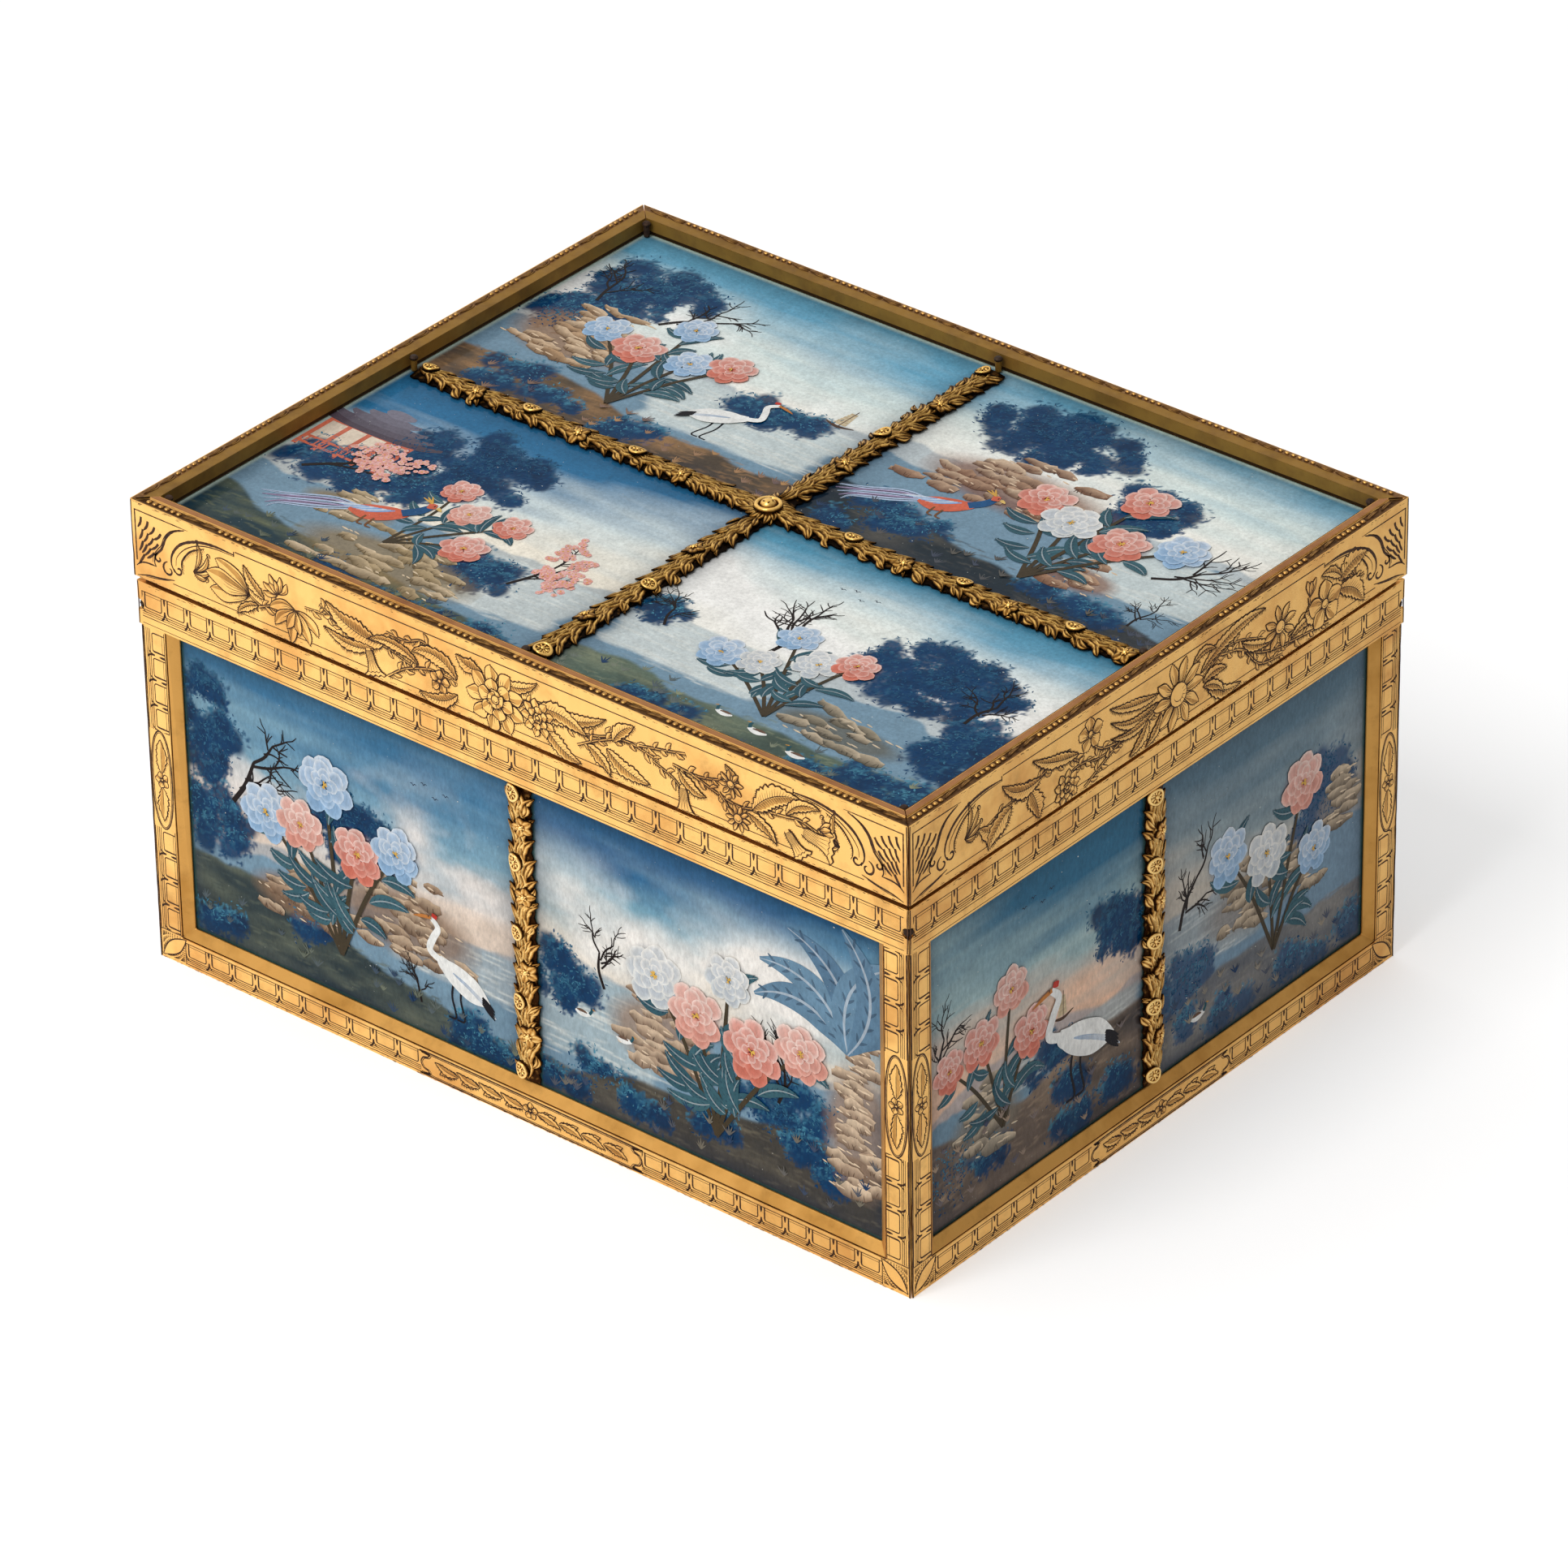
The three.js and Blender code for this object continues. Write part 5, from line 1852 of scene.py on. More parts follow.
    def sky(self, top: Colour, middle: Colour, low: Colour, horizon: float) -> None:
        """Paints the sky above the horizon in streaky level brushwork."""
        streaks = (self.cloud(5.0, 4, 9.0) - 0.5) * 0.34 + (self.cloud(28.0, 3, 2.0) - 0.5) * 0.5
        height = (self.y - horizon) / (self.height - horizon) + streaks
        self.wash(low, np.ones(self.x.shape))
        self.wash(middle, (height - 0.12) / 0.36)
        self.wash(top, (height - 0.46) / 0.42)

    def clouds(self, amount: float, low: float, high: float, colour: Colour) -> None:
        """Paints billowing clouds between two heights."""
        billow = self.cloud(22.0, 5, 1.7)
        band = np.exp(-(((self.y - (low + high) / 2) / (high - low)) ** 2) * 5.0)
        self.wash(colour, (billow - 1.0 + amount) * 5.0 * band)
        self.wash(
            mix(colour, linear(110, 146, 170), 0.5), (self.cloud(16.0, 4, 2.2) - 0.62) * 3.0 * band * amount
        )

    def hills(self, base: float, rise: float, size: float, colour: Colour, strength: float = 0.85) -> None:
        """Paints a line of far hills."""
        crest = base + rise * self.cloud(size, 4, 1.0)[0]
        self.wash(colour, (crest[None, :] - self.y) * 1.6 * strength)

    def water(self, low: float, high: float, tone: Colour, glint: Colour, left: float, right: float) -> None:
        """Paints a stretch of water with pale level streaks."""
        edge = (self.cloud(9.0, 3, 3.0) - 0.5) * 5.0
        inside = np.clip((self.y - low + edge) * 0.8, 0, 1) * np.clip((high - self.y) * 1.2, 0, 1)
        inside = inside * np.clip((self.x - left + edge * 2) * 0.4, 0, 1) * np.clip(
            (right - self.x + edge * 2) * 0.4, 0, 1
        )
        self.wash(tone, inside)
        for _ in range(int((right - left) * (high - low) / 14)):
            spot = (self.rng.uniform(left, right), self.rng.uniform(low, high))
            tilt = self.rng.uniform(-9, 3)
            self.dab(spot, self.rng.uniform(6, 20), 0.55, tilt, glint, self.rng.uniform(0.2, 0.7))

    def ground(self, left: float, right: float, tone: Colour, light: Colour) -> None:
        """Paints the bank in front, from one height at the left edge to another at the right."""
        crest = left + (right - left) * self.x / self.width + (
            self.cloud(20.0, 4, 1.6)[0][None, :] - 0.5
        ) * 12.0
        mask = (crest - self.y) * 0.9
        self.wash(tone, mask)
        self.wash(light, np.clip(mask, 0, 1) * (self.cloud(8.0, 4, 3.0) - 0.45) * 2.4)
        self.wash(
            mix(tone, (0.01, 0.015, 0.02), 0.6),
            np.clip(mask, 0, 1) * (self.cloud(11.0, 4, 2.0) - 0.55) * 3.0
        )
        for _ in range(int(self.width * 2.2)):
            x = self.rng.uniform(0, self.width)
            y = self.rng.uniform(0, left + (right - left) * x / self.width)
            self.dab(
                (x, y), self.rng.uniform(2.0, 6.0), 0.7, self.rng.uniform(-14, 14),
                mix(tone, light, self.rng.random()), 0.5
            )

    def slab(self, left: Point, right: Point, thick: float, top: Colour, foot: Colour) -> None:
        """Paints one broken ledge, pale on its upper edge and dark at its foot."""
        count = max(4, int(math.dist(left, right) / 1.6))
        lift = self.level([left, right], thick * 2)
        points, colours = [], []
        for number in range(count + 1):
            share = number / count
            ends = math.sin(math.pi * min(max(share, 0.06), 0.94)) ** 0.5
            x, y = mix(left, right, share)
            upper = y + thick * 0.5 * ends + self.rng.uniform(-0.5, 0.5)
            lower = y - thick * 0.5 * ends + self.rng.uniform(-0.4, 0.4)
            tint = self.rng.uniform(-0.2, 0.2)
            for level, tone in ((upper, 0.0), (mix((upper,), (lower,), 0.3)[0], 0.35 + tint), (lower, 1.0)):
                side = x + self.rng.uniform(-0.4, 0.4)
                points.append((min(max(side, 0.0), self.width), min(max(level, 0.0), self.height), lift))
                colours.append(mix(top, foot, min(1.0, tone)))
        faces = []
        for number in range(count):
            a = 3 * number
            faces += [(a + 2, a + 5, a + 4, a + 1), (a + 1, a + 4, a + 3, a)]
        self.ink.add(points, faces, colours)

    def rocks(self, spot: Point, width: float, height: float, tone: Colour) -> None:
        """Paints a stack of weathered ledges, from the back of the stack to its front.

        Args:
            spot: The middle of its foot.
            width: Its width.
            height: Its height.
            tone: Its middle colour.
        """
        dark, pale = mix(tone, linear(40, 28, 26), 0.7), mix(tone, linear(246, 222, 190), 0.7)
        self.dab((spot[0], spot[1] + height * 0.4), width, height * 0.9, 0, mix(tone, dark, 0.3), 0.8)
        layers = max(4, int(height / 2.6))
        for layer in range(layers, -1, -1):
            share = layer / layers
            reach = width * (1.0 - 0.5 * share) * self.rng.uniform(0.85, 1.1)
            lean = spot[0] + self.rng.uniform(-0.1, 0.1) * width
            for _ in range(max(2, int(reach / 8))):
                size = self.rng.uniform(5.0, 11.0)
                middle = (
                    lean + self.rng.uniform(-0.5, 0.5) * max(0.0, reach - size), spot[1] + height * share
                )
                tilt = self.rng.uniform(-16, 8)
                left, right = polar(middle, tilt + 180, size / 2), polar(middle, tilt, size / 2)
                lit = self.rng.random()
                thick = self.rng.uniform(2.4, 4.4)
                self.slab(
                    left, right, thick, mix(tone, pale, 0.25 + 0.75 * lit),
                    mix(dark, tone, 0.35 * self.rng.random())
                )
                for _ in range(3):
                    start = mix(left, right, self.rng.uniform(0.1, 0.9))
                    crack = [start, (start[0] + self.rng.uniform(-0.9, 0.9), start[1] - thick * 0.45)]
                    self.stroke(crack, self.rng.uniform(0.15, 0.35), dark, 0.3, 0.8)
            for _ in range(3):
                middle = (lean + self.rng.uniform(-0.45, 0.45) * reach, spot[1] + height * share)
                self.stroke(
                    [middle, (middle[0] + self.rng.uniform(1, 3), middle[1] - 0.4)], 0.5, pale, 0.5, 0.2
                )

    def foliage(self, spot: Point, wide: float, high: float, dark: Colour, light: Colour) -> None:
        """Paints a mass of stippled leaves in clumps, lighter at the upper left of each clump.

        Args:
            spot: Its middle.
            wide: Its width.
            high: Its height.
            dark: The colour of its depths.
            light: The colour of its lit leaves.
        """
        deep = mix(dark, linear(0, 26, 50), 0.5)
        clumps = max(6, int(wide * high / 17))
        for _ in range(clumps):
            angle = self.rng.uniform(0, math.tau)
            reach = self.rng.random() ** 0.6 * 0.46
            middle = (spot[0] + wide * reach * math.cos(angle), spot[1] + high * reach * math.sin(angle))
            size = self.rng.uniform(3.6, 7.6)
            self.dab(
                middle, size * 1.3, size, self.rng.uniform(0, 180), mix(deep, dark, self.rng.random()), 0.95
            )
            for _ in range(30):
                leaf = polar(middle, self.rng.uniform(0, 360), size * 0.78 * math.sqrt(self.rng.random()))
                lit = smooth(-0.5, 0.9, (leaf[1] - middle[1] - (leaf[0] - middle[0]) * 0.5) / size)
                tone = mix(dark, light, lit * self.rng.uniform(0.2, 0.95))
                self.dab(leaf, self.rng.uniform(1.0, 2.0), 0.8, self.rng.uniform(0, 180), tone, 0.8)
            for _ in range(12):
                leaf = polar(middle, self.rng.uniform(10, 250), size * self.rng.uniform(0.3, 0.95))
                end = polar(leaf, self.rng.uniform(0, 360), self.rng.uniform(0.5, 1.1))
                lit = smooth(-0.6, 0.8, (leaf[1] - middle[1]) / size)
                self.stroke([leaf, end], 0.55, mix(dark, light, lit * self.rng.random()), 0.6, 0.4)

    def bare_tree(
        self, root: Point, size: float, angle: float, colour: Colour, blossom: Optional[Colour] = None
    ) -> None:
        """Draws a leafless tree, with blossom on its twigs where a colour is given."""
        tips: list[Point] = []

        def grow(start: Point, length: float, way: float, width: float, depth: int) -> None:
            """Draws a branch and, to a depth, the branches that fork from it."""
            bend = self.rng.uniform(-16, 16)
            middle = polar(start, way + bend, length * 0.5)
            end = polar(middle, way - bend * 0.8, length * 0.5)
            self.stroke([start, middle, end], max(width, 0.16), colour, 1.0, 0.62)
            tips.append(end)
            if depth == 0:
                return
            for number in range(3):
                share = self.rng.uniform(0.3, 1.0)
                fork = way + self.rng.choice((-1, 1)) * self.rng.uniform(22, 62)
                reach = length * self.rng.uniform(0.42, 0.72)
                grow(
                    mix(start, end, share), reach, fork, width * 0.6,
                    depth - 1 if number else max(0, depth - 2)
                )
            grow(end, length * 0.62, way + self.rng.uniform(-22, 22), width * 0.62, depth - 1)

        grow(root, size * 0.4, angle, size * 0.034, 3)
        if blossom:
            for tip in tips:
                for _ in range(3):
                    spot = polar(tip, self.rng.uniform(0, 360), self.rng.uniform(0.2, 1.5))
                    self.petals(spot, self.rng.uniform(0.7, 1.1), blossom, 5)

    def petals(self, spot: Point, size: float, colour: Colour, count: int) -> None:
        """Paints a small round flower."""
        for number in range(count):
            angle = 360 * number / count + 20
            way = polar(spot, angle, size * 0.9)
            self.stroke(
                [spot, mix(spot, way, 0.6), way], size * 0.95,
                mix(colour, (1, 1, 1), self.rng.uniform(0, 0.3)), 0.5, 0.7
            )
        self.stroke(
            [(spot[0] - size * 0.2, spot[1]), (spot[0] + size * 0.2, spot[1])], size * 0.5,
            linear(214, 160, 70), 1.0, 1.0
        )

    def lobe(
        self, root: Point, angle: float, length: float, width: float, deep: Colour, pale: Colour
    ) -> None:
        """Paints one rounded petal, deep at its root and pale at its ruffled rim."""
        heart = polar(root, angle, length - width * 0.5)
        lift = self.level([root, polar(root, angle, length)], width)
        middle = mix(deep, pale, 0.45)
        points, colours = [(*root, lift)], [deep]
        count = 9
        for share, tone in ((0.62, middle), (0.9, mix(middle, pale, 0.7)), (1.0, pale)):
            for number in range(count):
                turn = angle + 125 * (2 * number / (count - 1) - 1)
                ruffle = 1.0 + (0.05 * math.sin(number * 2.1 + angle) if share > 0.8 else 0.0)
                x, y = polar(heart, turn, width * 0.5 * share * ruffle)
                points.append((min(max(x, 0.0), self.width), min(max(y, 0.0), self.height), lift))
                colours.append(tone)
        faces = [(0, number + 1, number + 2) for number in range(count - 1)]
        for ring in range(2):
            first = 1 + ring * count
            faces += [
                (first + n, first + n + count, first + n + count + 1, first + n + 1)
                for n in range(count - 1)
            ]
        self.ink.add(points, faces, colours)

    def peony(self, spot: Point, size: float, colour: Colour) -> None:
        """Paints a full bloom: deep outer petals first, then ever paler inner rings, with fine veins."""
        deep = mix(colour, linear(160, 58, 50), 0.6)
        if min(colour) > 0.3 or colour[2] > colour[0]:
            deep = mix(colour, linear(84, 120, 160), 0.62)
        pale = mix(colour, (1.0, 0.95, 0.88), 0.62)
        self.dab(spot, size * 1.9, size * 1.7, 0, mix(deep, linear(20, 40, 70), 0.55), 0.7)
        for reach, count, wide in ((1.0, 7, 0.74), (0.76, 6, 0.62), (0.52, 5, 0.46), (0.3, 4, 0.3)):
            for number in range(count):
                angle = 360 * number / count + 287 * reach + self.rng.uniform(-9, 9)
                length = size * reach * self.rng.uniform(0.9, 1.06)
                root = polar(spot, angle, size * 0.05)
                lit = smooth(
                    -1.0, 1.0,
                    math.sin(math.radians(angle)) * reach + (1 - reach) + self.rng.uniform(-0.3, 0.3)
                )
                under, over = mix(deep, colour, 0.3 * lit), mix(colour, pale, 0.15 + 0.85 * lit)
                self.lobe(root, angle, length, size * wide, under, over)
                for turn in (-12, 0, 12):
                    vein = [
                        polar(root, angle + turn * 0.4, length * 0.42),
                        polar(root, angle + turn, length * 0.72)
                    ]
                    self.stroke(vein, size * 0.03, mix(over, under, 0.55), 0.8, 0.2)
        for _ in range(7):
            tip = polar(spot, self.rng.uniform(0, 360), size * 0.13)
            self.stroke([spot, tip], size * 0.05, linear(226, 178, 84), 0.5, 1.0)

    def broad_leaf(self, base: Point, tip: Point, width: float, colour: Colour, bow: float = 0.12) -> None:
        """Paints a long leaf with a lit rib and side veins."""
        length = math.dist(base, tip)
        across = (-(tip[1] - base[1]) / length, (tip[0] - base[0]) / length)
        spine = []
        for step in range(9):
            t = step / 8
            bend = bow * length * 4 * t * (1 - t)
            spine.append(tuple(base[i] + (tip[i] - base[i]) * t + across[i] * bend for i in (0, 1)))
        self.stroke(spine, width, colour, 0.1, 0.1)
        for index in range(1, 8):
            (x, y), (ahead_x, ahead_y) = spine[index - 1], spine[index + 1]
            heading = math.degrees(math.atan2(ahead_y - y, ahead_x - x))
            for side in (-1, 1):
                end = polar(spine[index], heading + side * 38, width * 0.36)
                self.stroke([spine[index], end], width * 0.1, mix(colour, (0.01, 0.02, 0.05), 0.5), 0.6, 0.3)
        self.stroke(spine, width * 0.1, mix(colour, (1, 1, 1), 0.3), 0.4, 0.2)

    def shrub(
        self, root: Point, height: float, tones: Sequence[Colour], leaf: Colour, lean: float = 0.0
    ) -> None:
        """Paints a flowering shrub: stems, leaves and large blooms.

        Args:
            root: The foot of its stems.
            height: Its height.
            tones: The colours of its blooms.
            leaf: The colour of its leaves.
            lean: How far it leans in degrees.
        """
        heads = []
        for number, tone in enumerate(tones):
            spread = (number / max(1, len(tones) - 1) - 0.5) * 64 if len(tones) > 1 else 0.0
            reach = height * (
                0.82 + 0.18 * math.cos(math.radians(spread * 2.4))
            ) * self.rng.uniform(0.86, 1.0)
            head = polar(root, 90 + lean - spread, reach * (0.72 if number % 2 else 1.0))
            middle = polar(mix(root, head, 0.5), 90 + lean, height * 0.05)
            self.stroke([root, middle, head], height * 0.024, linear(70, 60, 44), 1.0, 0.6)
            heads.append((head, tone))
            for _ in range(5):
                start = mix(root, head, self.rng.uniform(0.2, 0.92))
                way = 90 + lean - spread + self.rng.choice((-1, 1)) * self.rng.uniform(30, 88)
                tip = polar(start, way, height * self.rng.uniform(0.15, 0.27))
                self.broad_leaf(
                    start, tip, height * 0.07, mix(leaf, linear(70, 110, 120), self.rng.uniform(0, 0.6))
                )
        for head, tone in heads:
            self.peony(head, height * self.rng.uniform(0.135, 0.175), tone)

    def bird(self, pose: Pose, spot: Point, size: float, facing: int) -> None:
        """Paints a bird; facing is 1 for the right and -1 for the left."""
        def at(x: float, y: float) -> Point:
            """A point by its shares of the bird's size, from its feet."""
            return (spot[0] + x * size * facing, spot[1] + y * size)

        white, grey, black = linear(240, 240, 236), linear(160, 178, 200), linear(28, 26, 32)
        coral, blue = linear(214, 104, 78), linear(126, 166, 214)
        if pose is Pose.HERON:
            for x in (-0.02, 0.08):
                self.stroke(
                    [at(x, 0.36), at(x + 0.02, 0.2), at(x - 0.02, 0.0), at(x + 0.07, -0.02)], size * 0.022,
                    black, 1.0, 0.8
                )
            self.stroke(
                [at(-0.34, 0.28), at(-0.1, 0.38), at(0.16, 0.5), at(0.24, 0.56)], size * 0.27, white, 0.2,
                0.3
            )
            for number in range(6):
                start, end = at(0.08 - 0.05 * number, 0.46 - 0.02 * number), at(
                    -0.24 - 0.035 * number, 0.32 - 0.03 * number
                )
                self.stroke(
                    [start, mix(start, end, 0.5), end], size * 0.035, mix(grey, white, number * 0.1), 0.3,
                    0.3
                )
            for number in range(4):
                self.stroke(
                    [at(-0.26, 0.34 - 0.02 * number), at(-0.4, 0.24 - 0.03 * number)], size * 0.04, black,
                    0.6, 0.2
                )
            self.stroke(
                [at(0.18, 0.52), at(0.34, 0.6), at(0.3, 0.74), at(0.24, 0.86), at(0.32, 0.95)],
                size * 0.075, white, 1.0, 0.7
            )
            self.stroke(
                [at(0.31, 0.95), at(0.42, 0.93), at(0.52, 0.9)], size * 0.035, linear(190, 120, 60), 1.0,
                0.2
            )
            self.stroke([at(0.24, 0.97), at(0.3, 0.985)], size * 0.05, linear(196, 60, 48), 0.8, 0.8)
            self.stroke([at(0.335, 0.955), at(0.345, 0.955)], size * 0.02, black, 1.0, 1.0)
        elif pose is Pose.PHEASANT:
            for number in range(5):
                droop = 0.05 * number
                tail = [
                    at(-0.12, 0.22), at(-0.45, 0.2 - droop), at(-0.8, 0.02 - droop),
                    at(-1.1 + 0.06 * number, -0.1 - droop)
                ]
                self.stroke(tail, size * 0.06, mix(blue, coral if number % 2 else white, 0.35), 0.6, 0.2)
                self.stroke(tail, size * 0.012, black, 0.6, 0.3)
            self.stroke(
                [at(-0.24, 0.16), at(0.0, 0.22), at(0.2, 0.34), at(0.26, 0.42)], size * 0.27, coral, 0.3,
                0.4
            )
            for number in range(9):
                start, end = at(0.14 - 0.04 * number, 0.36 - 0.014 * number), at(
                    -0.08 - 0.045 * number, 0.18 - 0.006 * number
                )
                self.stroke(
                    [start, mix(start, end, 0.5), end], size * 0.035, mix(blue, white, (number % 3) * 0.3),
                    0.4, 0.2
                )
            self.stroke(
                [at(0.22, 0.36), at(0.32, 0.48), at(0.36, 0.6)], size * 0.12, linear(36, 84, 130), 1.0, 0.7
            )
            self.stroke([at(0.32, 0.61), at(0.4, 0.64)], size * 0.1, coral, 0.8, 0.7)
            self.stroke([at(0.42, 0.63), at(0.49, 0.6)], size * 0.04, linear(226, 190, 110), 1.0, 0.2)
            for number in range(3):
                self.stroke(
                    [at(0.33, 0.66), at(0.25 - 0.03 * number, 0.76 - 0.03 * number)], size * 0.02,
                    linear(220, 170, 80), 1.0, 0.4
                )
            self.stroke([at(0.375, 0.635), at(0.39, 0.635)], size * 0.025, black, 1.0, 1.0)
            for x in (-0.02, 0.08):
                self.stroke(
                    [at(x, 0.14), at(x + 0.01, 0.0), at(x + 0.08, -0.01)], size * 0.025,
                    linear(120, 80, 50), 1.0, 0.6
                )
        else:
            self.stroke([at(-0.5, 0.16), at(-0.1, 0.12), at(0.3, 0.2)], size * 0.3, white, 0.2, 0.5)
            self.stroke(
                [at(-0.42, 0.22), at(-0.1, 0.24), at(0.12, 0.2)], size * 0.14, linear(108, 84, 70), 0.2, 0.4
            )
            self.stroke(
                [at(0.24, 0.2), at(0.36, 0.36), at(0.38, 0.5)], size * 0.13, linear(40, 84, 96), 1.0, 0.9
            )
            self.stroke([at(0.42, 0.5), at(0.56, 0.46)], size * 0.06, linear(214, 150, 60), 1.0, 0.4)

    def pavilion(self, spot: Point, size: float) -> None:
        """Paints a small garden house with an upswept roof and a lattice."""
        wall, roof, red = linear(232, 214, 192), linear(84, 74, 84), linear(204, 108, 84)
        left, right, low = spot[0] - size * 0.4, spot[0] + size * 0.4, spot[1]
        self.wash(
            wall,
            np.where(
                (self.x > left) & (self.x < right) & (self.y > low) & (self.y < low + size * 0.5), 1.0, 0.0
            )
        )
        for number in range(5):
            x = left + (right - left) * number / 4
            self.stroke([(x, low), (x, low + size * 0.52)], size * 0.045, red, 1.0, 1.0)
        for level in (0.06, 0.16, 0.46):
            self.stroke([(left, low + size * level), (right, low + size * level)], size * 0.03, red, 1.0, 1.0)
        for number in range(8):
            x = left + (right - left) * (number + 0.5) / 8
            self.stroke([(x, low + size * 0.06), (x, low + size * 0.16)], size * 0.016, red, 1.0, 1.0)
        for number, share in enumerate((0.52, 0.58, 0.65, 0.73, 0.82)):
            half = size * (0.62 - 0.12 * number)
            level = low + size * share
            lip = size * 0.07 * (1 - number * 0.2)
            curve = [
                (spot[0] - half, level + lip), (spot[0] - half * 0.6, level), (spot[0] + half * 0.6, level),
                (spot[0] + half, level + lip)
            ]
            self.stroke(curve, size * 0.12, mix(roof, linear(150, 150, 166), number * 0.14), 0.3, 0.3)

    def boat(self, spot: Point, size: float) -> None:
        """Paints a small far boat with a mat sail."""
        hull, sail = linear(84, 62, 50), linear(206, 186, 150)
        x, y = spot
        self.stroke(
            [(x - size * 0.5, y + size * 0.12), (x, y), (x + size * 0.5, y + size * 0.12)], size * 0.12,
            hull, 0.3, 0.3
        )
        for level in range(6):
            height = y + size * (0.18 + 0.12 * level)
            half = size * (0.26 - 0.024 * level)
            self.stroke(
                [(x - half, height), (x + half * 0.7, height)], size * 0.11,
                mix(sail, hull, 0.1 * (level % 2)), 1.0, 1.0
            )
        self.stroke([(x, y), (x, y + size)], size * 0.03, hull, 1.0, 1.0)

    def flock(self, spot: Point, count: int) -> None:
        """Paints a few far birds."""
        for number in range(count):
            x, y = spot[0] + 3.4 * number, spot[1] + 1.6 * math.sin(2.2 * number)
            wing = [(x - 1.0, y + 0.4), (x - 0.4, y + 0.55), (x, y), (x + 0.5, y + 0.5), (x + 1.1, y + 0.3)]
            self.stroke(wing, 0.3, linear(40, 46, 66), 0.3, 0.3)

    def specks(self, count: int) -> None:
        """Scatters the small pale losses that old paint behind glass has."""
        for _ in range(count):
            spot = (self.rng.uniform(1, self.width - 1), self.rng.uniform(1, self.height - 1))
            end = (spot[0] + self.rng.uniform(0.1, 0.45), spot[1] + self.rng.uniform(-0.2, 0.2))
            self.stroke([spot, end], self.rng.uniform(0.15, 0.4), linear(216, 222, 216), 0.7, 0.7)

    def edge(self, left: float, right: float, low: float, high: float, tone: Colour) -> None:
        """Tones the picture's edges, each by its own width in millimetres."""
        for width, distance in (
            (left, self.x), (right, self.width - self.x), (low, self.y), (high, self.height - self.y)
        ):
            if width:
                self.wash(tone, (width - distance) / width * 1.3)


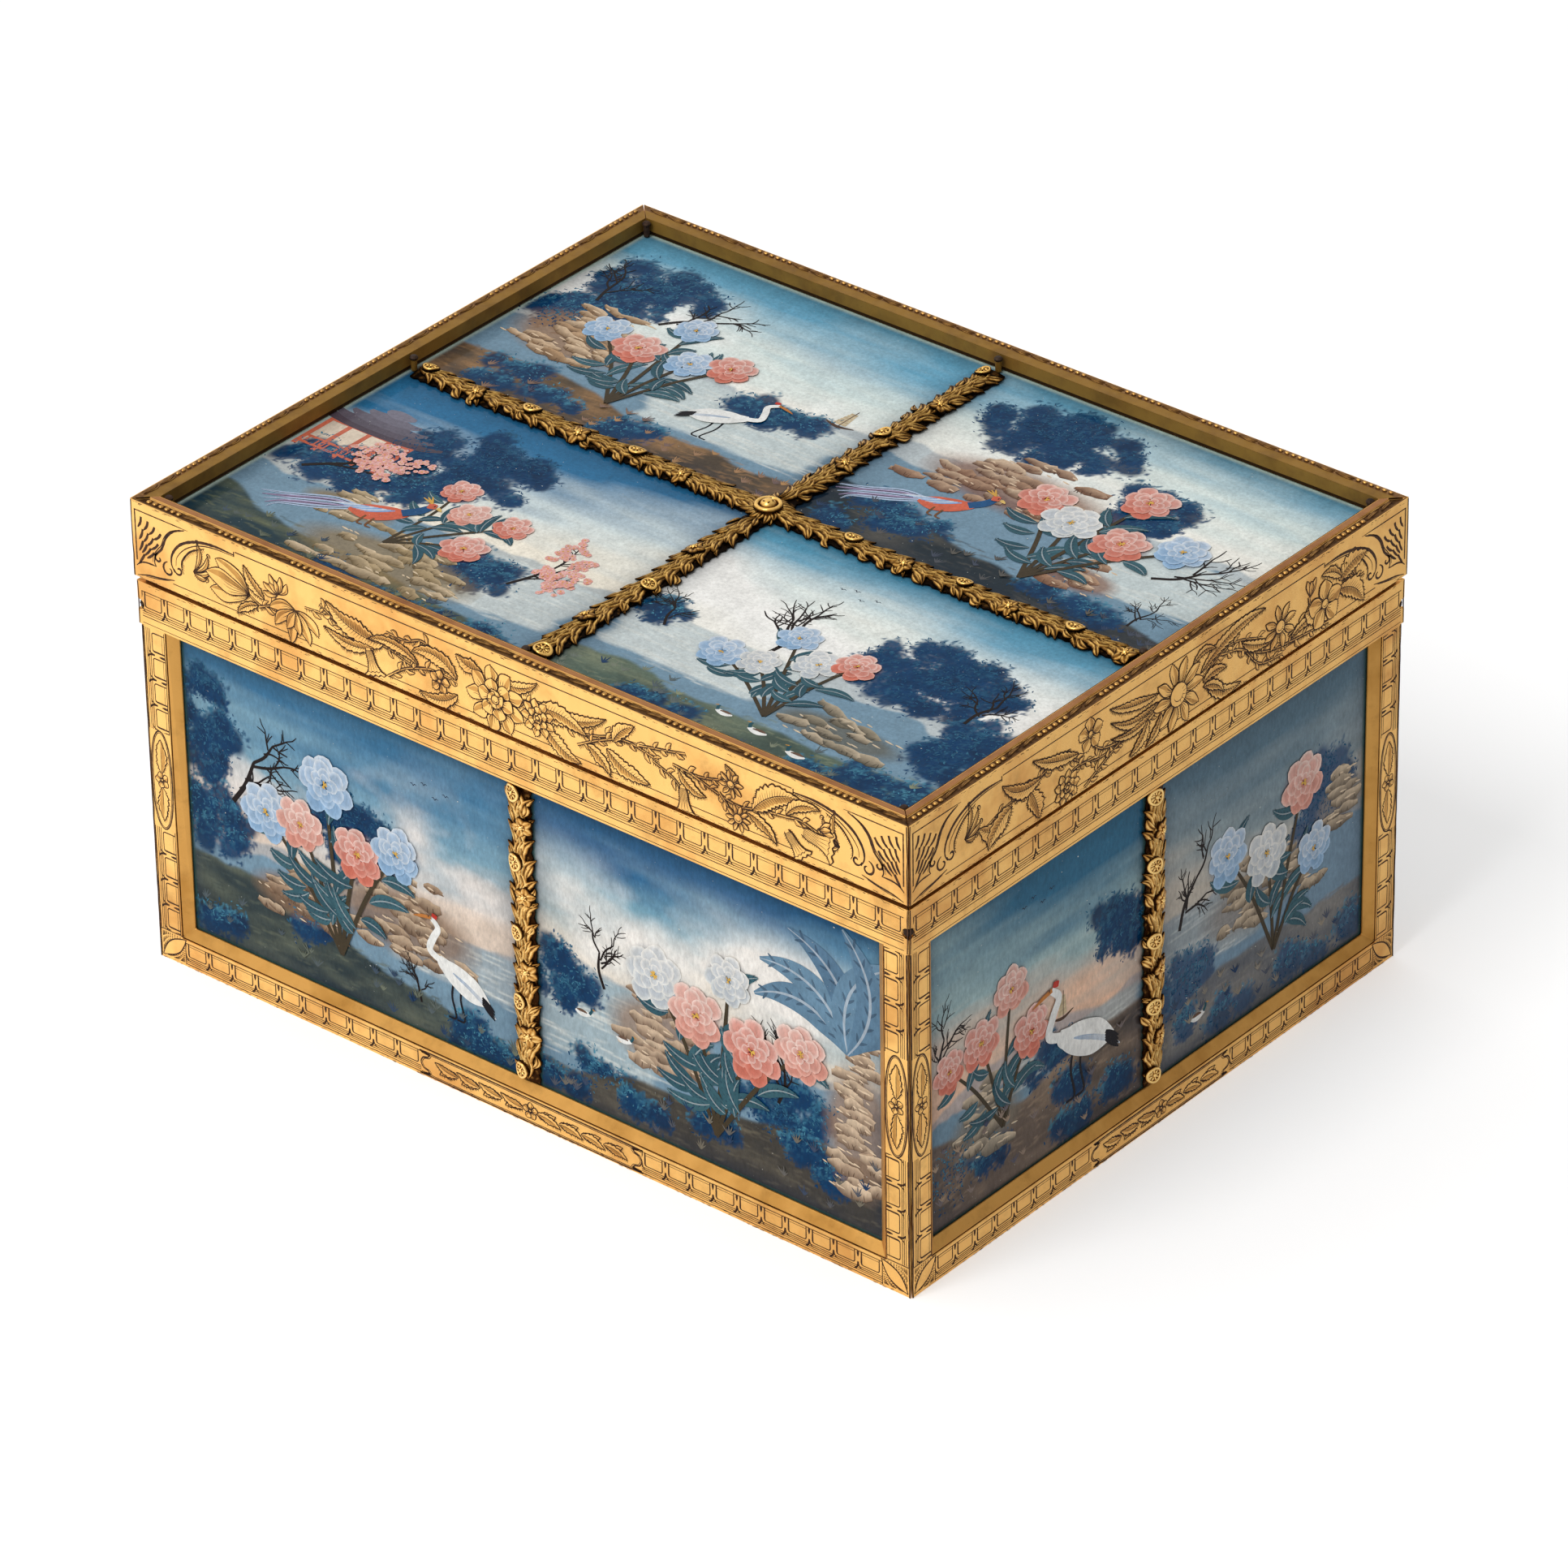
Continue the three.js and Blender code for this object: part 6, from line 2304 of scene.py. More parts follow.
@dataclass(frozen=True)
class Scenery:
    """What one pane shows. Places are shares of its width and height, and sizes are shares of its height.

    Attributes:
        sky: The colours at the top, in the middle and at the horizon.
        clouds: How much cloud there is.
        horizon: The horizon's height.
        hills: The far hills' colour.
        water: The water's left edge, right edge and low edge.
        bank: The front bank's height at the left and at the right.
        soil: The bank's darker and lighter colours.
        trees: Masses of leaves: x, y, width, height and lightness.
        stones: Rock stacks: x, y, width and height.
        stone: The rocks' colour.
        bare: Leafless trees: x, y, size and direction.
        shrubs: Flowering shrubs: x, y, height, lean and the colours of the blooms.
        birds: Birds: kind, x, y, size and facing.
        boats: Far boats: x, y and size.
        house: A garden house: x, y and size, or nothing.
        fronds: A tuft of broad leaves: x, y and size, or nothing.
        flock: The place of far birds, or nothing.
        blossom: The colour of blossom on the leafless trees, or nothing.
        haze: How much a grey-blue film dulls the picture.
    """

    sky: tuple[Colour, Colour, Colour]
    clouds: float = 0.4
    horizon: float = 0.42
    hills: Colour = linear(120, 150, 170)
    water: tuple[float, float, float] = (0.5, 1.0, 0.22)
    bank: tuple[float, float] = (0.24, 0.12)
    soil: tuple[Colour, Colour] = (linear(52, 60, 58), linear(104, 112, 88))
    trees: tuple[tuple[float, float, float, float, float], ...] = ()
    stones: tuple[tuple[float, float, float, float], ...] = ()
    stone: Colour = linear(150, 118, 92)
    bare: tuple[tuple[float, float, float, float], ...] = ()
    shrubs: tuple[tuple[float, float, float, float, str], ...] = ()
    birds: tuple[tuple[Pose, float, float, float, int], ...] = ()
    boats: tuple[tuple[float, float, float], ...] = ()
    house: Optional[tuple[float, float, float]] = None
    fronds: Optional[tuple[float, float, float]] = None
    flock: Optional[tuple[float, float]] = None
    blossom: Optional[Colour] = None
    haze: float = 0.0

    BLOOMS = {
        "c": linear(222, 118, 92), "p": linear(232, 160, 140), "b": linear(150, 190, 226),
        "w": linear(222, 224, 220), "y": linear(226, 202, 150),
    }

    def paint(self, canvas: Canvas) -> None:
        """Paints the picture from back to front."""
        wide, high = canvas.width, canvas.height
        navy, lit = linear(2, 60, 100), linear(104, 184, 206)
        horizon = self.horizon * high
        canvas.sky(*self.sky, horizon)
        canvas.clouds(self.clouds, horizon + 0.04 * high, 0.8 * high, mix(self.sky[2], (1, 1, 1), 0.5))
        canvas.hills(horizon - 0.03 * high, 0.14 * high, 22.0, mix(self.hills, self.sky[2], 0.45), 0.7)
        canvas.hills(horizon - 0.06 * high, 0.1 * high, 14.0, self.hills, 0.8)
        left, right, low = self.water
        glint = linear(224, 228, 222)
        canvas.water(
            low * high, horizon + 1.5, mix(mix(self.sky[1], self.sky[2], 0.4), self.hills, 0.35), glint,
            left * wide, right * wide
        )
        for x, y, size in self.boats:
            canvas.boat((x * wide, y * high), size * high)
        if self.house:
            canvas.pavilion((self.house[0] * wide, self.house[1] * high), self.house[2] * high)
        for x, y, span, rise, light in self.trees:
            canvas.foliage((x * wide, y * high), span * wide, rise * high, navy, mix(navy, lit, light))
        canvas.ground(self.bank[0] * high, self.bank[1] * high, *self.soil)
        for _ in range(5):
            x = canvas.rng.uniform(0.05, 0.95)
            crest = self.bank[0] + (self.bank[1] - self.bank[0]) * x
            spot = (x * wide, crest * canvas.rng.uniform(0.2, 0.9) * high)
            canvas.foliage(spot, canvas.rng.uniform(0.1, 0.2) * wide, 0.07 * high, navy, mix(navy, lit, 0.6))
        for x, y, span, rise in self.stones:
            canvas.rocks((x * wide, y * high), span * wide, rise * high, self.stone)
        for x, y, size, way in self.bare:
            canvas.bare_tree((x * wide, y * high), size * high, way, linear(34, 24, 22), self.blossom)
        if self.fronds:
            x, y, size = self.fronds
            root = (x * wide, y * high)
            for angle, share in (
                (168, 0.2), (20, 0.35), (148, 0.1), (38, 0.3), (122, 0.4), (62, 0.15), (92, 0.3)
            ):
                tip = polar(root, angle, size * high * (0.8 + 0.2 * math.sin(math.radians(angle))))
                bow = 0.22 if angle < 90 else -0.22
                canvas.broad_leaf(root, tip, size * high * 0.24, mix(linear(112, 146, 170), navy, share), bow)
        for x, y, size, lean, tones in self.shrubs:
            blooms = [self.BLOOMS[letter] for letter in tones]
            canvas.shrub((x * wide, y * high), size * high, blooms, linear(48, 84, 96), lean)
        for pose, x, y, size, facing in self.birds:
            canvas.bird(pose, (x * wide, y * high), size * high, facing)
        if self.flock:
            canvas.flock((self.flock[0] * wide, self.flock[1] * high), 4)
        self.tufts(canvas)
        canvas.wash(linear(120, 138, 162), np.full(canvas.x.shape, self.haze))
        # Painted shade: a dark navy wash fading in from the picture's edges, the shadow that the mounts cast
        # onto the pane.
        edge = np.minimum.reduce([canvas.x, wide - canvas.x, canvas.y, (high - canvas.y) * 0.7])
        canvas.wash(linear(8, 38, 62), 0.62 * np.exp(-edge / 3.4))
        canvas.specks(14)

    def tufts(self, canvas: Canvas) -> None:
        """Paints grass and small leaves along the front bank."""
        for _ in range(26):
            x = canvas.rng.uniform(0.02, 0.98) * canvas.width
            crest = self.bank[0] + (self.bank[1] - self.bank[0]) * x / canvas.width
            y = canvas.rng.uniform(0.1, 0.95) * crest * canvas.height
            tone = mix(self.soil[1], linear(30, 60, 96), canvas.rng.random())
            for blade in range(5):
                tip = polar((x, y), 90 + (blade - 2) * 22, canvas.rng.uniform(1.4, 3.2))
                canvas.stroke([(x, y), mix((x, y), tip, 0.6), tip], 0.4, tone, 0.8, 0.2)


BLUE_DUSK = (linear(64, 118, 156), linear(134, 172, 190), linear(228, 208, 190))
CLEAR_SKY = (linear(50, 116, 156), linear(146, 194, 208), linear(232, 228, 214))
PALE_SKY = (linear(104, 168, 198), linear(220, 234, 230), linear(250, 248, 238))
DEEP_SKY = (linear(42, 98, 142), linear(128, 172, 190), linear(234, 224, 208))
DULL_SKY = (linear(84, 116, 130), linear(150, 164, 164), linear(216, 202, 180))
BROWN_SOIL = (linear(78, 62, 54), linear(140, 112, 90))
GREY_SOIL = (linear(52, 64, 66), linear(112, 118, 100))

SIDE_SCENES = {
    "front_pane_left": Scenery(
        BLUE_DUSK, 0.45, 0.36,
        trees=((0.06, 0.74, 0.2, 0.4, 0.3), (0.5, 0.56, 0.26, 0.3, 0.25), (0.08, 0.42, 0.24, 0.2, 0.5)),
        stones=((0.66, 0.24, 0.44, 0.26), (0.34, 0.2, 0.3, 0.16)),
        bare=((0.14, 0.5, 0.46, 62), (0.7, 0.1, 0.2, 100)),
        shrubs=((0.46, 0.14, 0.6, 4, "bpbcb"),), birds=((Pose.HERON, 0.82, 0.1, 0.32, -1),),
        water=(0.6, 1.0, 0.2), bank=(0.3, 0.08), soil=GREY_SOIL, flock=(0.7, 0.82),
    ),
    "front_pane_right": Scenery(
        DEEP_SKY, 0.66, 0.44,
        trees=((0.08, 0.4, 0.2, 0.2, 0.4), (0.72, 0.28, 0.3, 0.2, 0.4), (0.2, 0.14, 0.2, 0.1, 0.6)),
        stones=((0.36, 0.24, 0.3, 0.26), (0.93, 0.12, 0.2, 0.5)), stone=linear(170, 140, 116),
        bare=((0.2, 0.42, 0.3, 96), (0.7, 0.3, 0.32, 80)),
        shrubs=((0.52, 0.1, 0.6, -6, "wpwcp"),),
        birds=((Pose.DUCK, 0.14, 0.3, 0.07, 1), (Pose.DUCK, 0.26, 0.27, 0.07, 1)),
        water=(0.0, 0.34, 0.14), bank=(0.1, 0.26), fronds=(0.9, 0.56, 0.4),
        soil=(linear(72, 68, 62), linear(124, 116, 98)),
    ),
    "right_pane_left": Scenery(
        (linear(54, 110, 142), linear(162, 188, 190), linear(244, 200, 170)), 0.3, 0.36,
        trees=((0.9, 0.6, 0.3, 0.22, 0.3), (0.12, 0.14, 0.3, 0.16, 0.6), (0.6, 0.3, 0.3, 0.12, 0.4)),
        stones=((0.26, 0.16, 0.34, 0.22),), stone=linear(140, 132, 118), bare=((0.04, 0.5, 0.3, 74),),
        shrubs=((0.34, 0.2, 0.5, 6, "ccpc"),), birds=((Pose.HERON, 0.7, 0.14, 0.42, -1),),
        boats=((0.62, 0.42, 0.09),),
        water=(0.4, 1.0, 0.28), bank=(0.26, 0.28), soil=(linear(108, 94, 84), linear(168, 144, 120)),
        flock=(0.44, 0.86),
    ),
    "right_pane_right": Scenery(
        DULL_SKY, 0.3, 0.46, trees=((0.8, 0.56, 0.3, 0.28, 0.2), (0.1, 0.26, 0.3, 0.2, 0.4)),
        stones=((0.5, 0.3, 0.6, 0.22), (0.88, 0.44, 0.24, 0.16)),
        stone=linear(152, 136, 116), bare=((0.1, 0.44, 0.4, 60),), shrubs=((0.56, 0.16, 0.56, -4, "bwpb"),),
        birds=((Pose.DUCK, 0.2, 0.1, 0.08, 1),),
        water=(0.0, 0.5, 0.26), bank=(0.2, 0.22), soil=(linear(104, 100, 94), linear(156, 146, 128)),
        haze=0.24,
    ),
    "back_pane_left": Scenery(
        CLEAR_SKY, 0.5, 0.4, trees=((0.88, 0.6, 0.24, 0.4, 0.4), (0.2, 0.38, 0.3, 0.16, 0.5)),
        stones=((0.7, 0.2, 0.4, 0.2),),
        bare=((0.84, 0.4, 0.4, 112),), shrubs=((0.42, 0.12, 0.54, 0, "pwbpc"),),
        birds=((Pose.PHEASANT, 0.72, 0.42, 0.26, -1),),
        boats=((0.2, 0.44, 0.1),), water=(0.0, 0.6, 0.22), bank=(0.14, 0.26), soil=GREY_SOIL,
    ),
    "back_pane_right": Scenery(
        BLUE_DUSK, 0.4, 0.42, trees=((0.1, 0.5, 0.3, 0.3, 0.3), (0.6, 0.36, 0.2, 0.14, 0.5)),
        stones=((0.3, 0.18, 0.36, 0.24), (0.86, 0.16, 0.2, 0.16)),
        bare=((0.2, 0.44, 0.46, 74),), shrubs=((0.7, 0.1, 0.5, 4, "cbwc"),),
        birds=((Pose.HERON, 0.4, 0.42, 0.3, 1),), house=(0.84, 0.42, 0.2),
        water=(0.3, 0.9, 0.24), bank=(0.26, 0.14), soil=BROWN_SOIL,
    ),
    "left_pane_left": Scenery(
        DEEP_SKY, 0.4, 0.4, trees=((0.14, 0.56, 0.34, 0.32, 0.3), (0.86, 0.3, 0.2, 0.16, 0.5)),
        stones=((0.74, 0.16, 0.4, 0.24),),
        bare=((0.3, 0.44, 0.34, 58),), shrubs=((0.4, 0.12, 0.54, -6, "wbcw"),),
        birds=((Pose.PHEASANT, 0.78, 0.4, 0.24, -1),),
        water=(0.3, 1.0, 0.24), bank=(0.26, 0.12), soil=GREY_SOIL, flock=(0.5, 0.84),
    ),
    "left_pane_right": Scenery(
        PALE_SKY, 0.5, 0.42, trees=((0.86, 0.58, 0.3, 0.34, 0.4),), stones=((0.24, 0.18, 0.36, 0.3),),
        bare=((0.82, 0.4, 0.4, 120),),
        shrubs=((0.6, 0.12, 0.5, 8, "ppcb"),), birds=((Pose.HERON, 0.24, 0.44, 0.3, 1),),
        boats=((0.44, 0.46, 0.1),),
        water=(0.2, 0.9, 0.24), bank=(0.16, 0.2), soil=BROWN_SOIL,
    ),
}

LID_SCENES = {
    "front_left": Scenery(
        (linear(50, 116, 160), linear(214, 226, 226), linear(248, 240, 222)), 0.3, 0.4,
        trees=((0.4, 0.72, 0.42, 0.36, 0.2), (0.2, 0.5, 0.4, 0.2, 0.5), (0.7, 0.3, 0.24, 0.16, 0.5)),
        stones=((0.52, 0.1, 0.5, 0.22), (0.3, 0.3, 0.24, 0.12)), stone=linear(160, 136, 92),
        bare=((0.1, 0.44, 0.4, 40), (0.78, 0.3, 0.34, 70)),
        shrubs=((0.46, 0.26, 0.42, -30, "cpcc"),), birds=((Pose.PHEASANT, 0.36, 0.3, 0.3, 1),),
        house=(0.13, 0.52, 0.36),
        water=(0.66, 1.0, 0.14), bank=(0.24, 0.06), soil=(linear(40, 62, 70), linear(120, 124, 92)),
        blossom=linear(226, 150, 138),
    ),
    "front_right": Scenery(
        (linear(88, 160, 192), linear(228, 238, 234), linear(248, 245, 234)), 0.72, 0.44,
        trees=((0.7, 0.62, 0.42, 0.34, 0.2), (0.92, 0.4, 0.2, 0.34, 0.3), (0.06, 0.46, 0.16, 0.12, 0.7)),
        stones=((0.66, 0.2, 0.34, 0.14),), stone=linear(112, 108, 92),
        bare=((0.34, 0.44, 0.4, 92), (0.1, 0.4, 0.24, 110), (0.84, 0.5, 0.3, 80)),
        shrubs=((0.5, 0.2, 0.46, 26, "bwbwc"),),
        birds=(
            (Pose.DUCK, 0.52, 0.12, 0.08, -1), (Pose.DUCK, 0.64, 0.09, 0.08, -1),
            (Pose.DUCK, 0.42, 0.14, 0.07, -1)
        ),
        water=(0.0, 0.46, 0.22), bank=(0.2, 0.2), soil=(linear(86, 104, 92), linear(140, 146, 118)),
        flock=(0.3, 0.84),
    ),
    "back_left": Scenery(
        PALE_SKY, 0.5, 0.42,
        trees=((0.2, 0.74, 0.34, 0.3, 0.4), (0.1, 0.52, 0.3, 0.24, 0.5), (0.78, 0.4, 0.26, 0.14, 0.6)),
        stones=((0.2, 0.28, 0.34, 0.3),), stone=linear(176, 134, 92),
        bare=((0.3, 0.6, 0.36, 40), (0.12, 0.6, 0.3, 100)),
        shrubs=((0.44, 0.16, 0.5, 8, "bcbbc"),), birds=((Pose.HERON, 0.68, 0.18, 0.28, 1),),
        water=(0.5, 1.0, 0.16), bank=(0.2, 0.12), soil=(linear(92, 78, 62), linear(182, 138, 92)),
        boats=((0.9, 0.46, 0.1),),
    ),
    "back_right": Scenery(
        PALE_SKY, 0.34, 0.46,
        trees=((0.26, 0.78, 0.44, 0.3, 0.2), (0.6, 0.62, 0.22, 0.26, 0.3), (0.2, 0.16, 0.3, 0.14, 0.5)),
        stones=((0.34, 0.38, 0.5, 0.26), (0.66, 0.16, 0.2, 0.14)), stone=linear(150, 104, 78),
        bare=((0.78, 0.34, 0.36, 48), (0.86, 0.1, 0.22, 80)),
        shrubs=((0.56, 0.12, 0.54, -4, "cwccb"),), birds=((Pose.PHEASANT, 0.24, 0.24, 0.28, 1),),
        water=(0.6, 1.0, 0.2), bank=(0.26, 0.06), soil=(linear(40, 50, 56), linear(96, 92, 84)),
    ),
}


@dataclass
class PaintedPane:
    """A glass pane that shows its picture.

    Attributes:
        node: The CAD node that it stands for.
        body: Its body.
        face: The node's outer face.
        thickness: The pane's thickness in millimetres.
        margins: What the mounts hide at the left, right, bottom and top.
        scenery: The picture.
        seed: The seed of its brushwork.
        rims: The width of the toned edge at the left, right, bottom and top.
        rim_tone: The colour of that edge.
    """

    node: str
    body: str
    face: NodeFace
    thickness: float
    margins: tuple[float, float, float, float]
    scenery: Scenery
    seed: int
    rims: tuple[float, float, float, float]
    rim_tone: Colour

    def build(self, finishes: Finishes) -> None:
        """Paints the picture and makes the pane's slab around it."""
        left, right, low, high = self.margins
        canvas = Canvas(self.face.width - left - right, self.face.height - low - high, self.seed)
        self.scenery.paint(canvas)
        canvas.edge(*self.rims, self.rim_tone)
        rows, columns = canvas.x.shape
        xs = [0.0, *(left + canvas.x[0]), self.face.width]
        ys = [0.0, *(low + canvas.y[:, 0]), self.face.height]
        spread = np.pad(canvas.colours, ((1, 1), (1, 1), (0, 0)), mode="edge").reshape(-1, 3)
        wide, tall = columns + 2, rows + 2
        front = [(x, y, 0.0) for y in ys for x in xs]
        faces = [
            (
                row * wide + column, row * wide + column + 1, (row + 1) * wide + column + 1,
                (row + 1) * wide + column
            )
            for row in range(tall - 1)
            for column in range(wide - 1)
        ]
        slab = Draft()
        slab.add(front, faces, [tuple(colour) for colour in spread.tolist()])
        rim = [*range(wide), *(row * wide + wide - 1 for row in range(1, tall))]
        rim += [
            *(tall * wide - 1 - step for step in range(1, wide)),
            *(row * wide for row in range(tall - 2, 0, -1))
        ]
        back = [(front[index][0], front[index][1], -self.thickness) for index in rim]
        start = len(slab.points)
        slab.add(back, [], [linear(70, 88, 84)] * len(back))
        count = len(rim)
        slab.faces += [
            (rim[i], start + i, start + (i + 1) % count, rim[(i + 1) % count]) for i in range(count)
        ]
        slab.faces.append(tuple(start + i for i in range(count - 1, -1, -1)))
        slab.finishes += [0] * (count + 1)
        slab.add(
            [(x + left, y + low, z) for x, y, z in canvas.ink.points], canvas.ink.faces, canvas.ink.colours
        )
        piece = slab.build(f"{self.node}_painted", self.face.plane.matrix(), finishes.paint)
        seat(piece, self.body, "painted_glass", self.node)


def side_panes() -> list[PaintedPane]:
    """The eight upright panes; the mounts hide their outer edges and the garland their inner ones."""
    panes = []
    for number, (node, scenery) in enumerate(SIDE_SCENES.items()):
        side = Side[node.split("_")[0].upper()]
        outer, inner = 4.5, 2.6
        margins = (outer, inner, 4.0, 2.0) if node.endswith("left") else (inner, outer, 4.0, 2.0)
        face = side_face(node, side)
        panes.append(
            PaintedPane(
                node, "base", face, 2.0, margins, scenery, 70 + number, (1.2, 1.2, 1.0, 1.0),
                linear(64, 92, 88)
            )
        )
    return panes


def lid_panes() -> list[PaintedPane]:
    """The four panes of the lid, whose ground edges show pale along the rim's walls."""
    panes = []
    for number, (corner, scenery) in enumerate(LID_SCENES.items()):
        node = f"lid_pane_{corner}"
        outer, inner = 3.0, 2.6
        across = (outer, inner) if corner.endswith("left") else (inner, outer)
        along = (outer, inner) if corner.startswith("front") else (inner, outer)
        rims = tuple(1.7 if margin == outer else 0.0 for margin in (*across, *along))
        face = top_face(node)
        panes.append(
            PaintedPane(
                node, "lid", face, 2.0, (*across, *along), scenery, 90 + number, rims, linear(176, 196, 186)
            )
        )
    return panes


class Caster:
    """Models cast and chased ornament from domed leaves, petals, beads and rings.

    Attributes:
        draft: The shells so far; their relief value is 0 in the hollows and 1 on the tops, which the cast
            finishes show as painted shade and painted highlight.
    """

    DEEP = 0.5

    def __init__(self, seed: int) -> None:
        """Starts an empty ornament.

        Args:
            seed: The seed of its small differences.
        """
        self.draft = Draft()
        self.rng = random.Random(seed)

    def leaf(
        self,
        base: Point,
        tip: Point,
        width: float,
        height: float,
        level: float,
        bend: float = 0.0,
        curl: float = 0.0,
        groove: float = 0.3,
        steps: int = 6,
        lanes: int = 4,
    ) -> None:
        """Models a domed leaf with a groove along its middle, and ribs across it unless the groove is deep.

        Args:
            base: Where it grows from.
            tip: Where it ends.
            width: Its width.
            height: The height of its dome.
            level: The height that it lies on.
            bend: How far its middle bows to the left, as a share of its length.
            curl: How far its tip rises.
            groove: The depth of its groove, as a share of the dome; past DEEP it is one sharp cut.
            steps: The number of faces along it.
            lanes: The number of faces across it.
        """
        length = math.dist(base, tip)
        along = ((tip[0] - base[0]) / length, (tip[1] - base[1]) / length)
        points, values = [], []
        for step in range(steps + 1):
            t = step / steps
            bow = bend * length * 4 * t * (1 - t)
            spot = (
                base[0] + along[0] * length * t - along[1] * bow,
                base[1] + along[1] * length * t + along[0] * bow
            )
            half = width / 2 * (math.sin(math.pi * min(0.985, 0.06 + 0.93 * t)) ** 0.7)
            half *= 1.0 + 0.1 * math.sin(t * 19.0)
            for lane in range(lanes + 1):
                s = 2 * lane / lanes - 1
                dome = (1 - s * s) ** 0.6 * math.sin(math.pi * (0.1 + 0.82 * t)) ** 0.5
                cut = groove * math.exp(-((s / 0.2) ** 2)) + 0.14 * (
                    0.5 + 0.5 * math.sin(t * 26 + abs(s) * 5)
                )
                if groove > self.DEEP:
                    cut = groove if lane == lanes // 2 else 0.0
                rise = max(0.0, dome * (1 - cut))
                points.append(
                    (
                        spot[0] - along[1] * half * s, spot[1] + along[0] * half * s,
                        level + height * rise + curl * t * t
                    )
                )
                # Relief value by height: a painted highlight on the dome, painted shade in the groove and at
                # the edges.
                values.append(min(1.0, rise ** 1.5 * 1.2 - 0.1))
        row = lanes + 1
        faces = [
            (a, a + row, a + row + 1, a + 1)
            for a in (step * row + lane for step in range(steps) for lane in range(lanes))
        ]
        self.draft.add(points, faces, values=values)
        rim = [lane for lane in range(row)] + [step * row + lanes for step in range(1, steps + 1)]
        rim += [
            steps * row + lane for lane in range(lanes - 1, -1, -1)
        ] + [step * row for step in range(steps - 1, 0, -1)]
        self.skirt([points[index] for index in rim], level - 0.6)

    def skirt(self, rim: Sequence[tuple[float, float, float]], floor: float) -> None:
        """Closes a shell with a wall from its rim down to a level, whose relief value of 0 paints it dark as
        shade.
        """
        count = len(rim)
        points = [*rim, *((x, y, floor) for x, y, _ in rim)]
        area = sum(
            rim[i][0] * rim[(i + 1) % count][1] - rim[(i + 1) % count][0] * rim[i][1] for i in range(count)
        )
        if area > 0:
            faces = [(i, count + i, count + (i + 1) % count, (i + 1) % count) for i in range(count)]
        else:
            faces = [(i, (i + 1) % count, count + (i + 1) % count, count + i) for i in range(count)]
        self.draft.add(points, faces, values=[0.0] * len(points))

    def dome(self, centre: Point, radius: float, height: float, level: float, around: int = 14) -> None:
        """Models a bead."""
        points, values = [], []
        # A bead's relief value rises from foot to crown: painted shade below, a painted highlight on top.
        for angle in (0.0, 0.6, 1.15):
            for number in range(around):
                x, y = polar(centre, 360 * number / around, radius * math.cos(angle))
                points.append((x, y, level + height * math.sin(angle)))
                values.append(math.sin(angle) ** 0.7)
        points.append((*centre, level + height))
        values.append(1.0)
        faces = [
            (
                a * around + b, a * around + (b + 1) % around, (a + 1) * around + (b + 1) % around,
                (a + 1) * around + b
            )
            for a in range(2)
            for b in range(around)
        ]
        faces += [(2 * around + b, 2 * around + (b + 1) % around, 3 * around) for b in range(around)]
        self.draft.add(points, faces, values=values)
        self.skirt(points[:around], level - 0.4)

    def ring(self, centre: Point, radius: float, thick: float, level: float) -> None:
        """Models a rounded ring."""
        around, across = 22, 6
        points, values = [], []
        # The ring's relief value follows its height: a painted highlight on its crown, painted shade at its
        # sides.
        for number in range(around):
            for part in range(across):
                angle = math.pi * part / (across - 1)
                x, y = polar(centre, 360 * number / around, radius + thick * math.cos(angle))
                points.append((x, y, level + thick * 1.3 * math.sin(angle)))
                values.append(math.sin(angle))
        faces = [
            (
                number * across + part,
                (number + 1) % around * across + part,
                (number + 1) % around * across + part + 1,
                number * across + part + 1,
            )
            for number in range(around)
            for part in range(across - 1)
        ]
        self.draft.add(points, faces, values=values)

    def wheel(self, centre: Point, size: float, level: float) -> None:
        """Models a round disc flower: a rim, spokes and a bead."""
        self.dome(centre, size * 0.52, 0.25, level, 20)
        self.ring(centre, size * 0.43, size * 0.09, level + 0.2)
        for number in range(8):
            angle = 45 * number + 12
            self.leaf(
                polar(centre, angle, size * 0.1), polar(centre, angle, size * 0.4), size * 0.13, 0.45,
                level + 0.2, groove=0.0
            )
        self.dome(centre, size * 0.13, 0.6, level + 0.3)

    def blossom(self, centre: Point, size: float, level: float, turn: float, count: int = 5) -> None:
        """Models a flower with cupped petals and a beaded heart."""
        for number in range(count):
            angle = turn + 360 * number / count
            wide = size * 2.3 / count
            self.leaf(
                polar(centre, angle, size * 0.06), polar(centre, angle, size * 0.54), wide, 0.62, level,
                0.0, 0.25, 0.42
            )
        self.dome(centre, size * 0.13, 0.75, level + 0.3)
        for number in range(6):
            self.dome(polar(centre, 60 * number + turn, size * 0.15), size * 0.045, 0.5, level + 0.35, 8)


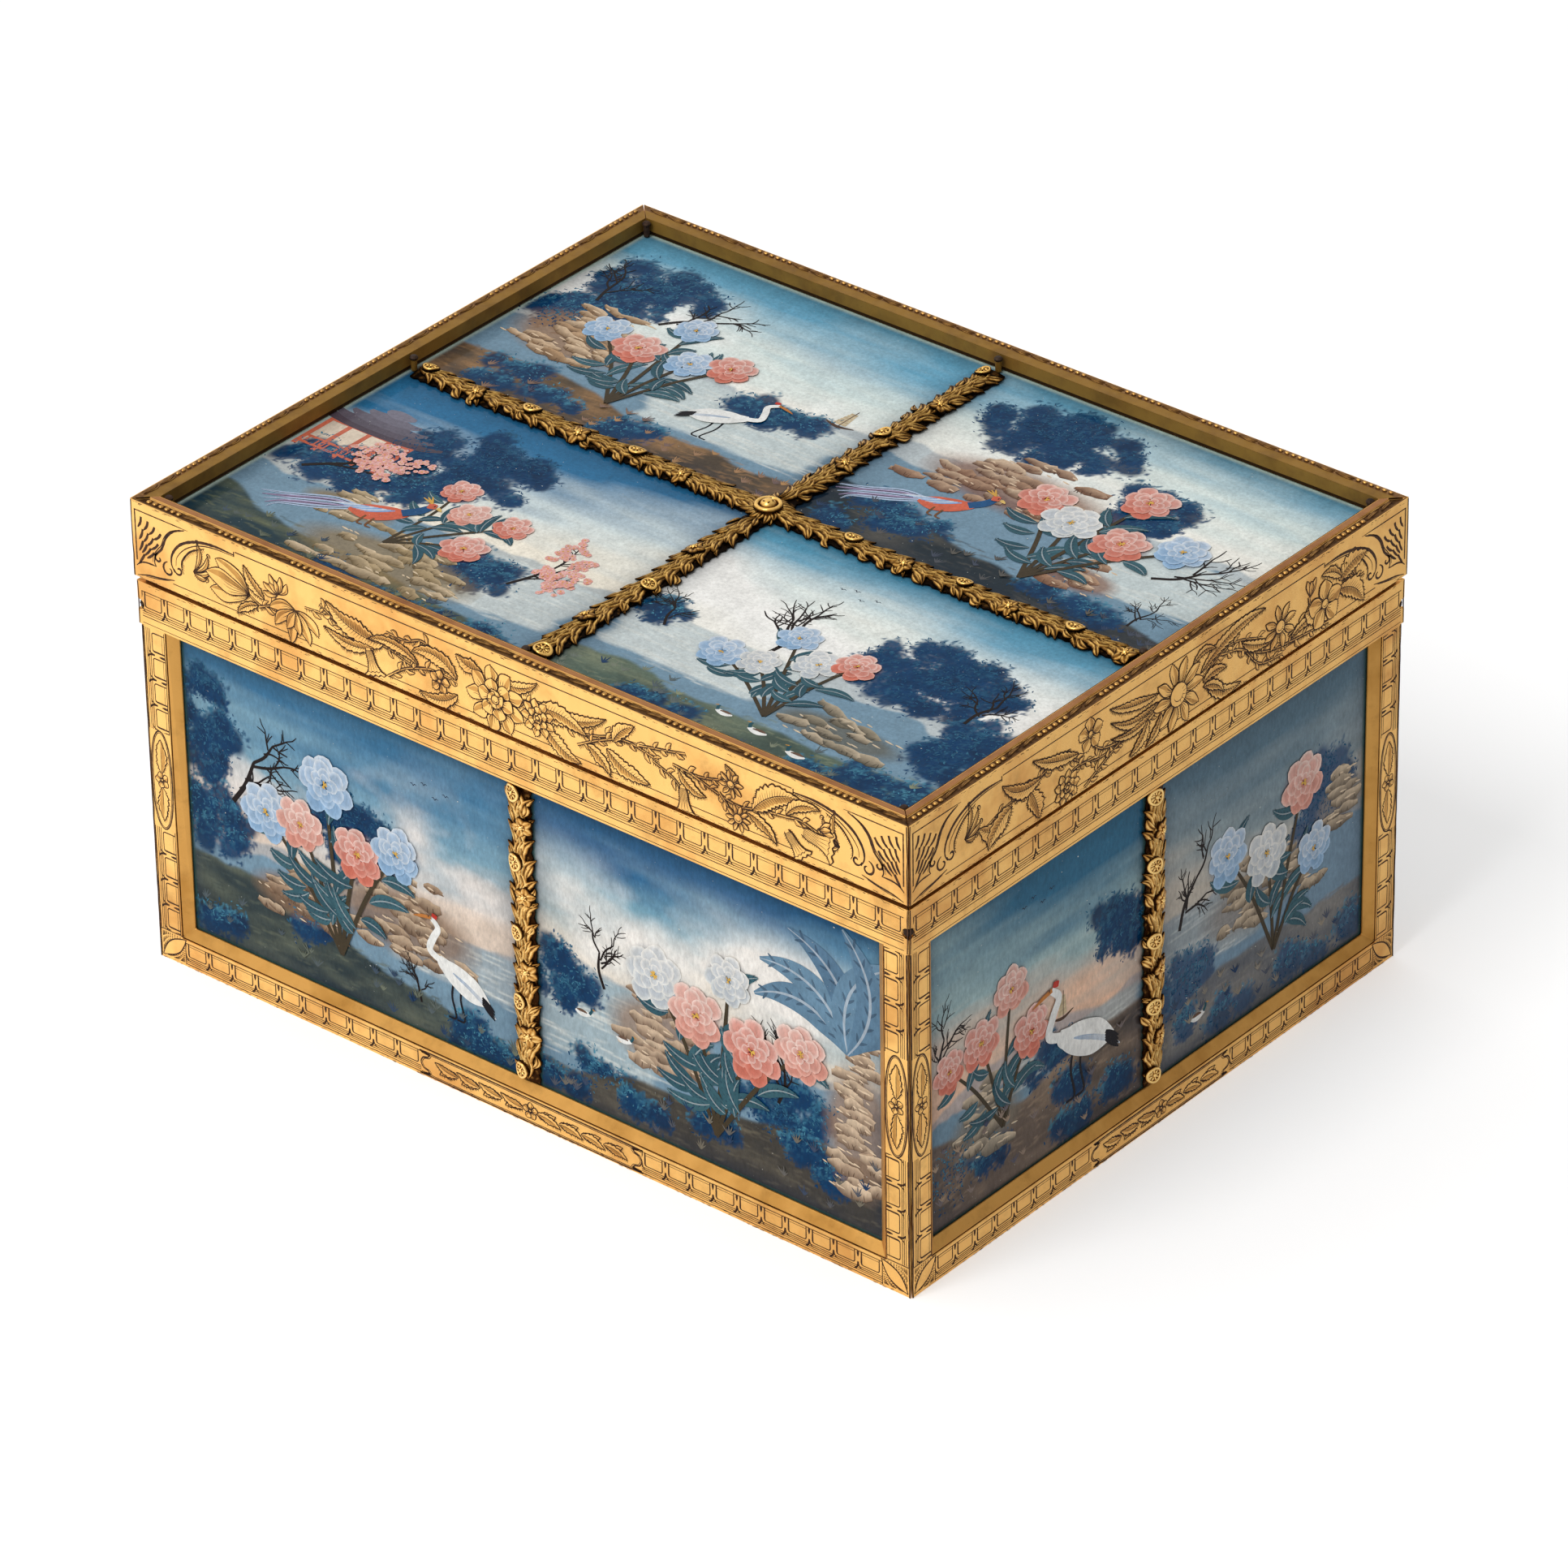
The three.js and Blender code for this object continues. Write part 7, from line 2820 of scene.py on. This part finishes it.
@dataclass
class Garland:
    """A cast garland: long crossed leaves over a rope painted dark for the shade under them, with small
    leaves and flowers between them.

    Attributes:
        node: The CAD node that it stands for.
        body: Its body.
        plane: Its plane, with local x along it and local zero at the middle of its start, on its back.
        length: Its length in millimetres.
        width: Its width.
        depth: How far it stands out.
        seed: The seed of its small differences.
        finish: Its material.
        leaf_pitch: The distance between the long leaves of one row.
        flower_pitch: The distance between flowers.
        boss_at: Where along it the lid's boss covers it, or None where no boss does.
    """

    node: str
    body: str
    plane: Plane
    length: float
    width: float
    depth: float
    seed: int
    finish: bpy.types.Material
    leaf_pitch: float = 5.6
    flower_pitch: float = 9.5
    boss_at: Optional[float] = None

    def build(self, rows: RowTree) -> None:
        """Models the garland and seats it in the CAD garland's place."""
        whole = Caster(self.seed)
        self.core(whole)
        for side in (1, -1):
            cell = Caster(self.seed + side)
            for share, turn, reach, wide in ((0.02, 10, 0.9, 0.27), (0.16, 24, 0.84, 0.31)):
                root = (share * self.width, side * self.width * share)
                tip = polar(root, side * turn, self.width * reach)
                cell.leaf(
                    root, tip, self.width * wide, self.depth * 0.4, self.depth * 0.4, -0.2 * side, 0.1,
                    0.72, 7, 4
                )
            run = self.length - self.width * 1.06
            gaps = round(run / self.leaf_pitch)
            pitch = run / gaps
            row = rows.lay(
                cell.draft, self.finish, gaps + 1 if side > 0 else gaps, pitch, 0.3, self.seed + side
            )
            start = 0.4 if side > 0 else 0.4 + pitch / 2
            whole.draft.add([(x + start, y, z) for x, y, z in row.points], row.faces, values=row.values)
        self.small_leaves(whole)
        self.flowers(whole)
        whole.draft.points = [
            (x, y, z * (1 - 0.72 * min(1.0, (2 * y / self.width) ** 2))) for x, y, z in whole.draft.points
        ]
        piece = whole.draft.build(f"{self.node}_cast", self.plane.matrix(), self.finish, shade_smooth=True)
        seat(piece, self.body, "cast_gilt", self.node)

    def small_leaves(self, whole: Caster) -> None:
        """Adds small leaves that turn out over the edges, no two alike."""
        x, side = 1.0, 1
        while x < self.length - self.width * 0.5:
            size = self.width * whole.rng.uniform(0.4, 0.5)
            root = (x, side * self.width * whole.rng.uniform(0.12, 0.26))
            tip = polar(root, side * whole.rng.uniform(8, 52), size)
            level = self.depth * whole.rng.uniform(0.5, 0.62)
            bend = side * whole.rng.uniform(-0.25, 0.25)
            whole.leaf(
                root, tip, size * whole.rng.uniform(0.4, 0.54), self.depth * 0.32, level, bend, 0.12, 0.7,
                6, 4
            )
            x += whole.rng.uniform(2.2, 3.4)
            side = -side

    def flowers(self, whole: Caster) -> None:
        """Adds round and five-petalled flowers that alternate from edge to edge."""
        margin = self.width * 0.36
        count = max(1, round((self.length - 2 * margin) / self.flower_pitch))
        pitch = (self.length - 2 * margin) / count
        for number in range(count + 1):
            stray = 0.0 if number in (0, count) else whole.rng.uniform(-1.2, 1.2)
            spot = (margin + pitch * number + stray, self.width * 0.16 * (-1) ** number)
            size = self.width * whole.rng.uniform(0.44, 0.54)
            if self.boss_at is not None and abs(spot[0] - self.boss_at) < 10.0:
                continue
            if number % 2 == 1:
                whole.blossom(spot, size * 1.36, self.depth * 0.8, whole.rng.uniform(0, 72))
            else:
                whole.wheel(spot, size * 1.05, self.depth * 0.82)

    def core(self, whole: Caster) -> None:
        """Adds the rope behind the leaves, painted dark by its low relief values as the shade under them,
        with a wavy outline and a flat back.
        """
        steps, lanes = int(self.length / 1.2), 6
        points, values = [], []
        for step in range(steps + 1):
            x = self.length * step / steps
            half = self.width * (0.38 + 0.04 * math.sin(x * 2.1) + 0.03 * math.sin(x * 5.3))
            for lane in range(lanes + 1):
                s = 2 * lane / lanes - 1
                twist = 0.5 + 0.5 * math.sin(x * 2.6 + s * 2.4)
                points.append((x, half * s, self.depth * (0.24 + 0.14 * (1 - s * s) * (0.6 + 0.4 * twist))))
                values.append(0.02 + 0.2 * twist * (1 - s * s))
        row = lanes + 1
        cells = [i * row + j for i in range(steps) for j in range(lanes)]
        whole.draft.add(points, [(a, a + row, a + row + 1, a + 1) for a in cells], values=values)
        low = [points[i * row] for i in range(steps + 1)]
        high = [points[i * row + lanes] for i in range(steps, -1, -1)]
        outline = low + high
        whole.skirt(outline, 0.0)
        back = [(x, y, 0.0) for x, y, _ in reversed(outline)]
        whole.draft.add(back, [tuple(range(len(back)))], values=[0.0] * len(back))


def side_garland(side: Side, seed: int, finishes: Finishes) -> Garland:
    """The upright garland between a side's two panes."""
    node = f"{side.label}_garland"
    face = side_face(node, side)
    depth = 2.3
    origin = face.plane.origin + side.across * face.width / 2 * MM - side.out * depth * MM
    plane = Plane(origin, Vector((0, 0, 1)), -side.across)
    return Garland(node, "base", plane, face.height, face.width, depth, seed, finishes.side_cast)


def lid_garlands(finishes: Finishes) -> list[Garland]:
    """The lid's long garland along X and its two arms along Y."""
    result = []
    for node, run in (
        ("lid_garland_long", (1, 0, 0)), ("lid_garland_front", (0, -1, 0)), ("lid_garland_back", (0, 1, 0))
    ):
        low, high = (Vector(corner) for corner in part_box(node))
        direction = Vector(run)
        across = Vector((0, 0, 1)).cross(direction)
        middle = (low + high) / 2
        length, width = abs((high - low).dot(direction)) / MM, abs((high - low).dot(across)) / MM
        origin = middle - direction * length / 2 * MM
        origin.z = low.z
        depth = (high.z - low.z) / MM
        plane = Plane(origin, direction, across)
        boss_at = length / 2 if run[0] else -2.0
        result.append(
            Garland(
                node, "lid", plane, length, width, depth, 31 + len(result), finishes.cast, 5.8, 17.0,
                boss_at
            )
        )
    return result


def boss(finishes: Finishes) -> None:
    """Models the small rosette where the lid's garlands cross."""
    low, high = (Vector(corner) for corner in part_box("lid_centre_boss"))
    centre = (low + high) / 2
    centre.z = low.z
    caster = Caster(5)
    radius = (high.x - low.x) / 2 / MM
    tall = (high.z - low.z) / MM
    for number in range(16):
        angle = 22.5 * number + 8
        root, tip = polar((0, 0), angle, radius * 0.7), polar(
            (0, 0), angle, radius * (2.1 if number % 4 == 1 else 1.7)
        )
        caster.leaf(root, tip, radius * 0.62, tall * 0.4, -tall * 0.8, 0.12, -0.5, 0.72, 6, 4)
    caster.dome((0, 0), radius * 1.06, tall * 0.4, -tall * 0.62, 32)
    caster.ring((0, 0), radius * 0.9, radius * 0.2, -tall * 0.3)
    caster.dome((0, 0), radius * 0.66, tall * 1.1, -tall * 0.3, 28)
    for number in range(5):
        angle = 72 * number
        root, tip = polar((0, 0), angle, radius * 0.08), polar((0, 0), angle + 20, radius * 0.42)
        caster.leaf(root, tip, radius * 0.26, tall * 0.14, tall * 0.6, 0.2)
    plane = Plane(centre, Vector((1, 0, 0)), Vector((0, 1, 0)))
    piece = caster.draft.build("lid_centre_rosette", plane.matrix(), finishes.cast, shade_smooth=True)
    seat(piece, "lid", "cast_gilt", "lid_centre_boss")


@dataclass
class RimBeading:
    """The top of the lid's rim: a dark outer moulding, beads and leaves in the groove, and a copper lip.

    Attributes:
        side: The side of the rim.
        finishes: The casket's materials.
        rows: The tree that repeats cells.
        outer: From the rim's outer edge to the groove, in millimetres.
        inner: From the rim's outer edge to the groove's far side.
        rim: The rim's width.
        groove_depth: The depth of the groove.
        cell: The wanted length of six beads and their leaves.
        corner: The plain length at each mitre.
    """

    side: Side
    finishes: Finishes
    rows: RowTree
    outer: float = 0.7
    inner: float = 3.4
    rim: float = 5.3
    groove_depth: float = 0.5
    cell: float = 23.5
    corner: float = 3.4

    def build(self) -> None:
        """Lays the strips and the row in their places."""
        face = side_face(f"lid_rail_{self.side.label}", self.side)
        far = self.side in (Side.BACK, Side.LEFT)
        outer, inner = (0.3, 2.3) if far else (self.outer, self.inner)
        whole = Draft()
        if not far:
            self.strip(whole, face.width, 0.24, outer - 0.06, 0.016, 0.3, 0)
            self.strip(whole, face.width, outer + 0.02, inner - 0.02, 0.02 - self.groove_depth, 0.18, 0)
            self.strip(whole, face.width, inner + 0.1, self.rim - 0.3, 0.016, 0.5, 1)
        else:
            self.strip(whole, face.width, outer, inner, 0.016, 0.4, 0)
            self.strip(whole, face.width, inner, self.rim - 0.02, 0.02, 0.5, 2)
        self.wall(whole, face.width)
        length = face.width - 2 * self.corner
        count = round(length / self.cell)
        pitch = length / count
        row = self.rows.lay(self.pattern(pitch), self.finishes.beading, count, pitch, 0.05, 12)
        middle = (outer + inner) / 2
        narrow, lift = (0.72, self.groove_depth - 0.03) if far else (1.0, 0.0)
        whole.add(
            [(x + self.corner, y * narrow + middle, z + lift) for x, y, z in row.points], row.faces,
            values=row.values
        )
        origin = face.plane.origin + Vector((0, 0, face.height * MM))
        plane = Plane(origin, self.side.across, -self.side.out)
        name = f"lid_rim_beads_{self.side.label}"
        metals = (self.finishes.beading, self.finishes.lip, self.finishes.wall)
        piece = whole.build(name, plane.matrix(), *metals, shade_smooth=True)
        seat(piece, "lid", "cast_gilt")

    def strip(
        self, whole: Draft, width: float, near: float, far: float, level: float, tone: float, finish: int
    ) -> None:
        """Adds a mitred strip between two distances from the rim's outer edge."""
        points = [
            (near, near, level), (width - near, near, level), (width - far, far, level), (far, far, level)
        ]
        whole.add(points, [(0, 1, 2, 3)], values=[tone] * 4, finish=finish)

    def wall(self, whole: Draft, width: float) -> None:
        """Adds the aged face of the rim's inner wall and, under it, a dark strip that paints the shade of the
        joint at the wall's foot.
        """
        y = self.rim + 0.03
        # The lower band has relief 0 and takes the dark hollow colour: painted shade of the gap at the wall's
        # foot.
        for high, low, tone, finish in ((0.0, -3.3, 0.5, 2), (-3.3, -4.15, 0.0, 0)):
            points = [
                (self.rim, y, high), (width - self.rim, y, high), (width - self.rim, y, low),
                (self.rim, y, low)
            ]
            whole.add(points, [(0, 3, 2, 1)], values=[tone] * 4, finish=finish)

    def pattern(self, pitch: float) -> Draft:
        """One repeat of the row: six beads and two long leaves."""
        shapes = Caster(9)
        level = 0.05 - self.groove_depth
        half = pitch / 2
        for number in range(6):
            shapes.dome(((number + 0.5) * half / 6, 0.0), 0.74, 0.55, level, 8)
        for number in range(2):
            start, end = half * (1 + (number + 0.06) / 2), half * (1 + (number + 0.98) / 2)
            shapes.leaf((start, -0.3), (end, 0.3), 1.1, 0.4, level, 0.06, groove=0.5)
            shapes.leaf((start, 0.75), (end - 1.4, 0.8), 0.5, 0.3, level, 0.1, groove=0.0, steps=4, lanes=2)
        return shapes.draft


@dataclass
class Lining:
    """A velvet lining with a rolled lip, soft coved corners, a padded floor and a gold braid under its lip.

    Attributes:
        node: The CAD lining that it stands for.
        body: Its body.
        upward: Whether it opens upwards, as in the base.
        finishes: The casket's materials.
        rows: The tree that repeats cells.
        thickness: The lining's thickness in millimetres.
        radius: The radius of its upright corners.
    """

    node: str
    body: str
    upward: bool
    finishes: Finishes
    rows: RowTree
    thickness: float = 1.2
    radius: float = 3.0

    def loop(
        self, half_x: float, half_y: float, inset: float, height: float
    ) -> list[tuple[float, float, float]]:
        """A rounded rectangle at one height, with the same number of points for every inset."""
        points = []
        radius = max(0.4, self.radius - inset)
        a, b = half_x - inset - radius, half_y - inset - radius
        corners = ((a, b, 0), (-a, b, 90), (-a, -b, 180), (a, -b, 270))
        for number, (x, y, start) in enumerate(corners):
            for step in range(7):
                spot = polar((x, y), start + 15 * step, radius)
                points.append((*spot, height))
            after = corners[(number + 1) % 4]
            first, last = points[-1], polar((after[0], after[1]), after[2], radius)
            for step in range(1, 24):
                points.append((*mix(first[:2], last, step / 24), height))
        return points

    def build(self) -> None:
        """Models the lining and its braid."""
        low, high = (Vector(corner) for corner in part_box(self.node))
        half_x, half_y = (high.x - low.x) / 2 / MM, (high.y - low.y) / 2 / MM
        tall = (high.z - low.z) / MM
        thick = self.thickness
        profile = [
            (0.0, 0.0), (0.0, tall - 0.8), (0.15, tall - 0.25), (0.6, tall), (1.05, tall - 0.25),
            (thick, tall - 0.8)
        ]
        profile += [
            (thick + 0.35 * math.sin(math.pi * s / 8), tall - 0.8 + (thick + 3.2 - tall) * s / 8)
            for s in range(1, 8)
        ]
        profile += [
            (thick + 0.1, thick + 2.4), (thick + 0.8, thick + 0.8), (thick + 2.6, thick + 0.25),
            (thick + 7.0, thick + 0.4)
        ]
        profile += [
            (thick + reach, thick + 0.35) for reach in (12.0, 20.0, 30.0, 42.0, 56.0, half_y - thick - 4.5)
        ]
        draft = Draft()
        loops = [self.loop(half_x, half_y, inset, height) for inset, height in profile]
        count = len(loops[0])
        draft.add([point for loop in loops for point in loop], [
            (
                a * count + b, a * count + (b + 1) % count, (a + 1) * count + (b + 1) % count,
                (a + 1) * count + b
            )
            for a in range(len(loops) - 1)
            for b in range(count)
        ])
        last = (len(loops) - 1) * count
        draft.faces.append(tuple(last + index for index in range(count)))
        draft.faces.append(tuple(range(count - 1, -1, -1)))
        draft.finishes += [0, 0]
        self.soften(draft, thick)
        origin = Vector(((low.x + high.x) / 2, (low.y + high.y) / 2, low.z if self.upward else high.z))
        along = Vector((1, 0, 0)) if self.upward else Vector((-1, 0, 0))
        plane = Plane(origin, along, Vector((0, 1, 0)))
        piece = draft.build(f"{self.node}_velvet", plane.matrix(), self.finishes.velvet, shade_smooth=True)
        seat(piece, self.body, "lining_velvet", self.node)
        self.braid(plane, half_x - thick, half_y - thick, tall)

    def soften(self, draft: Draft, thick: float) -> None:
        """Gives the cloth of the floor shallow waves."""
        waved = []
        for x, y, z in draft.points:
            wave = math.sin(x * 0.21 + 1.3 * math.sin(y * 0.13)) * math.cos(
                y * 0.19 + 0.7 * math.sin(x * 0.09)
            )
            if thick + 0.1 < z < thick + 1.0:
                z += 0.16 * (wave + 1.0)
            waved.append((x, y, z))
        draft.points = waved

    def braid(self, plane: Plane, half_x: float, half_y: float, tall: float) -> None:
        """Lays a twisted gold braid round the inside, just under the lip."""
        stitch = Caster(2)
        stitch.leaf((-0.75, -0.62), (0.75, 0.62), 0.85, 0.42, 0.0, groove=0.0, steps=4, lanes=2)
        whole = Draft()
        level = tall - 3.2
        for start, turn, length in (
            ((-half_x, -half_y), 0, 2 * half_x), ((half_x, -half_y), 90, 2 * half_y),
            ((half_x, half_y), 180, 2 * half_x), ((-half_x, half_y), 270, 2 * half_y),
        ):
            count = int((length - 6.0) / 1.3)
            row = self.rows.lay(stitch.draft, self.finishes.braid, count, 1.3, 0.04, 4)
            lift = Matrix.Translation((3.6, 0.0, 0.0))
            place = Matrix.Translation((*start, level)) @ Matrix.Rotation(math.radians(turn), 4, "Z")
            stand = Matrix.Rotation(math.radians(90), 4, "X") @ Matrix.Scale(-1, 4, Vector((0, 0, 1)))
            points = [place @ lift @ stand @ Vector(point) for point in row.points]
            whole.add(
                [tuple(point) for point in points], [tuple(reversed(face)) for face in row.faces],
                values=row.values
            )
        piece = whole.build(f"{self.node}_braid", plane.matrix(), self.finishes.braid, shade_smooth=True)
        seat(piece, self.body, "lining_velvet")


@dataclass
class HingeScrews:
    """The slotted screws of one hinge leaf.

    Attributes:
        node: The leaf's CAD node.
        body: Its body.
        radius: The radius of a head in millimetres.
        spread: From the middle screw to the outer ones.
        plate: The thickness of the leaf's plate, whose back lies on the leaf's own front.
        margin: From the plate's free edge to the screws.
    """

    node: str
    body: str
    radius: float = 1.45
    spread: float = 10.5
    plate: float = 1.1
    margin: float = 4.3

    def build(self, finishes: Finishes) -> None:
        """Models three domed heads with slots, each turned its own way."""
        face = side_face(self.node, Side.BACK)
        low, high = (Vector(corner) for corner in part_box(self.node))
        knuckle = high.y - low.y - self.plate * MM
        plane = replace(face.plane, origin=face.plane.origin - Side.BACK.out * knuckle)
        draft = Draft()
        rng = random.Random(self.node)
        level = self.margin if self.body == "base" else face.height - self.margin
        for number in (-1, 0, 1):
            self.head(draft, (face.width / 2 + number * self.spread, level), rng.uniform(0, 180))
        piece = draft.build(
            f"{self.node}_screws", plane.matrix(), finishes.hinge, finishes.iron, shade_smooth=False
        )
        seat(piece, self.body, "hinge_brass")

    def head(self, draft: Draft, centre: Point, turn: float) -> None:
        """Models one head: a shallow dome with a dark ring round it and a dark slot across it."""
        around = 24
        points = []
        for reach, height in ((1.12, 0.01), (1.0, 0.04), (0.98, 0.12), (0.8, 0.22), (0.5, 0.29)):
            points += [(*polar(centre, 360 * n / around, self.radius * reach), height) for n in range(around)]
        faces = [
            (
                a * around + b, a * around + (b + 1) % around, (a + 1) * around + (b + 1) % around,
                (a + 1) * around + b
            )
            for a in range(4)
            for b in range(around)
        ]
        draft.add(points, faces[:around], finish=1)
        draft.add(points, [*faces[around:], tuple(4 * around + b for b in range(around))], finish=0)
        slot = []
        for along, aside in ((-0.92, -0.14), (0.92, -0.14), (0.92, 0.14), (-0.92, 0.14)):
            slot.append(
                (*polar(polar(centre, turn, self.radius * along), turn + 90, self.radius * aside), 0.31)
            )
        draft.add(slot, [(0, 1, 2, 3)], finish=1)


@dataclass
class CadDress:
    """Finishes the CAD solids that stay in view: their materials and rounded arrises.

    Attributes:
        finishes: The casket's materials.
        arris: The rounding of the metal's edges in millimetres.
        wood_arris: The rounding of the wood's edges.
    """

    STUDS = ("lid_post_front", "lid_post_right", "lid_post_back", "lid_post_left")

    finishes: Finishes
    arris: float = 0.22
    wood_arris: float = 0.4

    def build(self) -> None:
        """Dresses every CAD node."""
        slots = {
            "engraved_gilt": self.finishes.sheet, "plain_gilt": self.finishes.slip,
            "cast_gilt": self.finishes.cast,
            "painted_glass": self.finishes.paint, "iron": self.finishes.iron,
            "hinge_brass": self.finishes.hinge,
            "carcass_wood": self.finishes.wood, "lining_velvet": self.finishes.velvet,
        }
        for part in frame["record"]["subparts"]:
            node = frame["nodes"][part["node"]]
            for index in range(len(node.data.materials)):
                node.data.materials[index] = slots[part["material_slot"]]
                if part["node"] in self.STUDS:
                    node.data.materials[index] = self.finishes.stud
            self.round(node, self.wood_arris if part["material_slot"] == "carcass_wood" else self.arris)

    def round(self, node: bpy.types.Object, width: float) -> None:
        """Joins a solid's loose triangles and rounds its arrises."""
        join = node.modifiers.new("join", "WELD")
        join.merge_threshold = 0.000002
        bevel = node.modifiers.new("arris", "BEVEL")
        bevel.width = width * MM
        bevel.segments = 2
        bevel.limit_method = "ANGLE"
        bevel.angle_limit = math.radians(38)
        bevel.use_clamp_overlap = True
        bevel.harden_normals = False


def main() -> None:
    """Builds the casket's sub-assemblies in order."""
    logging.basicConfig(level=logging.INFO, format="%(message)s")
    Studio().build()
    finishes = Finishes()
    rows = RowTree()
    CadDress(finishes).build()
    for number, side in enumerate(Side):
        border = Border(side, finishes, rows, 40 + number)
        border.top_rail()
        border.frame()
        border.lid_band()
        side_garland(side, 20 + number, finishes).build(rows)
        RimBeading(side, finishes, rows).build()
    for garland in lid_garlands(finishes):
        garland.build(rows)
    boss(finishes)
    for pane in (*side_panes(), *lid_panes()):
        pane.build(finishes)
    Lining("base_lining", "base", True, finishes, rows).build()
    Lining("lid_lining", "lid", False, finishes, rows).build()
    for hinge in ("hinge_left", "hinge_right"):
        HingeScrews(f"{hinge}_base_leaf", "base").build(finishes)
        HingeScrews(f"{hinge}_lid_leaf", "lid").build(finishes)


if __name__ == "__main__":
    main()
